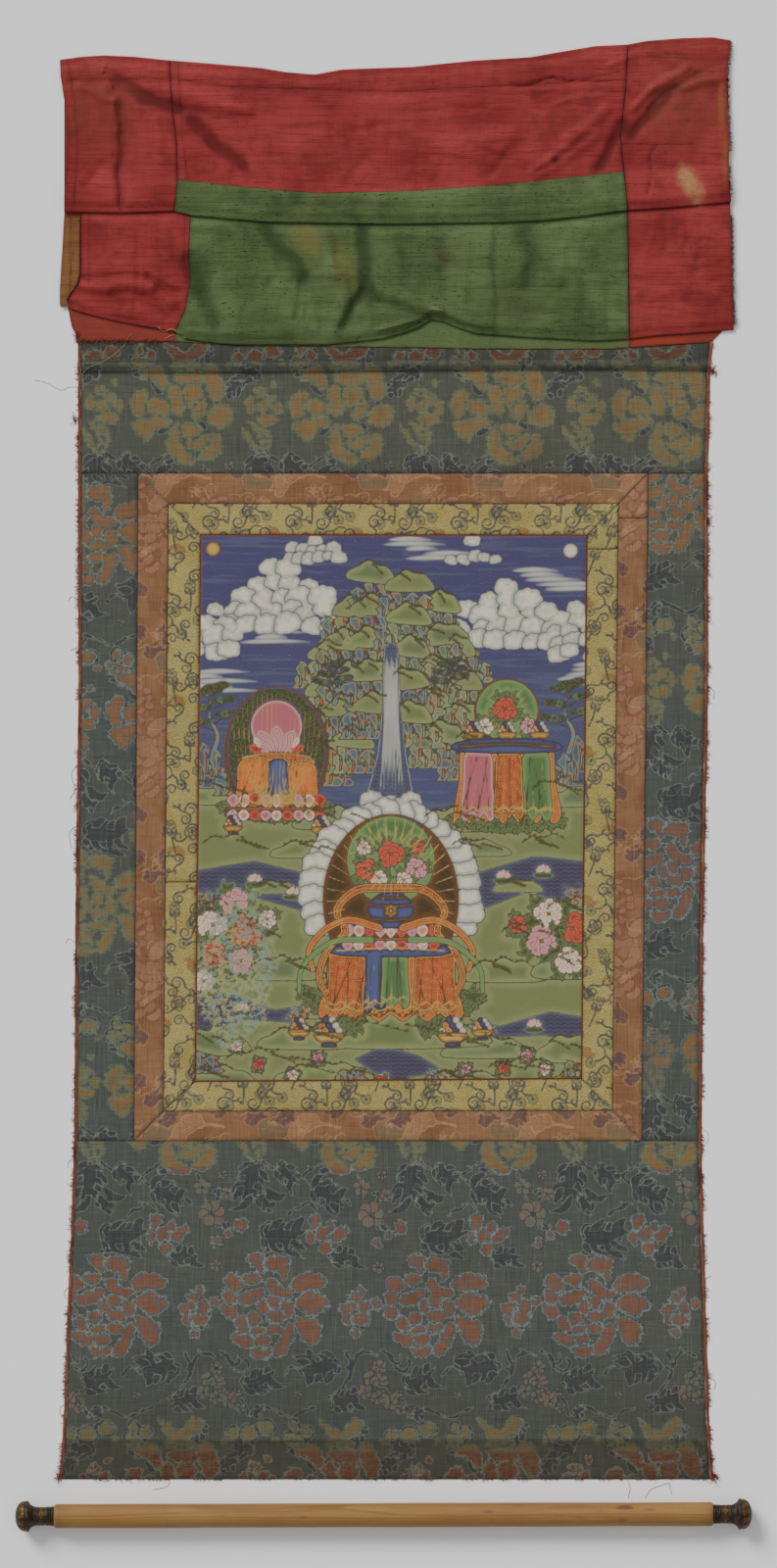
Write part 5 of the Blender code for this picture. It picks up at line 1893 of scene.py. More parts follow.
    def _land(self, pen: Pen) -> None:
        """Green banks with inlets of dark water between them."""
        shore = [
            (-225, 20), (-160, 30), (-96, 12), (-40, -4), (0, -14), (50, -2), (110, 14), (170, 28),
            (225, 20), (225, -320)
        ]
        pen.area("hill_c", shore + [(-225, -320)])
        inlets = (
            [
                (-225, -70), (-150, -58), (-84, -74), (-30, -60), (-70, -88), (-40, -104), (-100, -112),
                (-150, -98), (-190, -112), (-225, -102),
            ],
            [
                (225, -60), (160, -52), (98, -70), (40, -56), (66, -84), (34, -100), (104, -110), (150, -92),
                (200, -108), (225, -96),
            ],
            [
                (-225, -210), (-180, -204), (-128, -222), (-84, -216), (-110, -236), (-160, -232),
                (-200, -246), (-225, -238),
            ],
            [(225, -232), (176, -224), (120, -240), (86, -232), (112, -252), (170, -250), (225, -262)],
            [
                (-40, -276), (-10, -262), (30, -272), (60, -290), (20, -296), (6, -316), (-24, -316),
                (-18, -292),
            ],
        )  # fmt: skip
        for points in inlets:
            pen.area("water", points, False)
        banks = (
            (-190, 8, 90, 24, "a"), (190, 6, 92, 26, "b"), (-64, -20, 84, 22, "b"),
            (70, -22, 90, 22, "a"), (-178, -52, 84, 22, "c"), (174, -50, 84, 20, "c"),
            (-96, -52, 70, 16, "a"), (92, -50, 76, 16, "b"), (-130, -92, 56, 12, "b"),
            (140, -90, 52, 12, "a"), (-196, -132, 84, 30, "a"), (200, -128, 80, 28, "b"),
            (-150, -150, 80, 24, "c"), (152, -150, 84, 24, "c"), (-120, -186, 90, 22, "b"),
            (124, -188, 92, 22, "a"), (-190, -186, 70, 26, "a"), (192, -184, 70, 26, "b"),
        )  # fmt: skip
        for x, y, width, height, kind in banks:
            self._hill(pen.at(x, y), "hill_" + kind, width, height)
        crags = (
            (-206, 22, 40, 76), (206, 24, 42, 80), (-176, 14, 30, 44), (172, 18, 32, 46),
            (-70, -98, 34, 24), (66, -96, 34, 24), (-206, -112, 30, 30), (208, -108, 32, 32),
            (-96, -232, 30, 20), (98, -248, 32, 20),
        )  # fmt: skip
        for x, y, width, height in crags:
            self._rock(pen.at(x, y), width, height)
        for x, y in (
            (-150, -80), (-108, -94), (-60, -74), (124, -76), (168, -70), (70, -76), (-164, -222),
            (158, -240)
        ):
            self._lotus(pen.at(x, y), 7.5)

    def _lotus(self, pen: Pen, size: float) -> None:
        """A small water lily on its pad."""
        pen.disc("leaf_a", 0, -0.5 * size, 1.5 * size, 0.45 * size)
        self._tinted(pen, 0, 0.4 * size, size, 0.75)
        for k, turn in enumerate((70, -70, 38, -38, 0)):
            petal(pen.at(0, 0, turn), ("petal_a", "petal_b")[k % 2], size * 1.2, size * 0.7, 1, 0)

    def _rayed(self, pen: Pen, radius: float, count: int) -> None:
        """A green disc with a gold rim and fine gold rays."""
        pen.disc("gold", 0, 0, radius + 1.8)
        pen.disc("halo", 0, 0, radius)
        for k in range(count):
            angle = 2 * math.pi * k / count
            near, far = 0.5 * radius, radius * (0.94 if k % 2 else 0.8)
            ends = [(size * math.cos(angle), size * math.sin(angle)) for size in (near, far)]
            pen.line("gilt", ends, 0.7, 0.4)

    def _centre(self, pen: Pen) -> None:
        """A vase of flowers before a green disc, on a seat draped with orange cloth."""
        for k in range(22):
            angle = math.radians(-22 + 224 * k / 21)
            spot = pen.at(78 * math.cos(angle), 56 + 84 * math.sin(angle), 0)
            self._puff(spot, "cloud_" + "abc"[k % 3], self.dice.uniform(11, 16))
        pen.disc("glow", 0, 52, 68, 86)
        for k in range(26):
            angle = math.radians(-20 + 220 * k / 25)
            fan = [
                (46 * math.cos(angle), 54 + 56 * math.sin(angle)),
                (64 * math.cos(angle), 54 + 81 * math.sin(angle))
            ]
            pen.line("gilt", fan, 0.55, 0.75)
        self._rayed(pen.at(0, 92), 44.0, 32)
        self._hill(pen.at(0, -92), "hill_a", 190, 30)
        for hand in (-1, 1):
            for k in range(7):
                fingered_leaf(
                    pen.at(hand * (30 + 7 * k), -64 + 3 * k, -hand * (150 - 12 * k)),
                    ("leaf_a", "leaf_b"), 26, 3
                )
        self._drape(pen.at(0, -66), "robe_a", 146, 68, 12)
        self._drape(pen.at(-40, -60), "robe_b", 50, 66, 7)
        self._drape(pen.at(44, -60), "robe_b", 46, 64, 7)
        self._drape(pen.at(-16, -58), "blue", 22, 60, 4)
        self._drape(pen.at(4, -54), "halo", 30, 58, 5)
        pen.area("blue", [(-50, -4), (50, -4), (56, 6), (0, 10), (-56, 6)])
        pen.line("gilt", [(-54, 1), (0, 4), (54, 1)], 0.9)
        self._pedestal(pen.at(0, 14), 96, 9)
        vase = [
            (-12, 24), (12, 24), (10, 28), (21, 36), (23, 46), (15, 56), (7, 60), (11, 68), (-11, 68),
            (-7, 60), (-15, 56), (-23, 46), (-21, 36), (-10, 28),
        ]  # fmt: skip
        pen.area("blue", vase)
        for y, half in ((33, 17), (47, 22), (55, 16), (65, 8)):
            pen.line("gold", [(-half, y), (0, y - 1.5), (half, y)], 0.9)
        blossom(pen.at(0, 41), "gold", 7.0, "petal_a", 6)
        for x, y, size, tint in (
            (-24, 82, 12, 0.0), (25, 83, 12, 0.5), (0, 98, 14, 0.0), (-12, 74, 9, 1.0), (13, 72, 9, 1.0),
            (-27, 104, 8, 1.0), (28, 105, 8, 0.0),
        ):  # fmt: skip
            self._flower(pen.at(x, y), size, tint, 3)
        for hand in (-1, 1):
            ribbon = [
                (0, 64), (hand * 34, 62), (hand * 54, 42), (hand * 46, 20), (hand * 62, 4),
                (hand * 72, -24), (hand * 64, -44)
            ]
            pen.line("robe_b", ribbon, 4.4, 3.0)
            pen.line(
                "robe_a",
                [(hand * 12, 24), (hand * 42, 32), (hand * 66, 22), (hand * 82, 2), (hand * 78, -18)],
                3.8, 2.4
            )
            pen.line("halo", [(hand * 20, 12), (hand * 58, 10), (hand * 88, -14), (hand * 92, -40)], 3.2, 2.0)
            pen.line("gilt", ribbon, 0.6)
            self._offerings(pen.at(hand * 62, -84), 11)
            self._offerings(pen.at(hand * 92, -80), 8)

    def _offerings(self, pen: Pen, size: float) -> None:
        """A footed bowl of round fruit and jewels."""
        for row, count in enumerate((4, 3, 2)):
            for k in range(count):
                spot = (size * 0.62 * (k - (count - 1) / 2), size * (0.45 + 0.5 * row))
                kind = ("cream", "robe_a", "blue")[(k + row) % 3]
                pen.disc(kind, *spot, size * 0.34)
        bowl = [
            (-size * 1.3, size * 0.2), (size * 1.3, size * 0.2), (size * 0.8, -size * 0.6),
            (-size * 0.8, -size * 0.6)
        ]
        pen.area("gold", bowl)
        pen.area("blue", [
            (-size * 0.4, -size * 0.6), (size * 0.4, -size * 0.6), (size * 0.7, -size),
            (-size * 0.7, -size)
        ])
        pen.line("ink", [(-size * 1.2, 0.1), (0, -0.5), (size * 1.2, 0.1)], 0.6)

    def _round_leaf(self, spot: Pen) -> None:
        """A great ribbed leaf with a pink disc, a lotus and a wrapped bundle before it."""
        spot.disc("glow", 0, 0, 60, 76)
        spot.disc("pad", 0, 2, 56, 72)
        for k in range(-9, 10):
            x = 5.6 * k
            tall = 70 * math.sqrt(max(0.0, 1 - (x / 57) ** 2))
            spot.line("gilt", [(0.3 * x, -60), (0.85 * x, -10), (x, tall)], 0.55)
        spot.disc("gold", 0, 30, 31)
        self._tinted(spot, 0, 30, 31, 0.5)
        spot.disc("petal_a", 0, 30, 29.5)
        for k, turn in enumerate(range(-64, 65, 16)):
            self._tinted(spot.at(0, -8, turn), 0, 30, 8, 1.0 if k % 2 else 0.0)
            petal(spot.at(0, -8, turn), ("petal_b", "petal_a")[k % 2], 36, 15, 1, 0)
        for turn in range(-80, 81, 16):
            fingered_leaf(spot.at(turn * 0.6, -62, 180 + turn), ("leaf_a", "leaf_b"), 22, 3)
        self._drape(spot.at(0, -66), "robe_b", 104, 62, 11)
        self._drape(spot.at(-26, -64), "robe_a", 44, 54, 6)
        self._drape(spot.at(30, -64), "robe_a", 38, 50, 5)
        self._drape(spot.at(2, -58), "blue", 26, 48, 5)
        self._pedestal(spot.at(0, -64), 112, 9)
        self._offerings(spot.at(52, -88), 9)
        self._offerings(spot.at(-50, -86), 8)

    def _low_table(self, spot: Pen) -> None:
        """A small green disc, and a draped table with bowls."""
        self._rayed(spot.at(0, 60), 34.0, 20)
        self._flower(spot.at(-2, 62), 14, 0.0, 5)
        self._flower(spot.at(-24, 42), 10, 1.0, 3)
        self._flower(spot.at(24, 43), 10, 0.5, 3)
        for turn in range(-80, 81, 16):
            fingered_leaf(spot.at(turn * 0.6, -56, 180 + 0.8 * turn), ("leaf_a", "leaf_b"), 22, 3)
        self._drape(spot.at(0, -60), "robe_a", 120, 84, 13)
        self._tinted(spot, -32, -30, 30, 0.5)
        self._drape(spot.at(-32, -58), "petal_b", 38, 72, 6)
        self._drape(spot.at(32, -58), "halo", 36, 72, 5)
        self._drape(spot.at(2, -56), "robe_b", 34, 68, 6)
        spot.area("blue", [(-50, 14), (50, 14), (56, 25), (0, 30), (-56, 25)])
        spot.line("gold", [(-52, 20), (0, 23), (52, 20)], 1.0)
        for x in (-36, 0, 36):
            self._offerings(spot.at(x, 34), 8)

    def _trees(self, pen: Pen) -> None:
        """Bent trees on the upper slopes."""
        for x, y, tall, spread in (
            (-196, 60, 70, 52), (196, 62, 72, 52), (-62, 116, 40, 34), (66, 118, 40, 34)
        ):
            self._tree(pen.at(x, y), tall, spread)

    def _garden(self, pen: Pen) -> None:
        """Peonies in both lower corners."""
        for x, y, size, tint in (
            (-196, -128, 19, 1.0), (-172, -104, 17, 0.5), (-160, -136, 19, 0.0), (-194, -162, 17, 0.0),
            (-166, -168, 15, 0.5), (-206, -190, 13, 1.0), (-136, -122, 11, 1.0), (200, -132, 18, 0.0),
            (174, -116, 17, 1.0), (166, -146, 18, 0.5), (196, -168, 16, 1.0), (140, -128, 11, 0.0),
        ):  # fmt: skip
            self._flower(pen.at(x, y), size, tint, 4)

    def _foreground(self, pen: Pen) -> None:
        """Green ground along the foot, with crags, bowls and small flowers."""
        banks = (
            (-196, -268, 80, 26, "b"), (-96, -262, 96, 22, "a"), (108, -272, 100, 20, "b"),
            (196, -276, 70, 26, "a"), (-140, -288, 110, 22, "c"), (150, -296, 110, 20, "c"),
            (-70, -300, 110, 20, "a"), (80, -304, 90, 16, "b"), (-190, -304, 80, 20, "b"),
            (204, -306, 60, 18, "a"),
        )  # fmt: skip
        for x, y, width, height, kind in banks:
            self._hill(pen.at(x, y), "hill_" + kind, width, height, 2)
        for x, y, width, height in (
            (-204, -292, 30, 34), (206, -296, 28, 26), (-44, -300, 28, 22), (56, -300, 28, 20)
        ):
            self._rock(pen.at(x, y), width, height)
        spots = (
            (-146, -282, 0.0), (-108, -294, 1.0), (82, -288, 0.5), (124, -286, 0.0), (170, -288, 1.0),
            (-80, -276, 0.5), (-170, -262, 1.0), (150, -272, 0.5), (-10, -300, 0.0),
        )  # fmt: skip
        for x, y, tint in spots:
            self._flower(pen.at(x, y), 7.0, tint, 4)


@dataclass(frozen=True)
class PaintFinish:
    """Mineral colours on sized cotton: flat fields with shaded edges, fine lines, gold and wear."""

    name: str = "painted_cotton_cloth"

    def material(self) -> bpy.types.Material:
        """Builds it."""
        graph = Graph(self.name)
        grain = graph.noise(1.6, 2.0, 0.6)
        broad = graph.noise(46.0, 2.0, seed=2.0)
        up = graph.y + 27.0
        sky = graph.mix(up.rise(40.0, 250.0), tone(58, 84, 134), tone(40, 64, 128))
        sky = graph.mix(
            graph.noise((60.0, 5.0, 5.0), 2.0, seed=3.0).rise(0.52, 0.66) * 0.35, sky, tone(96, 122, 150)
        )
        colour = graph.mix(within(graph.channel("mist"), 0.0, 1.6) * 0.85, sky, tone(214, 216, 206))
        colour = self._clouds(graph, colour, grain)
        colour = self._water(graph, colour)
        colour = self._hills(graph, colour, broad)
        colour = self._rocks(graph, colour, broad)
        colour = self._plants(graph, colour, grain)
        colour = self._things(graph, colour, grain)
        ink = within(graph.channel("ink"), -0.1, 0.35)
        colour = graph.mix(ink * 0.85, colour, tone(46, 58, 46))
        gilt = within(graph.channel("gilt"), -0.05, 0.35)
        colour = graph.mix(gilt * 0.8, colour, tone(206, 178, 104))
        colour, bare = self._wear(graph, colour, grain)
        cloth = graph.noise((0.5, 0.5, 0.5), 1.0, seed=21.0)
        height = cloth * 0.5 + grain * 0.3 - bare * 0.4 + gilt * 0.2
        rough = 0.82 - gilt * 0.3 + bare * 0.08
        return graph.close(colour, rough, height, 0.14, gloss=0.25)

    def _clouds(self, graph: Graph, colour: Any, grain: Num) -> Any:
        """Cream puffs, blue-grey towards their lower edges, each with a thin curl line."""
        for label in ("cloud_a", "cloud_b", "cloud_c"):
            puff = graph.channel(label)
            body = graph.mix((puff + grain).rise(0.4, -3.6), tone(178, 186, 176), tone(242, 236, 216))
            body = graph.mix(
                graph.noise(11.0, 2.0, seed=25.0).rise(0.45, 0.62) * 0.34, body, tone(178, 186, 176)
            )
            body = graph.mix(band(puff, 0.35, 0.4, 2.8) * 0.4, body, tone(150, 158, 154))
            colour = graph.mix(within(puff), colour, body)
            colour = graph.mix(band(puff, 0.3, 0.35, 0.2) * 0.8, colour, tone(96, 104, 112))
        return colour

    def _water(self, graph: Graph, colour: Any) -> Any:
        """Deep blue water with rows of scalloped waves."""
        water = graph.channel("water")
        arc = abs((graph.x * (math.pi / 8.0)).sine())
        phase = ((graph.y + arc * 1.7 + graph.noise(20.0) * 2.0) / 4.6) % 1.0
        line = band(phase - 0.5, 0.06, 0.07)
        body = graph.mix(line * 0.55, tone(38, 56, 104), tone(104, 130, 164))
        body = graph.mix(water.rise(-6.0, 0.0) * 0.4, body, tone(92, 120, 150))
        colour = graph.mix(within(water), colour, body)
        return graph.mix(band(water, 0.4, 0.35) * 0.8, colour, tone(186, 192, 176))

    def _hills(self, graph: Graph, colour: Any, broad: Num) -> Any:
        """Green slopes, dark with growth at the ridge and pale at the foot."""
        for label, deep, pale in (
            ("hill_c", tone(126, 144, 98), tone(150, 162, 118)),
            ("hill_a", tone(112, 136, 92), tone(158, 170, 120)),
            ("hill_b", tone(104, 130, 96), tone(154, 168, 124)),
        ):
            hill = graph.channel(label)
            body = graph.mix((hill + broad * 5.0).rise(-8.0, 3.0), deep, pale)
            tuft = graph.noise(1.7, 1.0, seed=4.0).rise(0.56, 0.64) * hill.rise(-2.4, -0.4)
            body = graph.mix(tuft * 0.55, body, tone(60, 84, 60))
            body = graph.mix(
                graph.noise((6.0, 1.4, 2.0), 1.0, seed=6.0).rise(0.6, 0.7) * 0.2, body, tone(88, 116, 84)
            )
            colour = graph.mix(within(hill), colour, body)
            colour = graph.mix(band(hill, 0.4, 0.3, 0.1) * 0.85, colour, tone(52, 72, 54))
        return colour

    def _rocks(self, graph: Graph, colour: Any, broad: Num) -> Any:
        """Blue-green rocks with contour strokes and warm edges."""
        for label in ("rock_a", "rock_b"):
            rock = graph.channel(label)
            base = (
                tone(84, 120, 144), tone(112, 138, 104)
            ) if label == "rock_a" else (tone(64, 98, 130), tone(150, 160, 120))
            body = graph.mix(broad.rise(0.42, 0.58), *base)
            body = graph.mix(rock.rise(-3.0, -0.6) * 0.5, body, tone(176, 186, 160))
            stroke = band(((rock + graph.noise(7.0) * 3.0) / 1.9) % 1.0 - 0.5, 0.1, 0.12)
            body = graph.mix(stroke * 0.5, body, tone(44, 68, 84))
            body = graph.mix(
                graph.noise(9.0, 1.0, seed=7.0).rise(0.55, 0.64) * rock.rise(-4.5, -0.5) * 0.8, body,
                tone(190, 130, 78)
            )
            colour = graph.mix(within(rock), colour, body)
            colour = graph.mix(band(rock, 0.35, 0.3, 0.1) * 0.85, colour, tone(52, 50, 44))
        return colour

    def _plants(self, graph: Graph, colour: Any, grain: Num) -> Any:
        """Dark leaf pads, leaves with pale edges, and petals of three colours."""
        pad = graph.channel("pad")
        leafy = graph.noise(2.2, 1.0, seed=8.0).rise(0.44, 0.6)
        body = graph.mix(leafy, tone(38, 62, 46), tone(74, 104, 72))
        colour = graph.mix(within(pad + grain * 1.4, 0.3), colour, body)
        for label in ("leaf_a", "leaf_b"):
            leaf = graph.channel(label)
            body = graph.mix(leaf.rise(-0.2, -2.4), tone(114, 144, 100), tone(56, 92, 62))
            colour = graph.mix(within(leaf), colour, body)
            colour = graph.mix(band(leaf, 0.25, 0.3, 0.1) * 0.8, colour, tone(34, 54, 38))
        tint = graph.channel("tint")
        rims = graph.ramp(
            tint, [(0.0, tone(214, 100, 84)), (0.5, tone(222, 172, 174)), (1.0, tone(240, 226, 206))]
        )
        hearts = graph.ramp(
            tint, [(0.0, tone(166, 40, 42)), (0.5, tone(196, 112, 130)), (1.0, tone(216, 150, 124))]
        )
        lines = graph.ramp(
            tint, [(0.0, tone(104, 28, 30)), (0.5, tone(132, 66, 84)), (1.0, tone(150, 96, 84))]
        )
        for label in ("petal_a", "petal_b"):
            shape = graph.channel(label)
            body = graph.mix(shape.rise(-0.4, -4.2), rims, hearts)
            colour = graph.mix(within(shape), colour, body)
            colour = graph.mix(band(shape, 0.22, 0.3, 0.1) * 0.85, colour, lines)
        return colour

    def _things(self, graph: Graph, colour: Any, grain: Num) -> Any:
        """Discs, cloths with gold patterns, bowls and vases."""
        glow = graph.channel("glow")
        body = graph.mix(glow.rise(-8.0, 0.0), tone(54, 40, 34), tone(112, 70, 46))
        colour = graph.mix(within(glow), colour, body)
        halo = graph.channel("halo")
        body = graph.mix(halo.rise(-8.0, 0.0), tone(74, 132, 88), tone(128, 166, 112))
        colour = graph.mix(within(halo), colour, body)
        colour = graph.mix(band(halo, 0.3, 0.3, 0.1) * 0.8, colour, tone(40, 74, 50))
        dots = graph.cells(6.5, spread=0.55)
        roundel = band(dots - 0.3, 0.06, 0.05).most(dots.rise(0.14, 0.08))
        net = graph.cells(6.5, edge=True, spread=0.55).rise(0.06, 0.02)
        for label, light, deep in (
            ("robe_a", tone(232, 124, 62), tone(190, 84, 42)),
            ("robe_b", tone(192, 66, 50), tone(142, 40, 38)),
        ):
            robe = graph.channel(label)
            body = graph.mix((robe + grain * 2.0).rise(-6.0, 0.4), light, deep)
            body = graph.mix(roundel.most(net) * 0.6, body, tone(222, 172, 92))
            colour = graph.mix(within(robe), colour, body)
            colour = graph.mix(band(robe, 0.45, 0.3, 1.0) * 0.8, colour, tone(214, 176, 100))
            colour = graph.mix(band(robe, 0.35, 0.3, 0.0) * 0.85, colour, tone(84, 28, 26))
        for label, light, deep, line in (
            ("blue", tone(70, 100, 156), tone(34, 52, 104), tone(26, 34, 64)),
            ("gold", tone(214, 184, 110), tone(160, 116, 56), tone(96, 64, 34)),
            ("cream", tone(232, 224, 204), tone(186, 180, 166), tone(104, 92, 80)),
        ):
            thing = graph.channel(label)
            body = graph.mix(thing.rise(-4.0, -0.3), light, deep)
            colour = graph.mix(within(thing), colour, body)
            colour = graph.mix(band(thing, 0.3, 0.3, 0.1) * 0.85, colour, line)
        return colour

    def _wear(self, graph: Graph, colour: Any, grain: Num) -> tuple[Any, Num]:
        """Rubbed paint: a large patch at the lower left, cracks, specks, a red-brown edge line and a painted
        shadow line at the very edge.

        Returns:
            The colour, and where the paint is gone.
        """
        patch = (graph.x + 164.0) / 46.0
        tall = (graph.y + 205.0) / 92.0
        spread = patch * patch + tall * tall + (graph.noise(30.0, 3.0, 0.6, seed=9.0) - 0.5) * 1.6
        rubbed = spread.rise(1.05, 0.7) * graph.noise(5.0, 3.0, 0.7, seed=10.0).rise(0.44, 0.53)
        ghost = graph.mix(
            graph.noise(12.0, 2.0, seed=11.0).rise(0.4, 0.6), tone(146, 172, 162), tone(178, 182, 132)
        )
        colour = graph.mix(rubbed * 0.82, colour, ghost)
        speck = graph.noise(2.4, 2.0, 0.7, seed=12.0).rise(0.68, 0.74)
        colour = graph.mix(speck * 0.55, colour, tone(190, 184, 160))
        crack = graph.noise((0.9, 40.0, 4.0), 2.0, 0.6, seed=13.0).rise(0.72, 0.8)
        colour = graph.mix(crack * 0.18, colour, tone(176, 168, 146))
        colour = graph.mix(grain.rise(0.3, 0.75) * 0.1, colour, tone(168, 158, 132))
        colour = graph.mix(0.1, colour, tone(206, 170, 110))
        rim = graph.channel("rim")
        colour = graph.mix(rim.rise(2.2, 0.8), colour, tone(150, 84, 48))
        # Painted shadow line at the very edge, where the cloth meets the border
        colour = graph.mix(rim.rise(0.8, 0.0) * 0.9, colour, tone(52, 34, 26))
        return colour, rubbed


@dataclass
class Painting:
    """The painted cloth, laid in its gold border."""

    thick: float = 1.2
    spacing: float = 1.8

    def build(self) -> bpy.types.Object:
        """Builds the cloth with its picture."""
        top_left, top_right, low_right, low_left = PAINTING
        width = (math.dist(top_left, top_right) + math.dist(low_left, low_right)) / 2
        columns = round(width / self.spacing) + 1
        rows = round(math.dist(low_left, top_left) / self.spacing) + 1
        grid = between(straight(low_left, top_left, rows), straight(low_right, top_right, rows), columns)
        x, y = grid[..., 0], grid[..., 1]
        rim = rim_distance(grid)
        inner = ease(rim / 6.0)
        swell = 0.25 * (1.0 + np.sin(x / 61.0 + 0.8) * np.sin(y / 47.0 + 0.3)) * inner
        waves = (0.2 * wander(x, y, 48.0, 31.0) + 0.08 * wander(x, y, 12.0, 32.0)) * inner
        z = self.thick + swell + waves - 0.5 * ease(1.0 - rim / 2.0)
        thing = closed_sheet("painting_cloth", np.stack([x, y, z], axis=-1), 0.0, PaintFinish().material())
        picture = Landscape()
        own_x, own_y = x - picture.middle[0], y - picture.middle[1]
        values = {**picture.chart().read(own_x, own_y), "rim": rim}
        values["tint"] = picture.tint(own_x, own_y)
        dress(thing, values)
        settle(thing, "painting", "painting")
        return thing


# ---- the folded veil -------------------------------------------------------------------------

SILK_THICK = 0.9
LAYER_PITCH = 1.5
LAYER = [0.5 + LAYER_PITCH * k for k in range(5)]  # sheet centres, one layer above another
SEWN_GAP = 0.35
BACK_FOLD_DROP = 12.0
TUCK_DEPTH = 24.0
VEIL_LOFT = 2.8
REACH_BACK = LAYER_PITCH / 2 + 0.5

# Lines that cross the veil, as x, y
VEIL_TOP = [
    (-357, 798.0), (-333, 801.5), (-308, 803.0), (-275, 801.5), (-237, 797.6), (-196, 794.4),
    (-136, 789.2), (-107, 784.5), (-76, 781.9), (-45, 787.6), (31, 790.2), (98, 797.1),
    (162, 801.0), (198, 807.4), (233, 813.2), (269, 815.0), (290, 818.9), (328, 822.0),
    (363, 823.0), (386, 819.0),
]  # fmt: skip
VEIL_HEM_CREASE = [(-357, 773), (-232, 775), (-171, 766), (15, 762), (139, 768), (260, 782), (386, 791)]
GREEN_TOP_SEAM = [(-227, 665.4), (-144, 656.7), (-71, 650.5), (31, 653.1), (124, 659.6), (265, 674.6)]
TIER_FOLD = [
    (-357, 630.4), (-288, 629.1), (-232, 631.0), (-212, 626.1), (-128, 618.9), (9, 616.6),
    (129, 618.5), (182, 621.1), (221, 625.5), (268, 631.8), (313, 634.7), (386, 641.2),
]  # fmt: skip
VEIL_BOTTOM = [
    (-357, 524.4), (-345, 523.3), (-321, 516.0), (-296, 510.0), (-230, 498.0), (-219, 490.8),
    (-200, 487.1), (-164, 483.9), (-60, 483.9), (-43, 486.0), (-2, 490.3), (19, 496.0),
    (38, 502.5), (52, 511.7), (66, 509.1), (85, 501.2), (103, 496.0), (155, 492.0),
    (234, 488.0), (271, 490.3), (297, 493.6), (386, 499.9),
]  # fmt: skip

# Upright edges, as y, x, for the hidden layers and for the front of each tier
Edge = dict[str, list[Point]]
VEIL_LEFT: Edge = {
    "back": [(488, -336), (498, -343), (510, -345), (524, -348), (562, -352), (800, -352)],
    "lower": [
        (522, -345), (534, -347), (542, -342), (550, -336), (556, -333.5), (632, -333.5),
        (646, -349), (800, -349),
    ],
    "upper": [
        (631, -352), (648, -352), (675, -349), (706, -347), (727, -348), (753, -352), (779, -356),
        (798, -357),
    ],
}  # fmt: skip
SEAM_LEFT_LOW = [(484, -230), (498, -230), (522, -219), (553, -213), (582, -215), (626, -213), (800, -213)]
SEAM_LEFT: Edge = {
    "back": SEAM_LEFT_LOW,
    "lower": SEAM_LEFT_LOW,
    "upper": [(631, -231), (665, -227), (706, -228), (748, -233), (798, -236)],
}
SEAM_RIGHT_LOW = [(478, 271), (564, 270), (631, 269), (800, 269)]
SEAM_RIGHT: Edge = {
    "back": SEAM_RIGHT_LOW,
    "lower": SEAM_RIGHT_LOW,
    "upper": [(633, 269), (675, 265), (712, 261), (768, 267), (814, 269)],
}
VEIL_RIGHT: Edge = {
    "back": [(478, 362), (488, 362), (498, 378), (538, 381), (800, 379)],
    "lower": [(500, 386), (538, 384), (590, 383), (640, 382), (800, 382)],
    "upper": [(643, 383), (666, 380), (709, 381), (747, 379), (783, 378), (819, 383)],
}
FACING_LEFT = [(525, -356), (529, -357), (546, -357), (594, -354), (630, -352)]
FACING_RIGHT = [(525, -349), (534, -348.5), (542, -343.5), (550, -338), (562, -334.6), (630, -334.4)]

# Creases: from x, y, to x, y, half width, height (a trough is negative). The main ones are the
# solids' own; the finer ones are the scene's
LOWER_CREASES = (
    (-136, 620, -88, 556, 12, -1.7), (-213, 577, -186, 505, 11, -1.5), (-52, 575, -44, 530, 13, 1.2),
    (-44, 530, -52, 500, 13, 1.0), (-24, 620, -17, 545, 11, -1.9), (-12, 546, 59, 519, 13, 2.6),
    (59, 519, 110, 500, 12, 1.6), (123, 615, 123, 493, 6, -0.9), (-339, 548, -254, 548, 11, 2.2),
    (-254, 548, -233, 529, 11, 1.8), (-166, 612, -128, 556, 9, 1.2), (-90, 560, -95, 512, 6, -0.9),
    (-84, 552, -74, 506, 5, 0.5), (-53, 563, -36, 539, 7, 0.9), (-17, 548, -46, 503, 9, -1.8),
    (-22, 551, -14, 508, 6, 0.6), (158, 618, 163, 548, 14, -1.3), (219, 600, 219, 500, 5, -0.35),
    (-85, 551, -86, 513, 3, -0.5), (-272, 605, -272, 520, 4, -0.6), (-250, 620, -236, 540, 12, -0.5),
    (-236, 602, -214, 560, 9, -0.7), (-330, 560, -262, 560, 6, -0.7), (-260, 560, -226, 541, 6, -1.0),
    (-300, 540, -284, 524, 6, -0.9), (-264, 536, -240, 514, 7, -0.8), (-336, 524, -250, 505, 5, 0.7),
    (-182, 560, -160, 520, 10, 0.7), (20, 604, 30, 560, 10, -0.5), (66, 592, 70, 540, 12, -0.6),
    (96, 612, 98, 520, 5, -0.3), (196, 590, 190, 530, 9, 0.5), (246, 560, 244, 500, 6, -0.4),
    (300, 626, 292, 590, 4, 0.6), (312, 626, 308, 588, 4, -0.6), (330, 626, 326, 596, 4, 0.5),
    (350, 624, 344, 560, 6, -0.4), (276, 540, 380, 548, 8, 0.4), (290, 560, 372, 570, 5, -0.3),
    (-120, 600, -84, 548, 5, 0.6), (-62, 610, -56, 560, 9, 1.0), (-6, 500, 52, 514, 5, 0.9),
)  # fmt: skip
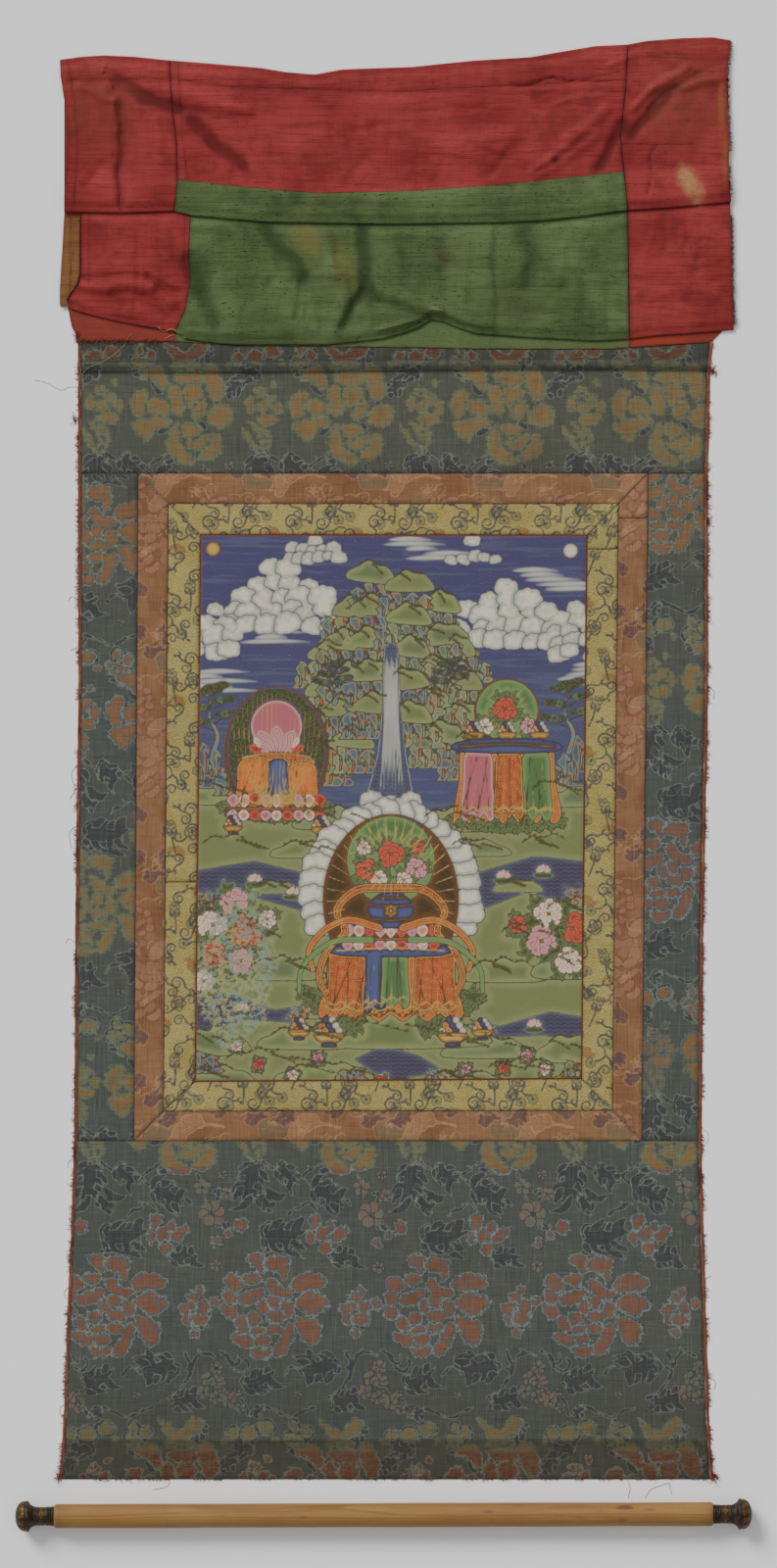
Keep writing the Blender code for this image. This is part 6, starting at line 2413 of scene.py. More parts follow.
UPPER_CREASES = (
    (-292, 765, -232, 743, 14, -1.3), (-206, 727, -158, 679, 14, -1.0), (-232, 760, -150, 742, 13, 1.6),
    (378, 785, 318, 764, 11, 1.4), (318, 764, 275, 714, 12, -1.3), (264, 726, 236, 680, 12, -1.5),
    (228, 717, 171, 673, 12, 1.2), (-288, 742, -288, 640, 10, -1.1), (20, 700, 140, 708, 16, 0.9),
    (-293, 778, -263, 755, 8, -1.1), (-263, 755, -230, 742, 8, -1.2), (-230, 742, -194, 739, 7, -0.8),
    (-213, 731, -190, 710, 9, -1.0), (-190, 710, -158, 679, 8, -1.2), (-158, 679, -148, 664, 6, -0.8),
    (-336, 769, -296, 753, 7, 1.0), (-296, 753, -292, 720, 6, 0.9), (-292, 720, -288, 708, 5, 0.7),
    (-291, 724, -291, 634, 3, -0.9), (-252, 730, -244, 712, 4, 0.5), (-296, 690, -328, 660, 9, -0.5),
    (379, 785, 345, 782, 6, -0.9), (345, 782, 318, 763, 6, -1.3), (318, 763, 293, 740, 7, -1.4),
    (293, 740, 275, 714, 6, -1.2), (332, 787, 296, 765, 7, 1.2), (296, 765, 275, 744, 6, 1.2),
    (264, 725, 239, 687, 6, -1.3), (228, 718, 190, 687, 6, -1.2), (190, 687, 171, 673, 5, -0.9),
    (245, 744, 205, 712, 8, 1.0), (139, 769, 188, 776, 3, -0.9), (188, 776, 267, 772, 3, -0.8),
    (120, 745, 262, 757, 4, 0.5), (300, 702, 293, 689, 2.5, -1.0), (293, 689, 293, 653, 2.5, -1.0),
    (-160, 690, -60, 690, 5, -0.35), (-110, 720, 10, 724, 7, -0.35), (40, 742, 180, 750, 6, -0.4),
    (60, 700, 110, 690, 6, 0.5), (98, 706, 140, 690, 7, -0.7), (140, 700, 116, 672, 6, -0.7),
    (-80, 690, -60, 664, 9, -0.5), (-20, 690, -40, 660, 10, -0.5), (340, 700, 372, 660, 10, 0.5),
    (-330, 800, -300, 788, 5, 0.6), (270, 800, 250, 790, 5, 0.6), (290, 815, 330, 790, 8, 0.7),
    (-306, 804, -308, 784, 3.0, 1.1), (-308, 784, -300, 768, 3.0, 1.0),
)  # fmt: skip

# Stitched lines of each tier, as x, y
LOWER_STITCHES = (
    ((-332.6, 630), (-332.6, 560)), ((-324.5, 630), (-324.5, 552)), ((-218, 628), (-220, 582), (-217, 553)),
    ((-60, 486), (20, 499), (52, 515)), ((268, 630), (270, 560), (271, 492)),
)  # fmt: skip
UPPER_STITCHES = (
    ((-236.2, 797), (-233.1, 748), (-228.4, 706), (-227.3, 665)),
    ((-227, 796.5), (-224, 750), (-221, 706), (-215.5, 666)),
    ((-348, 796), (-340, 752), (-337, 700), (-341, 640)),
    ((269.5, 813.5), (266.2, 768), (260.8, 712), (264.8, 675), (268.4, 633)),
    ((-345, 776), (-232, 777), (-171, 768), (15, 763), (195, 773), (260, 784)),
    ((262, 706), (300, 704), (340, 705)),
)  # fmt: skip


def lines_distance(lines: Iterable[Sequence[Point]], x: Array, y: Array) -> Array:
    """How far places are from the nearest of several lines."""
    best = np.full(np.shape(x), 99.0)
    for points in lines:
        path = np.asarray(points, dtype=float)
        best = np.minimum(best, line_distance(x, y, path, np.zeros(len(path))))
    return best


def crossing(table: Table, shift: float = 0.0) -> Callable[[Array], Array]:
    """A line that crosses the veil, as a function of x, moved up by a shift."""

    def line(x: Array) -> Array:
        """y of the line."""
        return at(table, x) + shift

    return line


def flat_layer(height: float) -> Callable[[Array, Array], Array]:
    """The centre height of a layer that lies flat."""

    def level(x: Array, y: Array) -> Array:
        """Its height everywhere."""
        return np.full_like(y, height)

    return level


Station = tuple[str, Callable[[Array], tuple[Array, Array]]]


@dataclass
class Veil:
    """The silk veil: folded behind itself twice, in five pieces."""

    columns: tuple[int, int] = (160, 44)
    turn_steps: int = 6

    def build(self) -> list[bpy.types.Object]:
        """Builds every piece of the veil."""
        tier, top = crossing(TIER_FOLD), crossing(VEIL_TOP)
        seam_low, seam_high = crossing(GREEN_TOP_SEAM, -GAP / 2), crossing(GREEN_TOP_SEAM, GAP / 2)
        base = self._back_and_lower()
        green = base + self._run("upper", tier, seam_low, 14, self._upper_front, REACH_BACK, 0.0)
        crown = self._run("upper", seam_high, top, 58, self._upper_front, 0.0, REACH_BACK) + self._hem()
        full = base + self._run("upper", tier, top, 72, self._upper_front, REACH_BACK, REACH_BACK)
        full += self._hem()
        red, leaf = SilkFinish.red(), SilkFinish.green()
        wide, narrow = self.columns
        return [
            self._piece("veil_green", SEAM_LEFT, SEAM_RIGHT, green, wide, leaf, "veil_green"),
            self._piece("veil_top", SEAM_LEFT, SEAM_RIGHT, crown, wide, red, "veil_red"),
            self._piece("veil_left", VEIL_LEFT, SEAM_LEFT, full, narrow, red, "veil_red"),
            self._piece(
                "veil_right", SEAM_RIGHT, VEIL_RIGHT, full, narrow - 6, red, "veil_red"
            ),
            self._facing(),
        ]

    def _run(
        self,
        tables: str,
        start: Callable[[Array], Array],
        end: Callable[[Array], Array],
        steps: int,
        level: Callable[[Array, Array], Array],
        reach_start: float,
        reach_end: float,
    ) -> list[Station]:
        """Stations of one layer between two lines, kept back from its folds.

        Args:
            tables: which of the edge tables hold there.
            start, end: the lines, each a function of x.
            steps: how many spans.
            level: the layer's centre height.
            reach_start, reach_end: how far it stays from the lines.
        Returns:
            The stations.
        """
        made: list[Station] = []
        for k in range(steps + 1):

            def place(x: Array, share: float = k / steps) -> tuple[Array, Array]:
                """y and height of this station."""
                y_start, y_end = start(x), end(x)
                way = 1.0 if float(np.mean(y_end - y_start)) > 0 else -1.0
                y_start, y_end = y_start + way * reach_start, y_end - way * reach_end
                y = y_start + share * (y_end - y_start)
                return y, level(x, y)

            made.append((tables, place))
        return made

    def _turn(
        self, tables: str, fold: Callable[[Array], Array], way: int, down: float, up: float
    ) -> list[Station]:
        """Stations round a fold whose outside lies on a line; way is 1 where it bulges to +Y."""
        radius = LAYER_PITCH / 2
        made: list[Station] = []
        for k in range(1, self.turn_steps):

            def place(x: Array, angle: float = math.pi * k / self.turn_steps) -> tuple[Array, Array]:
                """y and height of this station."""
                centre = fold(x) - way * REACH_BACK
                height = (down + up) / 2 + (down - up) / 2 * math.cos(angle)
                return centre + way * radius * math.sin(angle), np.full_like(centre, height)

            made.append((tables, place))
        return made

    def _back_and_lower(self) -> list[Station]:
        """From the sewn edge to the fold at the foot of the upper tier."""
        sewn, back = crossing(SEWN_EDGE, SEWN_GAP), crossing(VEIL_HEM_CREASE, -BACK_FOLD_DROP)
        foot, tier, tuck = crossing(VEIL_BOTTOM), crossing(TIER_FOLD), crossing(TIER_FOLD, TUCK_DEPTH)

        def sewn_layer(x: Array, y: Array) -> Array:
            """The hidden layer, slightly uneven where it shows under the lower tier."""
            uneven = 0.25 * (1 + wander(x, y, 9.0, 41.0))
            return LAYER[0] + uneven * ease((y - sewn(x)) / 4.0) * ease((540 - y) / 20)

        made = self._run("back", sewn, back, 18, sewn_layer, 0.0, REACH_BACK)
        made += self._turn("back", back, 1, LAYER[0], LAYER[1])
        made += self._run("back", back, foot, 3, flat_layer(LAYER[1]), REACH_BACK, REACH_BACK)
        made += self._turn("lower", foot, -1, LAYER[1], LAYER[2])
        made += self._run("lower", foot, tuck, 64, self._lower_front, REACH_BACK, REACH_BACK)
        made += self._turn("lower", tuck, 1, LAYER[2], LAYER[3])
        made += self._run("tuck", tuck, tier, 3, flat_layer(LAYER[3]), REACH_BACK, REACH_BACK)
        return made + self._turn("upper", tier, -1, LAYER[3], LAYER[4])

    def _hem(self) -> list[Station]:
        """The free hem: over the top edge and a little way back under it."""
        top, crease = crossing(VEIL_TOP), crossing(VEIL_HEM_CREASE)
        made = self._turn("upper", top, 1, LAYER[1], LAYER[0])
        return made + self._run("upper", top, crease, 3, flat_layer(LAYER[0]), REACH_BACK, 0.0)

    def _drape(
        self, creases: Iterable[Sequence[float]], stitches: Any, x: Array, y: Array, low: Array, high: Array
    ) -> Array:
        """Lift of a front layer off its lowest level, dying out towards its two folds."""
        near = ease((y - low - 3.0) / 9.0) * ease((high - y - 3.0) / 9.0)
        ripple = 0.3 * wander(x, y, 30.0, 51.0) + 0.22 * wander(x * 1.6, y, 13.0, 52.0)
        ripple += 0.1 * wander(x, y * 1.5, 6.0, 53.0)
        sewn = -0.35 * ease(1.0 - lines_distance(stitches, x, y) / 2.6)
        sewn += 0.16 * wander(x, y, 4.0, 54.0) * ease(1.0 - lines_distance(stitches, x, y) / 9.0)
        rise = crease_height(creases, x + 3.5 * wander(x, y, 24.0, 55.0), y + 3.5 * wander(x, y, 26.0, 56.0))
        return np.maximum(near * (VEIL_LOFT + 2.3 * rise + 1.3 * ripple + sewn), -0.1 * near)

    def _lower_front(self, x: Array, y: Array) -> Array:
        """Centre height of the lower tier's front."""
        low, high = at(VEIL_BOTTOM, x), at(TIER_FOLD, x)
        return LAYER[2] + self._drape(LOWER_CREASES, LOWER_STITCHES, x, y, low, high)

    def _upper_front(self, x: Array, y: Array) -> Array:
        """Centre height of the upper tier's front: high over the tuck, lower step by step."""
        past_tuck = ease((y - at(TIER_FOLD, x) - TUCK_DEPTH - 3.0) / 18.0)
        past_back = ease((y - at(VEIL_HEM_CREASE, x) + BACK_FOLD_DROP - 3.0) / 8.0)
        level = LAYER[4] - 2 * LAYER_PITCH * past_tuck - LAYER_PITCH * past_back
        low, high = at(TIER_FOLD, x), at(VEIL_TOP, x)
        return level + self._drape(UPPER_CREASES, UPPER_STITCHES, x, y, low, high - 2.0)

    def _edge(self, edge: Edge, tables: str, y: Array) -> Array:
        """x of an upright edge in one layer; in the tuck it runs from one tier's to the other's."""
        if tables != "tuck":
            return at(edge[tables], y)
        low, high = at(edge["upper"], y), at(edge["lower"], y)
        share = ease((y - at(TIER_FOLD, high) - REACH_BACK) / (TUCK_DEPTH - 2 * REACH_BACK))
        return low + share * (high - low)

    def _piece(
        self,
        name: str,
        left: Edge,
        right: Edge,
        stations: list[Station],
        columns: int,
        finish: bpy.types.Material,
        slot: str,
    ) -> bpy.types.Object:
        """One piece: a sheet of even thickness along its stations.

        Args:
            name: its solid.
            left, right: its upright edges.
            stations: its layers, in order along the cloth.
            columns: how many spans across.
            finish: its material.
            slot: handed to settle, which does not use it.
        Returns:
            The piece.
        """
        shares = np.linspace(0, 1, columns + 1)
        centre = np.zeros((len(stations), columns + 1, 3))
        tier = np.zeros(len(stations))
        for i, (tables, place) in enumerate(stations):
            x = np.zeros(columns + 1)
            for _ in range(6):  # the edges depend on y and y on x, so close in on both
                y, z = place(x)
                x_left = self._edge(left, tables, y) + GAP / 2
                x_right = self._edge(right, tables, y) - GAP / 2
                x = x_left + shares * (x_right - x_left)
            centre[i] = np.stack([x, y, z], axis=-1)
            tier[i] = {"back": 0.0, "lower": 1.0, "tuck": 1.0, "upper": 2.0}[tables]
        along = np.gradient(centre, axis=0)
        normal = np.stack([np.zeros_like(along[..., 0]), -along[..., 2], along[..., 1]], axis=-1)
        normal /= np.maximum(np.linalg.norm(normal, axis=-1, keepdims=True), 1e-6)
        upper, lower = centre + normal * SILK_THICK / 2, centre - normal * SILK_THICK / 2
        thing = closed_sheet(name + "_cloth", upper, lower, finish)
        x, y = centre[..., 0], centre[..., 1]
        tiers = np.broadcast_to(tier[:, None], x.shape)
        stitches = np.where(
            tiers > 1.5, lines_distance(UPPER_STITCHES, x, y), lines_distance(LOWER_STITCHES, x, y)
        )
        stray_x, stray_y = x + 5.0 * wander(x, y, 24.0, 55.0), y + 5.0 * wander(x, y, 26.0, 56.0)
        # The fold valleys, for the painted shade in them
        hollows = []
        for creases in (LOWER_CREASES, UPPER_CREASES):
            valleys = [(*c[:4], 1.6 * c[4], -min(c[5], 0.0)) for c in creases]
            hollows.append(crease_height(valleys, stray_x, stray_y))
        deep = np.where(tiers > 1.5, hollows[1], hollows[0])
        side = np.minimum(x - x[:, :1], x[:, -1:] - x)
        values = {
            "cloth_x": x - x.mean(), "cloth_y": y + 100.0 * tiers, "tier": tiers, "stitch": stitches,
            "deep": deep, "side": side,
            "fold": np.minimum(np.abs(y - at(TIER_FOLD, x)), np.abs(y - at(VEIL_BOTTOM, x))),
        }  # fmt: skip
        dress(thing, values)
        settle(thing, slot, name)
        return thing

    def _facing(self) -> bpy.types.Object:
        """The tan strip along the left of the lower tier."""
        low, high, rows, columns = 525.0, 626.0, 80, 14
        y = np.linspace(low, high, rows)
        left = np.stack([at(FACING_LEFT, y), y], axis=-1)
        right = np.stack([at(FACING_RIGHT, y), y], axis=-1)
        grid = between(left, right, columns)
        x, y = grid[..., 0], grid[..., 1]
        stitch = np.abs(x + 344.5 - 0.01 * (y - 570))
        z = LAYER[2] + SILK_THICK / 2 + 0.15 * wander(x, y, 8.0, 61.0) - 0.2 * ease(1.0 - stitch / 1.6)
        under = np.full_like(x, LAYER[2] - SILK_THICK / 2)
        thing = closed_sheet(
            "veil_facing_cloth", np.stack([x, y, z], axis=-1), np.stack([x, y, under], axis=-1),
            SilkFinish.tan()
        )
        side = rim_distance(grid)
        zero = np.zeros_like(x)
        values = {
            "cloth_x": x, "cloth_y": y, "tier": zero + 1.0, "stitch": stitch, "deep": zero, "side": side,
            "fold": zero + 20.0
        }
        dress(thing, values)
        settle(thing, "veil_facing", "veil_facing")
        return thing


@dataclass(frozen=True)
class SilkFinish:
    """Plain rib-woven silk with slubs, soiling, sewn lines and stains, with painted shade in its fold
    valleys, near its folds and round its sewn lines, and painted light on the hidden layer's strip.
    """

    name: str
    ground: Tone
    bright: Tone
    shade: Tone
    slub: Tone
    # worn: the hidden strip's tone, worn fuzz and also painted light
    worn: Tone
    fleck: float

    @staticmethod
    def red() -> bpy.types.Material:
        """The red silk of the veil's top and sides."""
        look = SilkFinish(
            "red_veil_silk",
            ground=tone(160, 66, 66),
            bright=tone(178, 80, 78),
            shade=tone(108, 42, 42),
            slub=tone(92, 34, 34),
            worn=tone(146, 80, 64),
            fleck=0.5,
        )
        return look.material()

    @staticmethod
    def green() -> bpy.types.Material:
        """The middle's green silk."""
        look = SilkFinish(
            "green_veil_silk",
            ground=tone(101, 117, 76),
            bright=tone(118, 135, 92),
            shade=tone(58, 74, 44),
            slub=tone(40, 52, 30),
            worn=tone(116, 132, 90),
            fleck=1.0,
        )
        return look.material()

    @staticmethod
    def tan() -> bpy.types.Material:
        """The facing's tan silk."""
        look = SilkFinish(
            "tan_veil_silk",
            ground=tone(146, 104, 68),
            bright=tone(160, 118, 80),
            shade=tone(104, 66, 42),
            slub=tone(88, 56, 36),
            worn=tone(146, 104, 68),
            fleck=0.4,
        )
        return look.material()

    def material(self) -> bpy.types.Material:
        """Builds it."""
        graph = Graph(self.name)
        across, along = graph.channel("cloth_x"), graph.channel("cloth_y")
        cloth = graph.at(across, along, 0.0)
        tint = graph.noise(70.0, 3.0, 0.6, seed=1.0).rise(0.34, 0.66)
        colour = graph.mix(tint, self.ground, self.bright)
        picks = graph.noise((34.0, 0.9, 9.0), 3.0, 0.65, cloth, 2.0)
        ends = graph.noise((0.8, 46.0, 9.0), 2.0, 0.6, cloth, 3.0)
        colour = graph.shade(colour, picks.rise(0.48, 0.74), 0.5)
        colour = graph.mix(picks.rise(0.46, 0.24) * 0.5, colour, self.bright)
        colour = graph.shade(colour, ends.rise(0.5, 0.8), 0.22)
        banded = graph.noise((260.0, 9.0, 9.0), 2.0, 0.5, cloth, 4.0).rise(0.5, 0.7)
        colour = graph.mix(banded * 0.22, colour, self.shade)
        mottle = graph.noise(38.0, 4.0, 0.65, seed=5.0).rise(0.48, 0.72)
        colour = graph.mix(mottle * 0.42, colour, self.shade)
        crowd = graph.noise(60.0, 2.0, seed=9.0) * 0.1
        slub = (graph.noise((9.0, 1.5, 3.0), 2.0, 0.6, cloth, 6.0) + crowd).rise(0.71, 0.76)
        colour = graph.mix(slub * self.fleck * 0.9, colour, self.slub)
        fleck = (graph.noise((4.0, 2.2, 3.0), 1.0, 0.5, cloth, 7.0) + crowd).rise(0.74, 0.78)
        colour = graph.mix(fleck * self.fleck * 0.8, colour, self.slub)
        # Painted shade in the fold valleys
        deep = graph.channel("deep") + (graph.noise(6.0, 2.0) - 0.5) * 0.3
        colour = graph.mix(deep.rise(0.0, 2.6) * 0.8, colour, self.shade)
        # The hidden layer's strip under the lower tier: worn fuzz, and also painted light that lifts it out
        # of the shade there
        sewn = graph.channel("tier").rise(0.5, 0.0)
        fuzz = graph.noise((2.2, 1.6, 3.0), 3.0, 0.7, seed=16.0).rise(0.35, 0.65)
        colour = graph.mix(sewn * (fuzz * 0.5 + 0.35), colour, self.worn)
        # Painted shade near the folds at the tier's foot and at the lower tier's bottom
        fold = graph.channel("fold")
        colour = graph.mix(fold.rise(5.0, 0.5) * 0.28, colour, self.shade)
        # Painted shade in the puckers round the sewn lines; the dashes below are the thread itself
        stitch = graph.channel("stitch") + (graph.noise(7.0) - 0.5) * 0.8
        colour = graph.mix(stitch.rise(5.5, 0.5) * 0.24, colour, self.shade)
        dash = ((graph.y + graph.x) / 4.4 % 1.0 - 0.5).rise(-0.42, -0.1)
        colour = graph.mix(stitch.rise(0.75, 0.25) * (dash * 0.5 + 0.4), colour, self.slub)
        side = graph.channel("side") + (graph.noise(5.0) - 0.5) * 2.0
        colour = graph.mix(side.rise(4.5, 0.2) * 0.3, colour, self.shade)
        colour = graph.mix(side.rise(0.8, 0.0) * 0.5, colour, self.slub)
        colour = self._stains(graph, colour)
        height = picks * 0.5 + ends * 0.3 + slub * 0.4 + stitch.rise(0.0, 1.6) * 0.6
        return graph.close(colour, 0.6 + picks * 0.16, height, 0.22, gloss=0.15)

    def _stains(self, graph: Graph, colour: Any) -> Any:
        """Brown and ochre stains, a faded patch and the yellowed right edge."""
        ragged = (graph.noise(12.0, 4.0, 0.7, seed=8.0) - 0.5) * 1.9
        patchy = graph.noise((5.0, 2.0, 4.0), 3.0, 0.6, seed=18.0).rise(0.3, 0.6) * 0.45 + 0.55
        for x, y, wide, tall, lean, stain, depth in (
            (68.6, 581, 10, 11, 0.0, tone(92, 62, 44), 0.6),
            (-84.0, 600, 20, 24, 0.3, tone(150, 128, 62), 0.5),
            (-44.0, 572, 17, 30, 0.2, tone(142, 122, 60), 0.42),
            (150.0, 528, 30, 10, 0.0, tone(78, 66, 42), 0.45),
            (338.0, 660, 15, 25, 0.4, tone(196, 162, 116), 0.95),
            (372.0, 745, 5, 34, 0.0, tone(172, 122, 70), 0.8),
            (376.0, 690, 4, 34, 0.0, tone(158, 110, 66), 0.7),
            (300.0, 488, 44, 8, 0.0, tone(190, 84, 52), 0.6),
            (-330.0, 740, 9, 60, 0.0, tone(128, 66, 48), 0.4),
            (-60.0, 690, 30, 30, 0.4, tone(120, 56, 46), 0.4),
            (-312.0, 748, 56, 62, 0.0, tone(134, 80, 62), 0.5),
            (334.0, 752, 58, 66, 0.0, tone(146, 90, 70), 0.5),
        ):  # fmt: skip
            u = (graph.x - x + (graph.y - y) * lean) / wide
            v = (graph.y - y) / tall
            spot = (u * u + v * v + ragged).rise(1.3, -0.5)
            colour = graph.mix(spot * depth * patchy, colour, stain)
        return colour


# ---- edging, stitching, fraying and loose threads --------------------------------------------


class Recipe:
    """A Geometry Nodes tree that makes one kind of small repeated thing along drawn paths."""

    def __init__(self, name: str, sizes: dict[str, float | int]) -> None:
        """Starts a tree.

        Args:
            name: what the tree is called.
            sizes: its named inputs with their values, lengths in millimetres.
        """
        self.tree = bpy.data.node_groups.new(name, "GeometryNodeTree")
        self.sizes = sizes
        face = self.tree.interface
        face.new_socket("Paths", in_out="INPUT", socket_type="NodeSocketGeometry")
        for key, value in sizes.items():
            kind = "NodeSocketInt" if isinstance(value, int) else "NodeSocketFloat"
            face.new_socket(key, in_out="INPUT", socket_type=kind)
        face.new_socket("Made", in_out="OUTPUT", socket_type="NodeSocketGeometry")
        self.inputs = self.node("NodeGroupInput", {}, {})
        self.paths = self.node("GeometryNodeMeshToCurve", {}, {0: self.inputs.outputs[0]}).outputs[0]

    def node(self, kind: str, settings: dict[str, Any], sockets: dict[Any, Any]) -> bpy.types.Node:
        """Adds one node: its type, its properties and its inputs."""
        return add_node(self.tree, kind, settings, sockets)

    def size(self, name: str) -> bpy.types.NodeSocket:
        """One of the tree's named inputs."""
        return self.inputs.outputs[name]

    def maths(self, operation: str, first: Any, second: Any) -> bpy.types.NodeSocket:
        """The result of one sum on numbers."""
        return self.node("ShaderNodeMath", {"operation": operation}, {0: first, 1: second}).outputs[0]

    def chance(self, low: Any, high: Any, salt: int = 0, kind: str = "FLOAT") -> bpy.types.NodeSocket:
        """A random value for each point, between two limits."""
        seed = self.maths("ADD", self.size("Seed"), float(salt))
        first, last, out = {"FLOAT": (2, 3, 1), "FLOAT_VECTOR": (0, 1, 0)}[kind]
        made = self.node(
            "FunctionNodeRandomValue", {"data_type": kind}, {first: low, last: high, "Seed": seed}
        )
        return made.outputs[out]

    def build(
        self, name: str, instances: bpy.types.NodeSocket, paths: Sequence[Array], material: bpy.types.Material
    ) -> bpy.types.Object:
        """Ends the tree, runs it along paths and keeps what it makes as a plain mesh.

        Args:
            name: the object's name.
            instances: the tree's last geometry.
            paths: points in millimetres, one array for each line.
            material: its finish.
        Returns:
            The object.
        """
        real = self.node("GeometryNodeRealizeInstances", {}, {0: instances}).outputs[0]
        real = self.node("GeometryNodeSetShadeSmooth", {}, {0: real}).outputs[0]
        real = self.node("GeometryNodeSetMaterial", {}, {0: real, "Material": material}).outputs[0]
        self.node("NodeGroupOutput", {}, {0: real})
        edges, first = [], 0
        for path in paths:
            edges += [(k, k + 1) for k in range(first, first + len(path) - 1)]
            first += len(path)
        lines = bpy.data.meshes.new(name + "_lines")
        lines.from_pydata((np.concatenate(paths) * MM).tolist(), edges, [])
        made = bpy.data.objects.new(name, lines)
        bpy.context.collection.objects.link(made)
        modifier = made.modifiers.new("made", "NODES")
        modifier.node_group = self.tree
        for item in self.tree.interface.items_tree:
            if item.in_out == "INPUT" and item.name in self.sizes:
                modifier[item.identifier] = self.sizes[item.name]
        seen = made.evaluated_get(bpy.context.evaluated_depsgraph_get())
        mesh = bpy.data.meshes.new_from_object(seen)
        made.modifiers.clear()
        made.data = mesh
        mesh.name = name
        bpy.data.meshes.remove(lines)
        return made


def stitching(
    name: str, paths: Sequence[Array], finish: bpy.types.Material, spacing: float
) -> bpy.types.Object:
    """Running stitches: short raised floats of thread, end to end along lines.

    Args:
        name: the object's name.
        paths: the sewn lines, on the cloth's surface.
        finish: the thread's material.
        spacing: from one stitch to the next, in millimetres.
    Returns:
        The stitches, one mesh.
    """
    sizes = {"Spacing": spacing, "Length": spacing * 0.68, "Thickness": 0.42, "Seed": 5}
    recipe = Recipe("running_stitch", sizes)
    step = recipe.maths("MULTIPLY", recipe.size("Spacing"), MM)
    points = recipe.node(
        "GeometryNodeResampleCurve", {"mode": "LENGTH"}, {"Curve": recipe.paths, "Length": step}
    )
    along = recipe.node("GeometryNodeInputTangent", {}, {}).outputs[0]
    turn = recipe.node("FunctionNodeAlignRotationToVector", {"axis": "X"}, {"Vector": along}).outputs[0]
    thick = recipe.maths("MULTIPLY", recipe.size("Thickness"), MM)
    long = recipe.maths("MULTIPLY", recipe.size("Length"), MM)
    long = recipe.maths("MULTIPLY", long, recipe.chance(0.75, 1.15))
    shape = recipe.node("ShaderNodeCombineXYZ", {}, {0: long, 1: thick, 2: thick}).outputs[0]
    bead = recipe.node("GeometryNodeMeshUVSphere", {}, {"Segments": 5, "Rings": 3, "Radius": 0.5}).outputs[0]
    sockets = {"Points": points.outputs[0], "Instance": bead, "Rotation": turn, "Scale": shape}
    placed = recipe.node("GeometryNodeInstanceOnPoints", {}, sockets).outputs[0]
    return recipe.build(name, placed, paths, finish)


@dataclass(frozen=True)
class Fray:
    """Broken fibres that stand out from a worn edge, thicker in some stretches than in others."""

    count: int
    heading: float
    length: float = 4.0
    thickness: float = 0.22
    spread: float = 1.0
    bare: float = 0.46
    seed: int = 3

    def build(self, name: str, finish: bpy.types.Material, *paths: Array) -> bpy.types.Object:
        """Makes them along edges.

        Args:
            name: the object's name.
            paths: points along each edge, in millimetres.
            finish: the fibres' material.
        Returns:
            The fibres, one mesh.
        """
        sizes = {
            "Count": self.count, "Heading": self.heading, "Length": self.length, "Seed": self.seed,
            "Thickness": self.thickness, "Spread": self.spread, "Bare": self.bare,
        }  # fmt: skip
        recipe = Recipe("frayed_edge", sizes)
        points = recipe.node(
            "GeometryNodeResampleCurve", {"mode": "COUNT"},
            {"Curve": recipe.paths, "Count": recipe.size("Count")}
        )
        shaken = recipe.chance((-0.0006, -0.0006, -0.0003), (0.0006, 0.0006, 0.0005), 4, "FLOAT_VECTOR")
        points = recipe.node(
            "GeometryNodeSetPosition", {}, {"Geometry": points.outputs[0], "Offset": shaken}
        ).outputs[0]
        clump = recipe.node("ShaderNodeTexNoise", {}, {"Scale": 34.0, "Detail": 2.0}).outputs["Fac"]
        kept = recipe.node(
            "FunctionNodeCompare", {"data_type": "FLOAT"}, {0: clump, 1: recipe.size("Bare")}
        ).outputs[0]
        bend = {
            "Resolution": 3, "Start": (0.0, 0.0, 0.0), "Middle": (0.55, 0.16, 0.06),
            "End": (1.0, 0.5, -0.02)
        }
        hair = recipe.node("GeometryNodeCurveQuadraticBezier", {}, bend).outputs[0]
        radius = recipe.maths("DIVIDE", recipe.size("Thickness"), recipe.size("Length"))
        ring = recipe.node(
            "GeometryNodeCurvePrimitiveCircle", {}, {"Resolution": 3, "Radius": radius}
        ).outputs[0]
        tube = {"Curve": hair, "Profile Curve": ring, "Fill Caps": True}
        hair = recipe.node("GeometryNodeCurveToMesh", {}, tube).outputs[0]
        low = recipe.maths("SUBTRACT", recipe.size("Heading"), recipe.size("Spread"))
        high = recipe.maths("ADD", recipe.size("Heading"), recipe.size("Spread"))
        low = recipe.node("ShaderNodeCombineXYZ", {}, {0: -2.4, 1: -0.3, 2: low}).outputs[0]
        high = recipe.node("ShaderNodeCombineXYZ", {}, {0: 2.4, 1: 0.06, 2: high}).outputs[0]
        turn = recipe.chance(low, high, 2, "FLOAT_VECTOR")
        long = recipe.maths("MULTIPLY", recipe.size("Length"), recipe.chance(0.25 * MM, 1.1 * MM, 1))
        sockets = {"Points": points, "Selection": kept, "Instance": hair, "Rotation": turn, "Scale": long}
        placed = recipe.node("GeometryNodeInstanceOnPoints", {}, sockets).outputs[0]
        made = recipe.build(name, placed, paths, finish)
        places = np.empty(3 * len(made.data.vertices), dtype=np.float32)
        made.data.vertices.foreach_get("co", places)
        height = places[2::3] / MM
        places[2::3] = np.where(height < 0.3, 0.05 + 0.25 * np.exp((height - 0.3) / 0.25), height) * MM
        made.data.vertices.foreach_set("co", places)
        made.data.update()
        return made


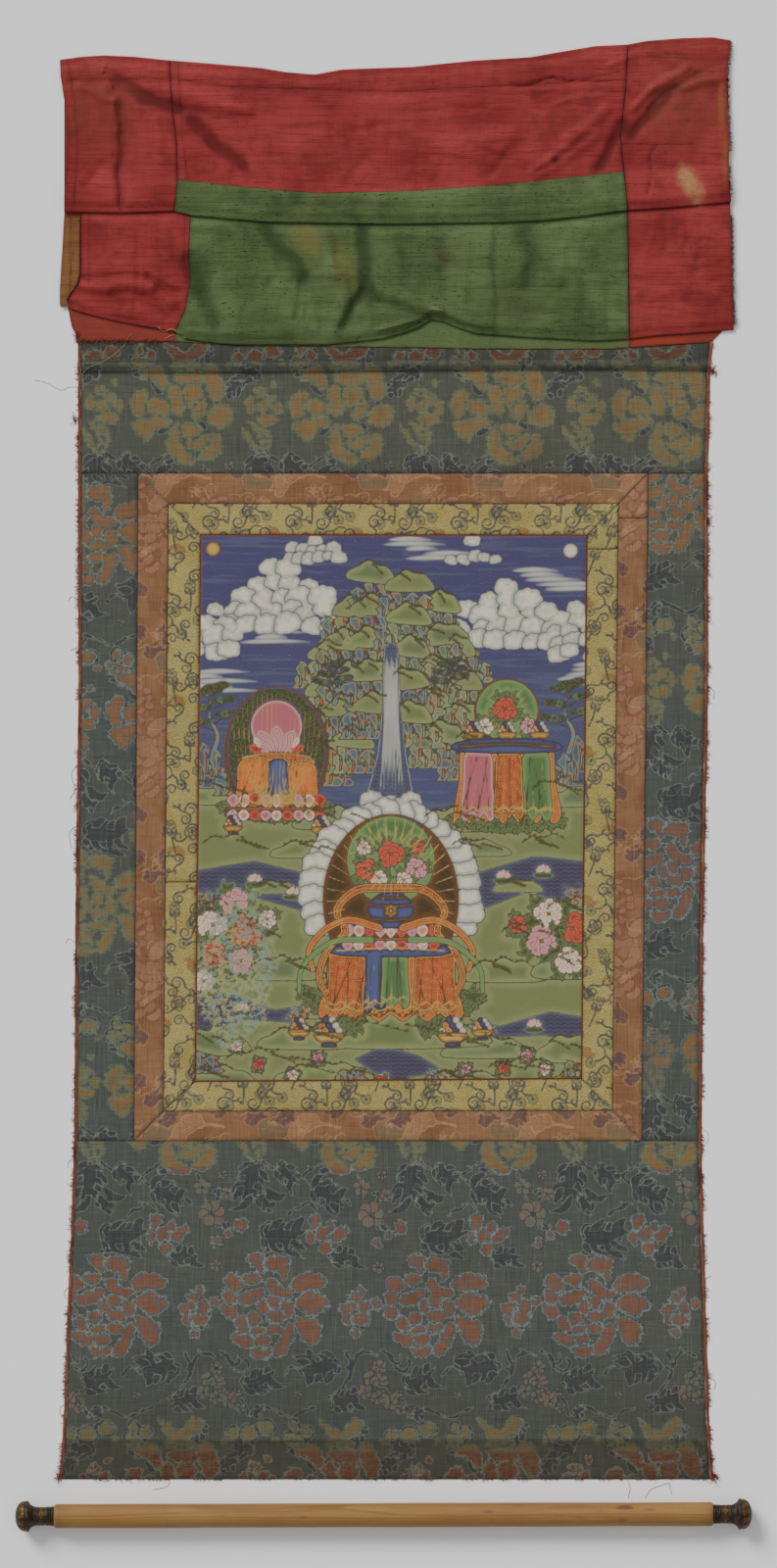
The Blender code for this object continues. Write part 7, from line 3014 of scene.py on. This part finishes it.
@dataclass(frozen=True)
class Ground:
    """How high the laid pieces lie, for what rests on them."""

    pieces: tuple[bpy.types.Object, ...]
    lowest: float = 0.24

    def height(self, x: float, y: float) -> float:
        """Height of the highest piece at a place, or of the floor."""
        best = 0.0
        start = mathutils.Vector((x * MM, y * MM, 0.2))
        for piece in self.pieces:
            hit, place, _, _ = piece.ray_cast(start, mathutils.Vector((0.0, 0.0, -1.0)))
            if hit:
                best = max(best, place.z / MM)
        return best

    def laid(self, points: Sequence[Point], lift: float, step: float = 2.2) -> Array:
        """A line laid on the pieces: close points, each a lift above what is under it."""
        path = np.asarray(points, dtype=float)
        lengths = np.concatenate([[0.0], np.cumsum(np.hypot(*np.diff(path, axis=0).T))])
        stops = np.linspace(0.0, lengths[-1], max(2, round(lengths[-1] / step) + 1))
        x, y = np.interp(stops, lengths, path[:, 0]), np.interp(stops, lengths, path[:, 1])
        z = np.array([self.height(a, b) for a, b in zip(x, y)])
        for _ in range(3):  # bridges the seams and small steps
            z[1:-1] = np.maximum(z[1:-1], (z[:-2] + z[2:]) / 2)
        z[0], z[-1] = max(z[0], z[1]), max(z[-1], z[-2])
        return np.stack([x, y, np.maximum(z + lift, self.lowest)], axis=-1)


def tube_faces(rows: int, sides: int) -> list[Sequence[int]]:
    """Faces of a closed tube whose points go ring by ring."""
    faces: list[Sequence[int]] = []
    for i in range(rows - 1):
        for j in range(sides):
            a, b = i * sides + j, i * sides + (j + 1) % sides
            faces.append((a, b, b + sides, a + sides))
    faces.append(tuple(range(sides))[::-1])
    faces.append(tuple(range((rows - 1) * sides, rows * sides)))
    return faces


def swept(path: Array, radii: Array, sides: int = 6) -> tuple[Array, list[Sequence[int]]]:
    """A closed tube along a path with a radius at each point.

    Args:
        path: points in millimetres.
        radii: the tube's radius at each.
        sides: faces round it.
    Returns:
        Vertices and faces.
    """
    along = np.gradient(path, axis=0)
    along /= np.maximum(np.linalg.norm(along, axis=1, keepdims=True), 1e-9)
    side = np.cross(along, (0.0, 0.0, 1.0))
    side /= np.maximum(np.linalg.norm(side, axis=1, keepdims=True), 1e-9)
    up = np.cross(side, along)
    angle = np.linspace(0, 2 * math.pi, sides, endpoint=False)
    ring = np.cos(angle)[None, :, None] * side[:, None] + np.sin(angle)[None, :, None] * up[:, None]
    vertices = (path[:, None] + radii[:, None, None] * ring).reshape(-1, 3)
    return vertices, tube_faces(len(path), sides)


@dataclass(frozen=True)
class ThreadFinish:
    """Twisted sewing thread or a loose fibre."""

    name: str
    dye: Tone
    worn: Tone

    def material(self) -> bpy.types.Material:
        """Builds it."""
        graph = Graph(self.name)
        colour = graph.mix(graph.noise(14.0, 3.0).rise(0.35, 0.65), self.dye, self.worn)
        twist = graph.noise((0.5, 0.5, 0.5), 1.0, seed=2.0)
        return graph.close(graph.shade(colour, twist.rise(0.4, 0.7), 0.3), 0.8, twist, 0.06, gloss=0.2)


@dataclass(frozen=True)
class EdgingFinish:
    """Orange-red piping silk: twisted weave, faded and rubbed in patches."""

    name: str = "orange_edging_silk"
    dye: Tone = tone(160, 98, 72)
    faded: Tone = tone(174, 128, 96)
    dark: Tone = tone(104, 58, 48)

    def material(self) -> bpy.types.Material:
        """Builds it."""
        graph = Graph(self.name)
        tint = graph.noise((9.0, 44.0, 9.0), 3.0, 0.6, seed=1.0)
        colour = graph.ramp(
            tint.rise(0.25, 0.75),
            [(0.0, self.dark), (0.4, self.dye), (0.75, self.dye), (1.0, self.faded)]
        )
        twill = ((graph.y + graph.z * 1.4) / 0.9 + graph.noise(3.0) * 1.2) % 1.0
        colour = graph.shade(colour, abs(twill - 0.5).rise(0.2, 0.45), 0.32)
        grime = graph.noise((6.0, 12.0, 6.0), 3.0, 0.65, seed=4.0).rise(0.5, 0.72)
        colour = graph.mix(grime * 0.5, colour, tone(84, 58, 48))
        height = abs(twill - 0.5) * 1.2 + graph.noise(0.9, 2.0, seed=6.0) * 0.6
        return graph.close(colour, 0.82, height, 0.3, gloss=0.2)


@dataclass
class Trims:
    """Both edgings with their fray, the sewn lines, the frayed hem and the loose threads."""

    ground: Ground
    low: float = -766.3
    row: float = 1.9
    sides: int = 10

    def build(self) -> None:
        """Builds them all."""
        silk = EdgingFinish().material()
        for column, node in ((1, "edging_left"), (2, "edging_right")):
            self._edging(node, column, silk)
        self._stitches()
        self._seam_roll()
        self._fray(silk)
        self._threads()

    def _edging(self, node: str, column: int, finish: bpy.types.Material) -> None:
        """One uneven length of piping, over the stick's ridge like its solid."""
        way = 1.0 if column == 1 else -1.0
        x_top = float(outline_x(column, 488.0))
        high = float(at(SEWN_EDGE, x_top + way * EDGING_WIDTH / 2))
        y = np.linspace(self.low, high, round((high - self.low) / self.row) + 1)
        angle = np.linspace(0, 2 * math.pi, self.sides, endpoint=False)[None, :]
        bulge = 0.14 * wander(y, y, 11.0, 71.0 + column)[:, None]
        plump = 1.0 + bulge + 0.1 * wander(y, y, 4.0, 72.0 + column)[:, None]
        lump = 0.09 * wander(
            y[:, None] / 2.2 + 9 * np.cos(angle), 9 * np.sin(angle) + 0 * y[:, None], 2.2, 73.0
        )
        wide = (EDGING_WIDTH / 2 + 0.45) * (plump + lump)
        tall = EDGING_THICK / 2 * (plump + lump)
        sway = way * (0.5 + 0.22 * wander(y, y, 17.0, 74.0))
        middle = (outline_x(column, y) + way * EDGING_WIDTH / 2 - sway)[:, None]
        x = middle + way * wide * np.cos(angle)
        inner = outline_x(column, y)[:, None] + way * EDGING_WIDTH
        x = np.minimum(x, inner) if column == 1 else np.maximum(x, inner)
        base = ridge(middle, y[:, None])
        z = np.maximum(base + EDGING_THICK / 2 + tall * np.sin(angle), base + 0.02)
        up = np.broadcast_to(y[:, None], x.shape)
        vertices = np.stack([x, up, z], axis=-1).reshape(-1, 3)
        faces: list[Sequence[int]] = []
        count = self.sides
        for i in range(len(y) - 1):
            for j in range(count):
                a, b = i * count + j, i * count + (j + 1) % count
                loop = (a, a + count, b + count, b)
                faces.append(loop if column == 1 else loop[::-1])
        ends = [tuple(range(count)), tuple(range((len(y) - 1) * count, len(y) * count))[::-1]]
        faces += ends if column == 1 else [end[::-1] for end in ends]
        settle(make_object(node + "_piping", vertices, faces, finish), "edging", node)

    def _stitches(self) -> None:
        """The sewn lines of the veil, the painting's edge and the edgings."""
        lay = self.ground.laid
        lines = [lay(line, 0.06) for line in (*UPPER_STITCHES, *LOWER_STITCHES)]
        look = ThreadFinish("dark_red_thread", tone(96, 38, 38), tone(124, 60, 54)).material()
        made = stitching("veil_stitches", lines, look, spacing=3.1)
        settle(made, "veil_red")
        corners = [(x + 1.4 * (1 if x > 0 else -1), y + 1.4 * (1 if y > 0 else -1)) for x, y in PAINTING]
        lines = [lay((corners[k], corners[(k + 1) % 4]), 0.0) for k in range(4)]
        look = ThreadFinish("orange_thread", tone(150, 80, 44), tone(120, 74, 46)).material()
        made = stitching("painting_stitches", lines, look, spacing=3.4)
        settle(made, "inner_border")
        lines = []
        for column, way in ((1, 1.0), (2, -1.0)):
            heights = np.arange(self.low + 2.0, 480.0, 6.0)
            inset = EDGING_WIDTH + 1.1
            lines.append(lay([(float(outline_x(column, y)) + way * inset, float(y)) for y in heights], -0.02))
        look = ThreadFinish("dull_red_thread", tone(126, 62, 48), tone(98, 56, 46)).material()
        made = stitching("edging_stitches", lines, look, spacing=3.6)
        settle(made, "edging")

    def _seam_roll(self) -> None:
        """The rolled seam where the veil is sewn to the mount, in the veil's two colours."""
        red = ThreadFinish("red_seam_silk", tone(150, 62, 52), tone(128, 60, 44)).material()
        green = ThreadFinish("green_seam_silk", tone(92, 104, 62), tone(122, 122, 74)).material()
        spans = (
            ("left", -336.0, -224.0, red), ("middle", -223.5, 270.5, green), ("right", 271.0, 360.0, red)
        )
        for label, start, end, look in spans:
            x = np.linspace(start, end, round((end - start) / 2.4))
            y = at(SEWN_EDGE, x) + 0.2 + 0.3 * wander(x, x, 9.0, 81.0)
            z = 1.3 + 0.25 * wander(x, x, 14.0, 82.0)
            radii = 0.85 * (1.0 + 0.28 * wander(x, x, 5.0, 83.0))
            radii[0] = radii[-1] = 0.3
            made = make_object("seam_roll_" + label, *swept(np.stack([x, y, z], axis=-1), radii, 7), look)
            settle(made, "veil_green" if look is green else "veil_red")

    def _fray(self, silk: bpy.types.Material) -> None:
        """Fibres along the edgings, the hem and the veil's raw edges."""
        heights = np.linspace(self.low + 1.0, 486.0, 400)
        for column, label, heading in ((1, "left", math.pi), (2, "right", 0.0)):
            x = outline_x(column, heights)
            path = np.stack([x, heights, ridge(x, heights) + 0.8], axis=-1)
            fray = Fray(1900, heading, length=4.4, thickness=0.34, spread=1.1, bare=0.47, seed=7 + column)
            settle(fray.build("edging_fray_" + label, silk, path), "edging")
        grey = ThreadFinish("grey_fibre", tone(84, 86, 82), tone(116, 112, 102)).material()
        x = np.linspace(-350.0, 357.0, 300)
        path = np.stack([x, np.full_like(x, self.low + 0.2), np.full_like(x, 0.5)], axis=-1)
        fray = Fray(1300, -math.pi / 2, length=2.6, thickness=0.2, spread=1.2, bare=0.5, seed=5)
        settle(fray.build("hem_fray", grey, path), "brocade")
        x = np.linspace(-338.0, -250.0, 60)
        path = np.stack([x, at(SEWN_EDGE, x) + 1.0, np.full_like(x, 1.6)], axis=-1)
        fray = Fray(420, -math.pi / 2, length=5.0, thickness=0.3, spread=1.7, bare=0.36, seed=9)
        settle(fray.build("seam_fray", silk, path), "veil_red")
        worn = (
            (-339.0, 493.0), (-341.0, 402.0), (362.5, 455.0), (357.5, 289.0), (363.5, -763.0),
            (-358.5, -764.0),
        )  # fmt: skip
        tufts = [np.array([(x, y - 3.0, 0.9), (x, y, 1.4), (x + 0.6, y + 3.0, 0.9)]) for x, y in worn]
        rust = ThreadFinish("rust_fibre", tone(166, 78, 56), tone(140, 82, 60)).material()
        fray = Fray(34, 0.4, length=6.0, thickness=0.34, spread=3.0, bare=0.0, seed=12)
        settle(fray.build("edging_tufts", rust, *tufts), "edging")
        tan = ThreadFinish("tan_fibre", tone(150, 112, 62), tone(120, 70, 52)).material()
        fray = Fray(520, 0.0, length=3.6, thickness=0.24, spread=1.0, bare=0.4, seed=6)
        for tier, low, high in (("upper", 648.0, 818.0), ("lower", 506.0, 626.0)):
            y = np.linspace(low, high, 90)
            path = np.stack([at(VEIL_RIGHT[tier], y), y, np.full_like(y, LAYER[2])], axis=-1)
            settle(fray.build("veil_fray_" + tier, tan, path), "veil_red")

    def _threads(self) -> None:
        """Single threads that hang out of the edges or lie on the cloth and the floor."""
        grey = ThreadFinish("grey_thread", tone(92, 92, 90), tone(120, 118, 110))
        red = ThreadFinish("red_thread", tone(164, 50, 44), tone(140, 48, 40))
        yellow = ThreadFinish("yellow_green_thread", tone(186, 182, 120), tone(150, 150, 92))
        kinds = (
            ("grey", 0.24, "brocade", grey),
            ("red", 0.32, "edging", red),
            ("yellow", 0.4, "veil_green", yellow),
        )
        across, down = THREAD_MIDDLE
        for kind, radius, slot, look in kinds:
            vertices, faces, count = [], [], 0
            for points in LOOSE_THREADS[kind]:
                places = [((px - across) * THREAD_GRID, (down - py) * THREAD_GRID) for px, py in points]
                curve = self.ground.laid(rounded(places, steps=6), radius, 1.0)
                radii = np.full(len(curve), radius)
                radii[0] = radii[-1] = 0.1
                shape, loops = swept(curve, radii)
                vertices.append(shape)
                faces += [tuple(index + count for index in loop) for loop in loops]
                count += len(shape)
            made = make_object("loose_threads_" + kind, np.concatenate(vertices), faces, look.material())
            settle(made, slot)


# Each thread as points of a grid that counts from the picture's upper left corner
THREAD_GRID = 1.08  # millimetres
THREAD_MIDDLE = (391.5, 800.0)
LOOSE_THREADS: dict[str, list[list[Point]]] = {
    "grey": [
        [(640, 1508), (643, 1518), (641, 1529)], [(658, 1529), (664, 1520), (674, 1516), (683, 1513)],
        [(683, 1513), (684, 1519), (686, 1526)], [(101, 1510), (108, 1512), (113, 1510)],
        [(133, 1508), (134, 1514)], [(156, 1520), (162, 1519), (170, 1517), (174, 1512)],
        [(80, 395), (71, 395), (62, 398), (50, 392), (42, 389), (35, 388)],
        [(80, 612), (73, 609), (70, 613)], [(79, 660), (72, 664)],
        [(79, 780), (73, 790), (76, 806), (71, 816)], [(79, 842), (71, 850), (73, 866)],
        [(77, 962), (70, 958), (67, 963)], [(77, 1180), (70, 1186), (69, 1192)], [(74, 1212), (68, 1208)],
        [(72, 1312), (66, 1318), (67, 1326)], [(68, 1432), (62, 1436), (61, 1444)],
        [(722, 700), (729, 706), (728, 714)], [(718, 930), (725, 934)],
        [(716, 1150), (723, 1158), (721, 1168)], [(718, 1306), (726, 1302)],
        [(722, 1404), (730, 1410), (729, 1418)],
    ],
    "red": [
        [(728, 1504), (733, 1507), (731, 1511)], [(727, 1505), (735, 1511)],
        [(726, 378), (731, 381), (730, 386)], [(82, 342), (78, 345), (79, 349)], [(720, 531), (725, 534)],
    ],
    "yellow": [
        [(135, 341), (131, 344), (129, 350), (118, 361), (104, 370), (90, 376), (82, 384)],
        [(161, 333), (167, 338), (176, 336), (184, 341)], [(168, 346), (177, 342), (190, 345)],
    ],
}  # fmt: skip


# ---- the dowel -------------------------------------------------------------------------------


@dataclass(frozen=True)
class WoodFinish:
    """Pale softwood, planed round: long grain, lighter flats, handling marks and dye stains."""

    name: str = "planed_softwood"
    early: Tone = tone(176, 138, 80)
    late: Tone = tone(134, 98, 54)
    soiled: Tone = tone(112, 82, 50)

    def material(self) -> bpy.types.Material:
        """Builds it."""
        graph = Graph(self.name)
        bow = (graph.noise((240.0, 26.0, 26.0), 2.0, seed=1.0) - 0.5) * 9.0
        rings = ((graph.y * 0.62 + graph.z * 0.9 + bow) / 2.6) % 1.0
        late = rings.rise(0.55, 0.9) * rings.rise(1.0, 0.93)
        fibre = graph.noise((46.0, 0.5, 0.5), 3.0, 0.65, seed=2.0)
        colour = graph.mix(late * 0.5, self.early, self.late)
        colour = graph.shade(colour, fibre.rise(0.45, 0.8), 0.3)
        tint = graph.noise((150.0, 14.0, 14.0), 3.0, 0.6, seed=3.0)
        colour = graph.mix(tint.rise(0.45, 0.7) * 0.55, colour, tone(158, 116, 70))
        colour = graph.mix(tint.rise(0.45, 0.25) * 0.4, colour, tone(188, 152, 92))
        grime = graph.noise((60.0, 9.0, 9.0), 4.0, 0.7, seed=4.0).rise(0.56, 0.76)
        colour = graph.mix(grime * 0.42, colour, self.soiled)
        pores = graph.noise((5.0, 0.4, 0.4), 1.0, seed=5.0).rise(0.7, 0.78)
        colour = graph.mix(pores * 0.5, colour, tone(84, 58, 36))
        ends = abs(graph.x).rise(340.0, 364.0)
        colour = graph.mix(ends * 0.35, colour, self.soiled)
        ragged = (graph.noise((9.0, 2.5, 4.0), 3.0, seed=6.0) - 0.5) * 1.6
        for x, y, wide, tall, depth in (
            (265.0, -795.5, 11.0, 2.6, 0.75), (292.0, -798.0, 7.0, 2.0, 0.35), (115.0, -800.0, 6.0, 2.4, 0.4),
            (262.0, -809.0, 8.0, 2.4, 0.35), (-88.0, -806.0, 5.0, 3.0, 0.22),
        ):  # fmt: skip
            u, v = (graph.x - x) / wide, (graph.y - y) / tall
            spot = (u * u + v * v + ragged).rise(1.3, 0.2)
            colour = graph.mix(spot * depth, colour, tone(116, 52, 60))
        height = fibre * 0.5 + late * 0.35 - pores * 0.5
        return graph.close(colour, 0.5 + fibre * 0.22 + grime * 0.1, height, 0.16, gloss=0.4)


@dataclass(frozen=True)
class BronzeFinish:
    """Dark patinated metal with a worn gold chased pattern."""

    name: str = "chased_dark_bronze"
    dark: Tone = tone(66, 54, 46)
    warm: Tone = tone(96, 76, 54)
    gold: Tone = tone(160, 128, 66)

    def material(self) -> bpy.types.Material:
        """Builds it."""
        graph = Graph(self.name)
        grain = graph.noise(1.1, 3.0, 0.6, seed=1.0)
        colour = graph.mix(graph.noise(5.0, 3.0, seed=2.0).rise(0.4, 0.65), self.dark, self.warm)
        chased = graph.channel("chased") + (grain - 0.5) * 0.5
        worn = graph.noise(3.6, 3.0, 0.65, seed=3.0).rise(0.36, 0.6)
        raised = within(chased, 0.0, 0.18) * (worn * 0.6 + 0.4)
        colour = graph.mix(raised * 0.62, colour, self.gold)
        cut = band(chased, 0.16, 0.16, -0.1)
        colour = graph.mix(cut * 0.7, colour, tone(34, 28, 26))
        ringed = graph.channel("ringed")
        colour = graph.mix(ringed.rise(0.45, 0.0) * 0.6, colour, tone(30, 25, 24))
        green = graph.noise(2.6, 3.0, seed=4.0).rise(0.6, 0.74)
        colour = graph.mix(green * 0.4, colour, tone(74, 84, 62))
        rough = 0.44 + grain * 0.25 - raised * 0.08
        metal = 0.55 + raised * 0.35 - green * 0.4
        return graph.close(colour, rough, grain * 0.4 + raised * 0.5, 0.12, metal=metal, gloss=0.5)


@dataclass
class Dowel:
    """The turned rod and its two knobs, lying below the hem and slightly askew."""

    rod_length: float = 726.0
    rod_diameter: float = 27.0
    head_diameter: float = 34.5
    neck_diameter: float = 22.0
    reach: float = 405.5
    flat: float = 0.4
    y: float = -804.6
    turn: float = math.radians(0.18)
    segments: int = 72

    def build(self) -> None:
        """Builds the rod and both knobs."""
        self._rod()
        bronze = BronzeFinish().material()
        for node, way in (("knob_left", -1.0), ("knob_right", 1.0)):
            self._knob(node, way, bronze)

    def _turned(
        self, name: str, along: Array, radii: Array, finish: bpy.types.Material, flip: bool
    ) -> bpy.types.Object:
        """A closed turned shape round the dowel's axis.

        Args:
            name: the object's name.
            along: each row's place on the axis.
            radii: each row's radius at each angle, rows by segments.
            finish: its material.
            flip: whether the rows go towards -X.
        Returns:
            The object.
        """
        rest = self.head_diameter / 2 - self.flat
        angle = np.linspace(0, 2 * math.pi, self.segments, endpoint=False)[None, :]
        across, up = radii * np.cos(angle), np.maximum(radii * np.sin(angle), -rest)
        x = np.broadcast_to(along[:, None], radii.shape)
        cosine, sine = math.cos(self.turn), math.sin(self.turn)
        place = np.stack(
            [x * cosine - across * sine, self.y + x * sine + across * cosine, rest + up], axis=-1
        )
        faces = tube_faces(*radii.shape)
        if flip:
            faces = [face[::-1] for face in faces]
        return make_object(name, place.reshape(-1, 3), faces, finish, crisp=50.0)

    def _rod(self) -> None:
        """The rod: planed almost round, with eased ends and its slight hand-made waver."""
        half, radius = self.rod_length / 2, self.rod_diameter / 2
        ease_in = [0.0, 0.25, 0.7, 1.3, 2.2, 3.4]
        body = np.linspace(-half + 6.0, half - 6.0, 70)
        along = np.concatenate([[-half + e for e in ease_in], body, [half - e for e in ease_in[::-1]]])
        from_end = half - np.abs(along)
        drop = 1.9 * (1.0 - np.clip(from_end / 3.4, 0, 1)) ** 2
        drop[[0, -1]] = 2.2
        angle = np.linspace(0, 2 * math.pi, self.segments, endpoint=False)[None, :]
        x = along[:, None]
        planed = 0.16 * np.abs(np.sin(5.5 * angle + 0.4 + 0.9 * np.sin(x / 210.0)))
        waver = 0.09 * np.sin(x / 57.0) + 0.07 * np.sin(x / 23.0 + angle * 2)
        radii = radius - 0.05 - drop[:, None] - planed * 0.8 + np.minimum(waver, 0.1) - 0.1
        made = self._turned("dowel_rod_wood", along, radii, WoodFinish().material(), False)
        settle(made, "dowel", "dowel_rod")

    def _profile(self) -> Array:
        """Length from the rod's end and radius of a knob, ring by ring."""
        neck, head = self.neck_diameter / 2, self.head_diameter / 2
        rows = [
            (0.0, neck - 0.7), (0.25, neck - 0.1), (0.9, neck), (1.7, neck - 0.05), (2.2, neck - 0.35),
            (2.5, neck - 0.9), (3.0, neck - 0.95), (3.3, neck - 0.35), (3.9, neck - 0.1),
            (4.5, neck - 0.4), (4.9, neck - 1.0), (5.3, neck - 0.95), (5.7, neck - 0.4),
            (6.3, neck - 0.3), (6.8, neck - 0.7), (8.2, neck - 0.85), (10.0, neck - 0.9),
            (12.0, neck - 0.9), (14.0, neck - 0.85), (16.0, neck - 0.7), (17.6, neck - 0.5),
            (18.3, neck - 0.8), (18.9, neck - 0.2), (19.6, neck + 0.1), (20.2, neck - 0.1),
            (20.8, neck + 0.4), (22.0, neck + 1.1), (23.4, neck + 2.1), (24.6, neck + 3.8),
            (25.4, head - 0.7), (25.9, head - 0.15), (26.8, head), (27.7, head - 0.02),
            (28.5, head - 0.35), (28.9, head - 0.75), (29.5, head - 0.6),
        ]
        dome, depth = 29.5, 10.0
        for k in range(1, 13):
            share = k / 12.5
            turn = share * math.pi / 2
            rows.append((dome + depth * math.sin(turn) ** 0.95, (head - 0.6) * math.cos(turn) ** 0.9))
        given = np.array(rows)
        fine = rounded([tuple(row) for row in given], steps=3)
        fine[:, 0] = np.maximum.accumulate(fine[:, 0])
        return fine

    def _knob(self, node: str, way: float, finish: bpy.types.Material) -> None:
        """One knob: ringed neck with a chased band, flared head and a petalled dome."""
        half = self.rod_length / 2
        profile = self._profile()
        end = profile[-1, 0]
        along = GAP + profile[:, 0] * (self.reach - half - GAP) / end
        angle = np.linspace(0, 2 * math.pi, self.segments, endpoint=False)[None, :]
        length, radius = profile[:, 0][:, None], profile[:, 1][:, None]
        neck = self._rosettes(angle, length, way)
        dome = self._petals(angle, length, way)
        chased = np.minimum(neck, dome)
        radii = radius - 0.1 + 0.24 * ease(0.5 - chased / 0.6) - 0.22 * ease(1 - np.abs(chased - 0.4) / 0.5)
        radii = np.minimum(radii, self.head_diameter / 2)
        grooves = np.array([2.75, 5.1, 7.0, 18.3, 20.5, 28.9])
        ringed = np.abs(length - grooves[None, :]).min(axis=1, keepdims=True) + 0 * angle
        made = self._turned(node + "_bronze", way * (half + along), radii, finish, way < 0)
        carry(made, {"chased": chased, "ringed": ringed})
        settle(made, "knob", node)

    def _rosettes(self, angle: Array, length: Array, way: float) -> Array:
        """Distance to the neck's row of small flowers with dots between them."""
        number = 7
        girth = 2 * math.pi * (self.neck_diameter / 2 - 1.3)
        shift = 0.25 if way > 0 else 0.0
        around = ((angle / (2 * math.pi) * number + shift) % 1.0 - 0.5) * girth / number
        up = length - 12.3
        petal = np.hypot(around, up) - 2.9 - 0.75 * np.cos(5 * np.arctan2(up, around))
        eye = np.abs(np.hypot(around, up) - 1.15) - 0.28
        flower = np.maximum(petal, -eye)
        beside = girth / number / 2 - np.abs(around)
        dots = np.minimum(np.hypot(beside, up - 3.4), np.hypot(beside, up + 3.2)) - 0.75
        leaf = np.hypot(beside * 1.9, up) - 1.6
        return np.minimum(np.minimum(flower, dots), leaf)

    def _petals(self, angle: Array, length: Array, way: float) -> Array:
        """Distance to the leaves chased round the dome."""
        number = 11
        share = np.clip((length - 30.2) / 8.6, 0.0, 1.0)
        around = (angle / (2 * math.pi) * number + way * 0.35 * share) % 1.0 - 0.5
        girth = 2 * math.pi * self.head_diameter / 2 * np.cos(share * math.pi / 2.2) / number
        half_width = girth * 0.36 * np.sqrt(np.clip(1.0 - share, 0, 1))
        leaf = np.abs(around) * girth - half_width
        rib = 0.22 - np.abs(around) * girth
        return np.where((length > 30.2) & (share < 1.0), np.maximum(leaf, rib), 3.0)


# ---- stage and camera ------------------------------------------------------------------------


@dataclass
class Studio:
    """A plain pale floor, soft light from the upper left and the camera straight above."""

    camera_height: float = 12.0
    camera_x: float = 0.0054
    lens: float = 250.0
    key_power: float = 3.1
    key_rise: float = math.radians(37.0)
    key_bearing: float = math.radians(128.0)
    key_softness: float = math.radians(26.0)
    surround: float = 0.52
    floor: Tone = (0.93, 0.915, 0.92)
    floor_reach: float = 12000.0
    floor_drop: float = 0.05

    def build(self) -> None:
        """Sets up floor, lights and camera."""
        self._camera()
        self._floor()
        self._lights()

    def _camera(self) -> None:
        """The camera, its picture's top towards +Y."""
        lens = bpy.data.cameras.new("camera")
        lens.lens = self.lens
        lens.sensor_width = 36.0
        lens.sensor_fit = "AUTO"
        made = bpy.data.objects.new("camera", lens)
        made.location = (self.camera_x, 0.0, self.camera_height)
        bpy.context.collection.objects.link(made)
        bpy.context.scene.camera = made

    def _floor(self) -> None:
        """A wide pale sheet of paper under everything, with painted light that makes it lighter towards the
        bottom.
        """
        graph = Graph("floor_paper")
        cloud = graph.noise(900.0, 2.0).rise(0.2, 0.8)
        # Painted light: the paper grows lighter towards the bottom
        low = graph.y.rise(-300.0, -1100.0)
        colour = graph.mix(cloud * 0.05, self.floor, (0.86, 0.85, 0.855))
        colour = graph.mix(low * 0.6, colour, (0.96, 0.945, 0.95))
        finish = graph.close(colour, 0.9, gloss=0.1)
        corners = np.array([(-1, -1, 0), (1, -1, 0), (1, 1, 0), (-1, 1, 0)], dtype=float) * self.floor_reach
        floor = make_object("floor", corners - (0, 0, self.floor_drop), [(0, 1, 2, 3)], finish, smooth=False)

    def _lights(self) -> None:
        """A low, soft sun at the upper left and an even pale surround."""
        lamp = bpy.data.lights.new("key", "SUN")
        lamp.energy = self.key_power
        lamp.angle = self.key_softness
        key = bpy.data.objects.new("key", lamp)
        rise, bearing = self.key_rise, self.key_bearing
        towards = (math.cos(rise) * math.cos(bearing), math.cos(rise) * math.sin(bearing), math.sin(rise))
        key.rotation_mode = "QUATERNION"
        key.rotation_quaternion = mathutils.Vector([-part for part in towards]).to_track_quat("-Z", "Y")
        bpy.context.collection.objects.link(key)
        world = bpy.data.worlds.new("studio")
        world.use_nodes = True
        world.node_tree.nodes["Background"].inputs["Color"].default_value = (1.0, 1.0, 1.0, 1.0)
        world.node_tree.nodes["Background"].inputs["Strength"].default_value = self.surround
        bpy.context.scene.world = world


def main() -> None:
    """Builds the scene, piece by piece."""
    logging.basicConfig(level=logging.INFO, format="%(message)s")
    Studio().build()
    laid = [*Mount().build(), Painting().build(), *Veil().build()]
    bpy.context.view_layer.update()
    Trims(Ground(tuple(laid))).build()
    Dowel().build()


if __name__ == "__main__":
    main()
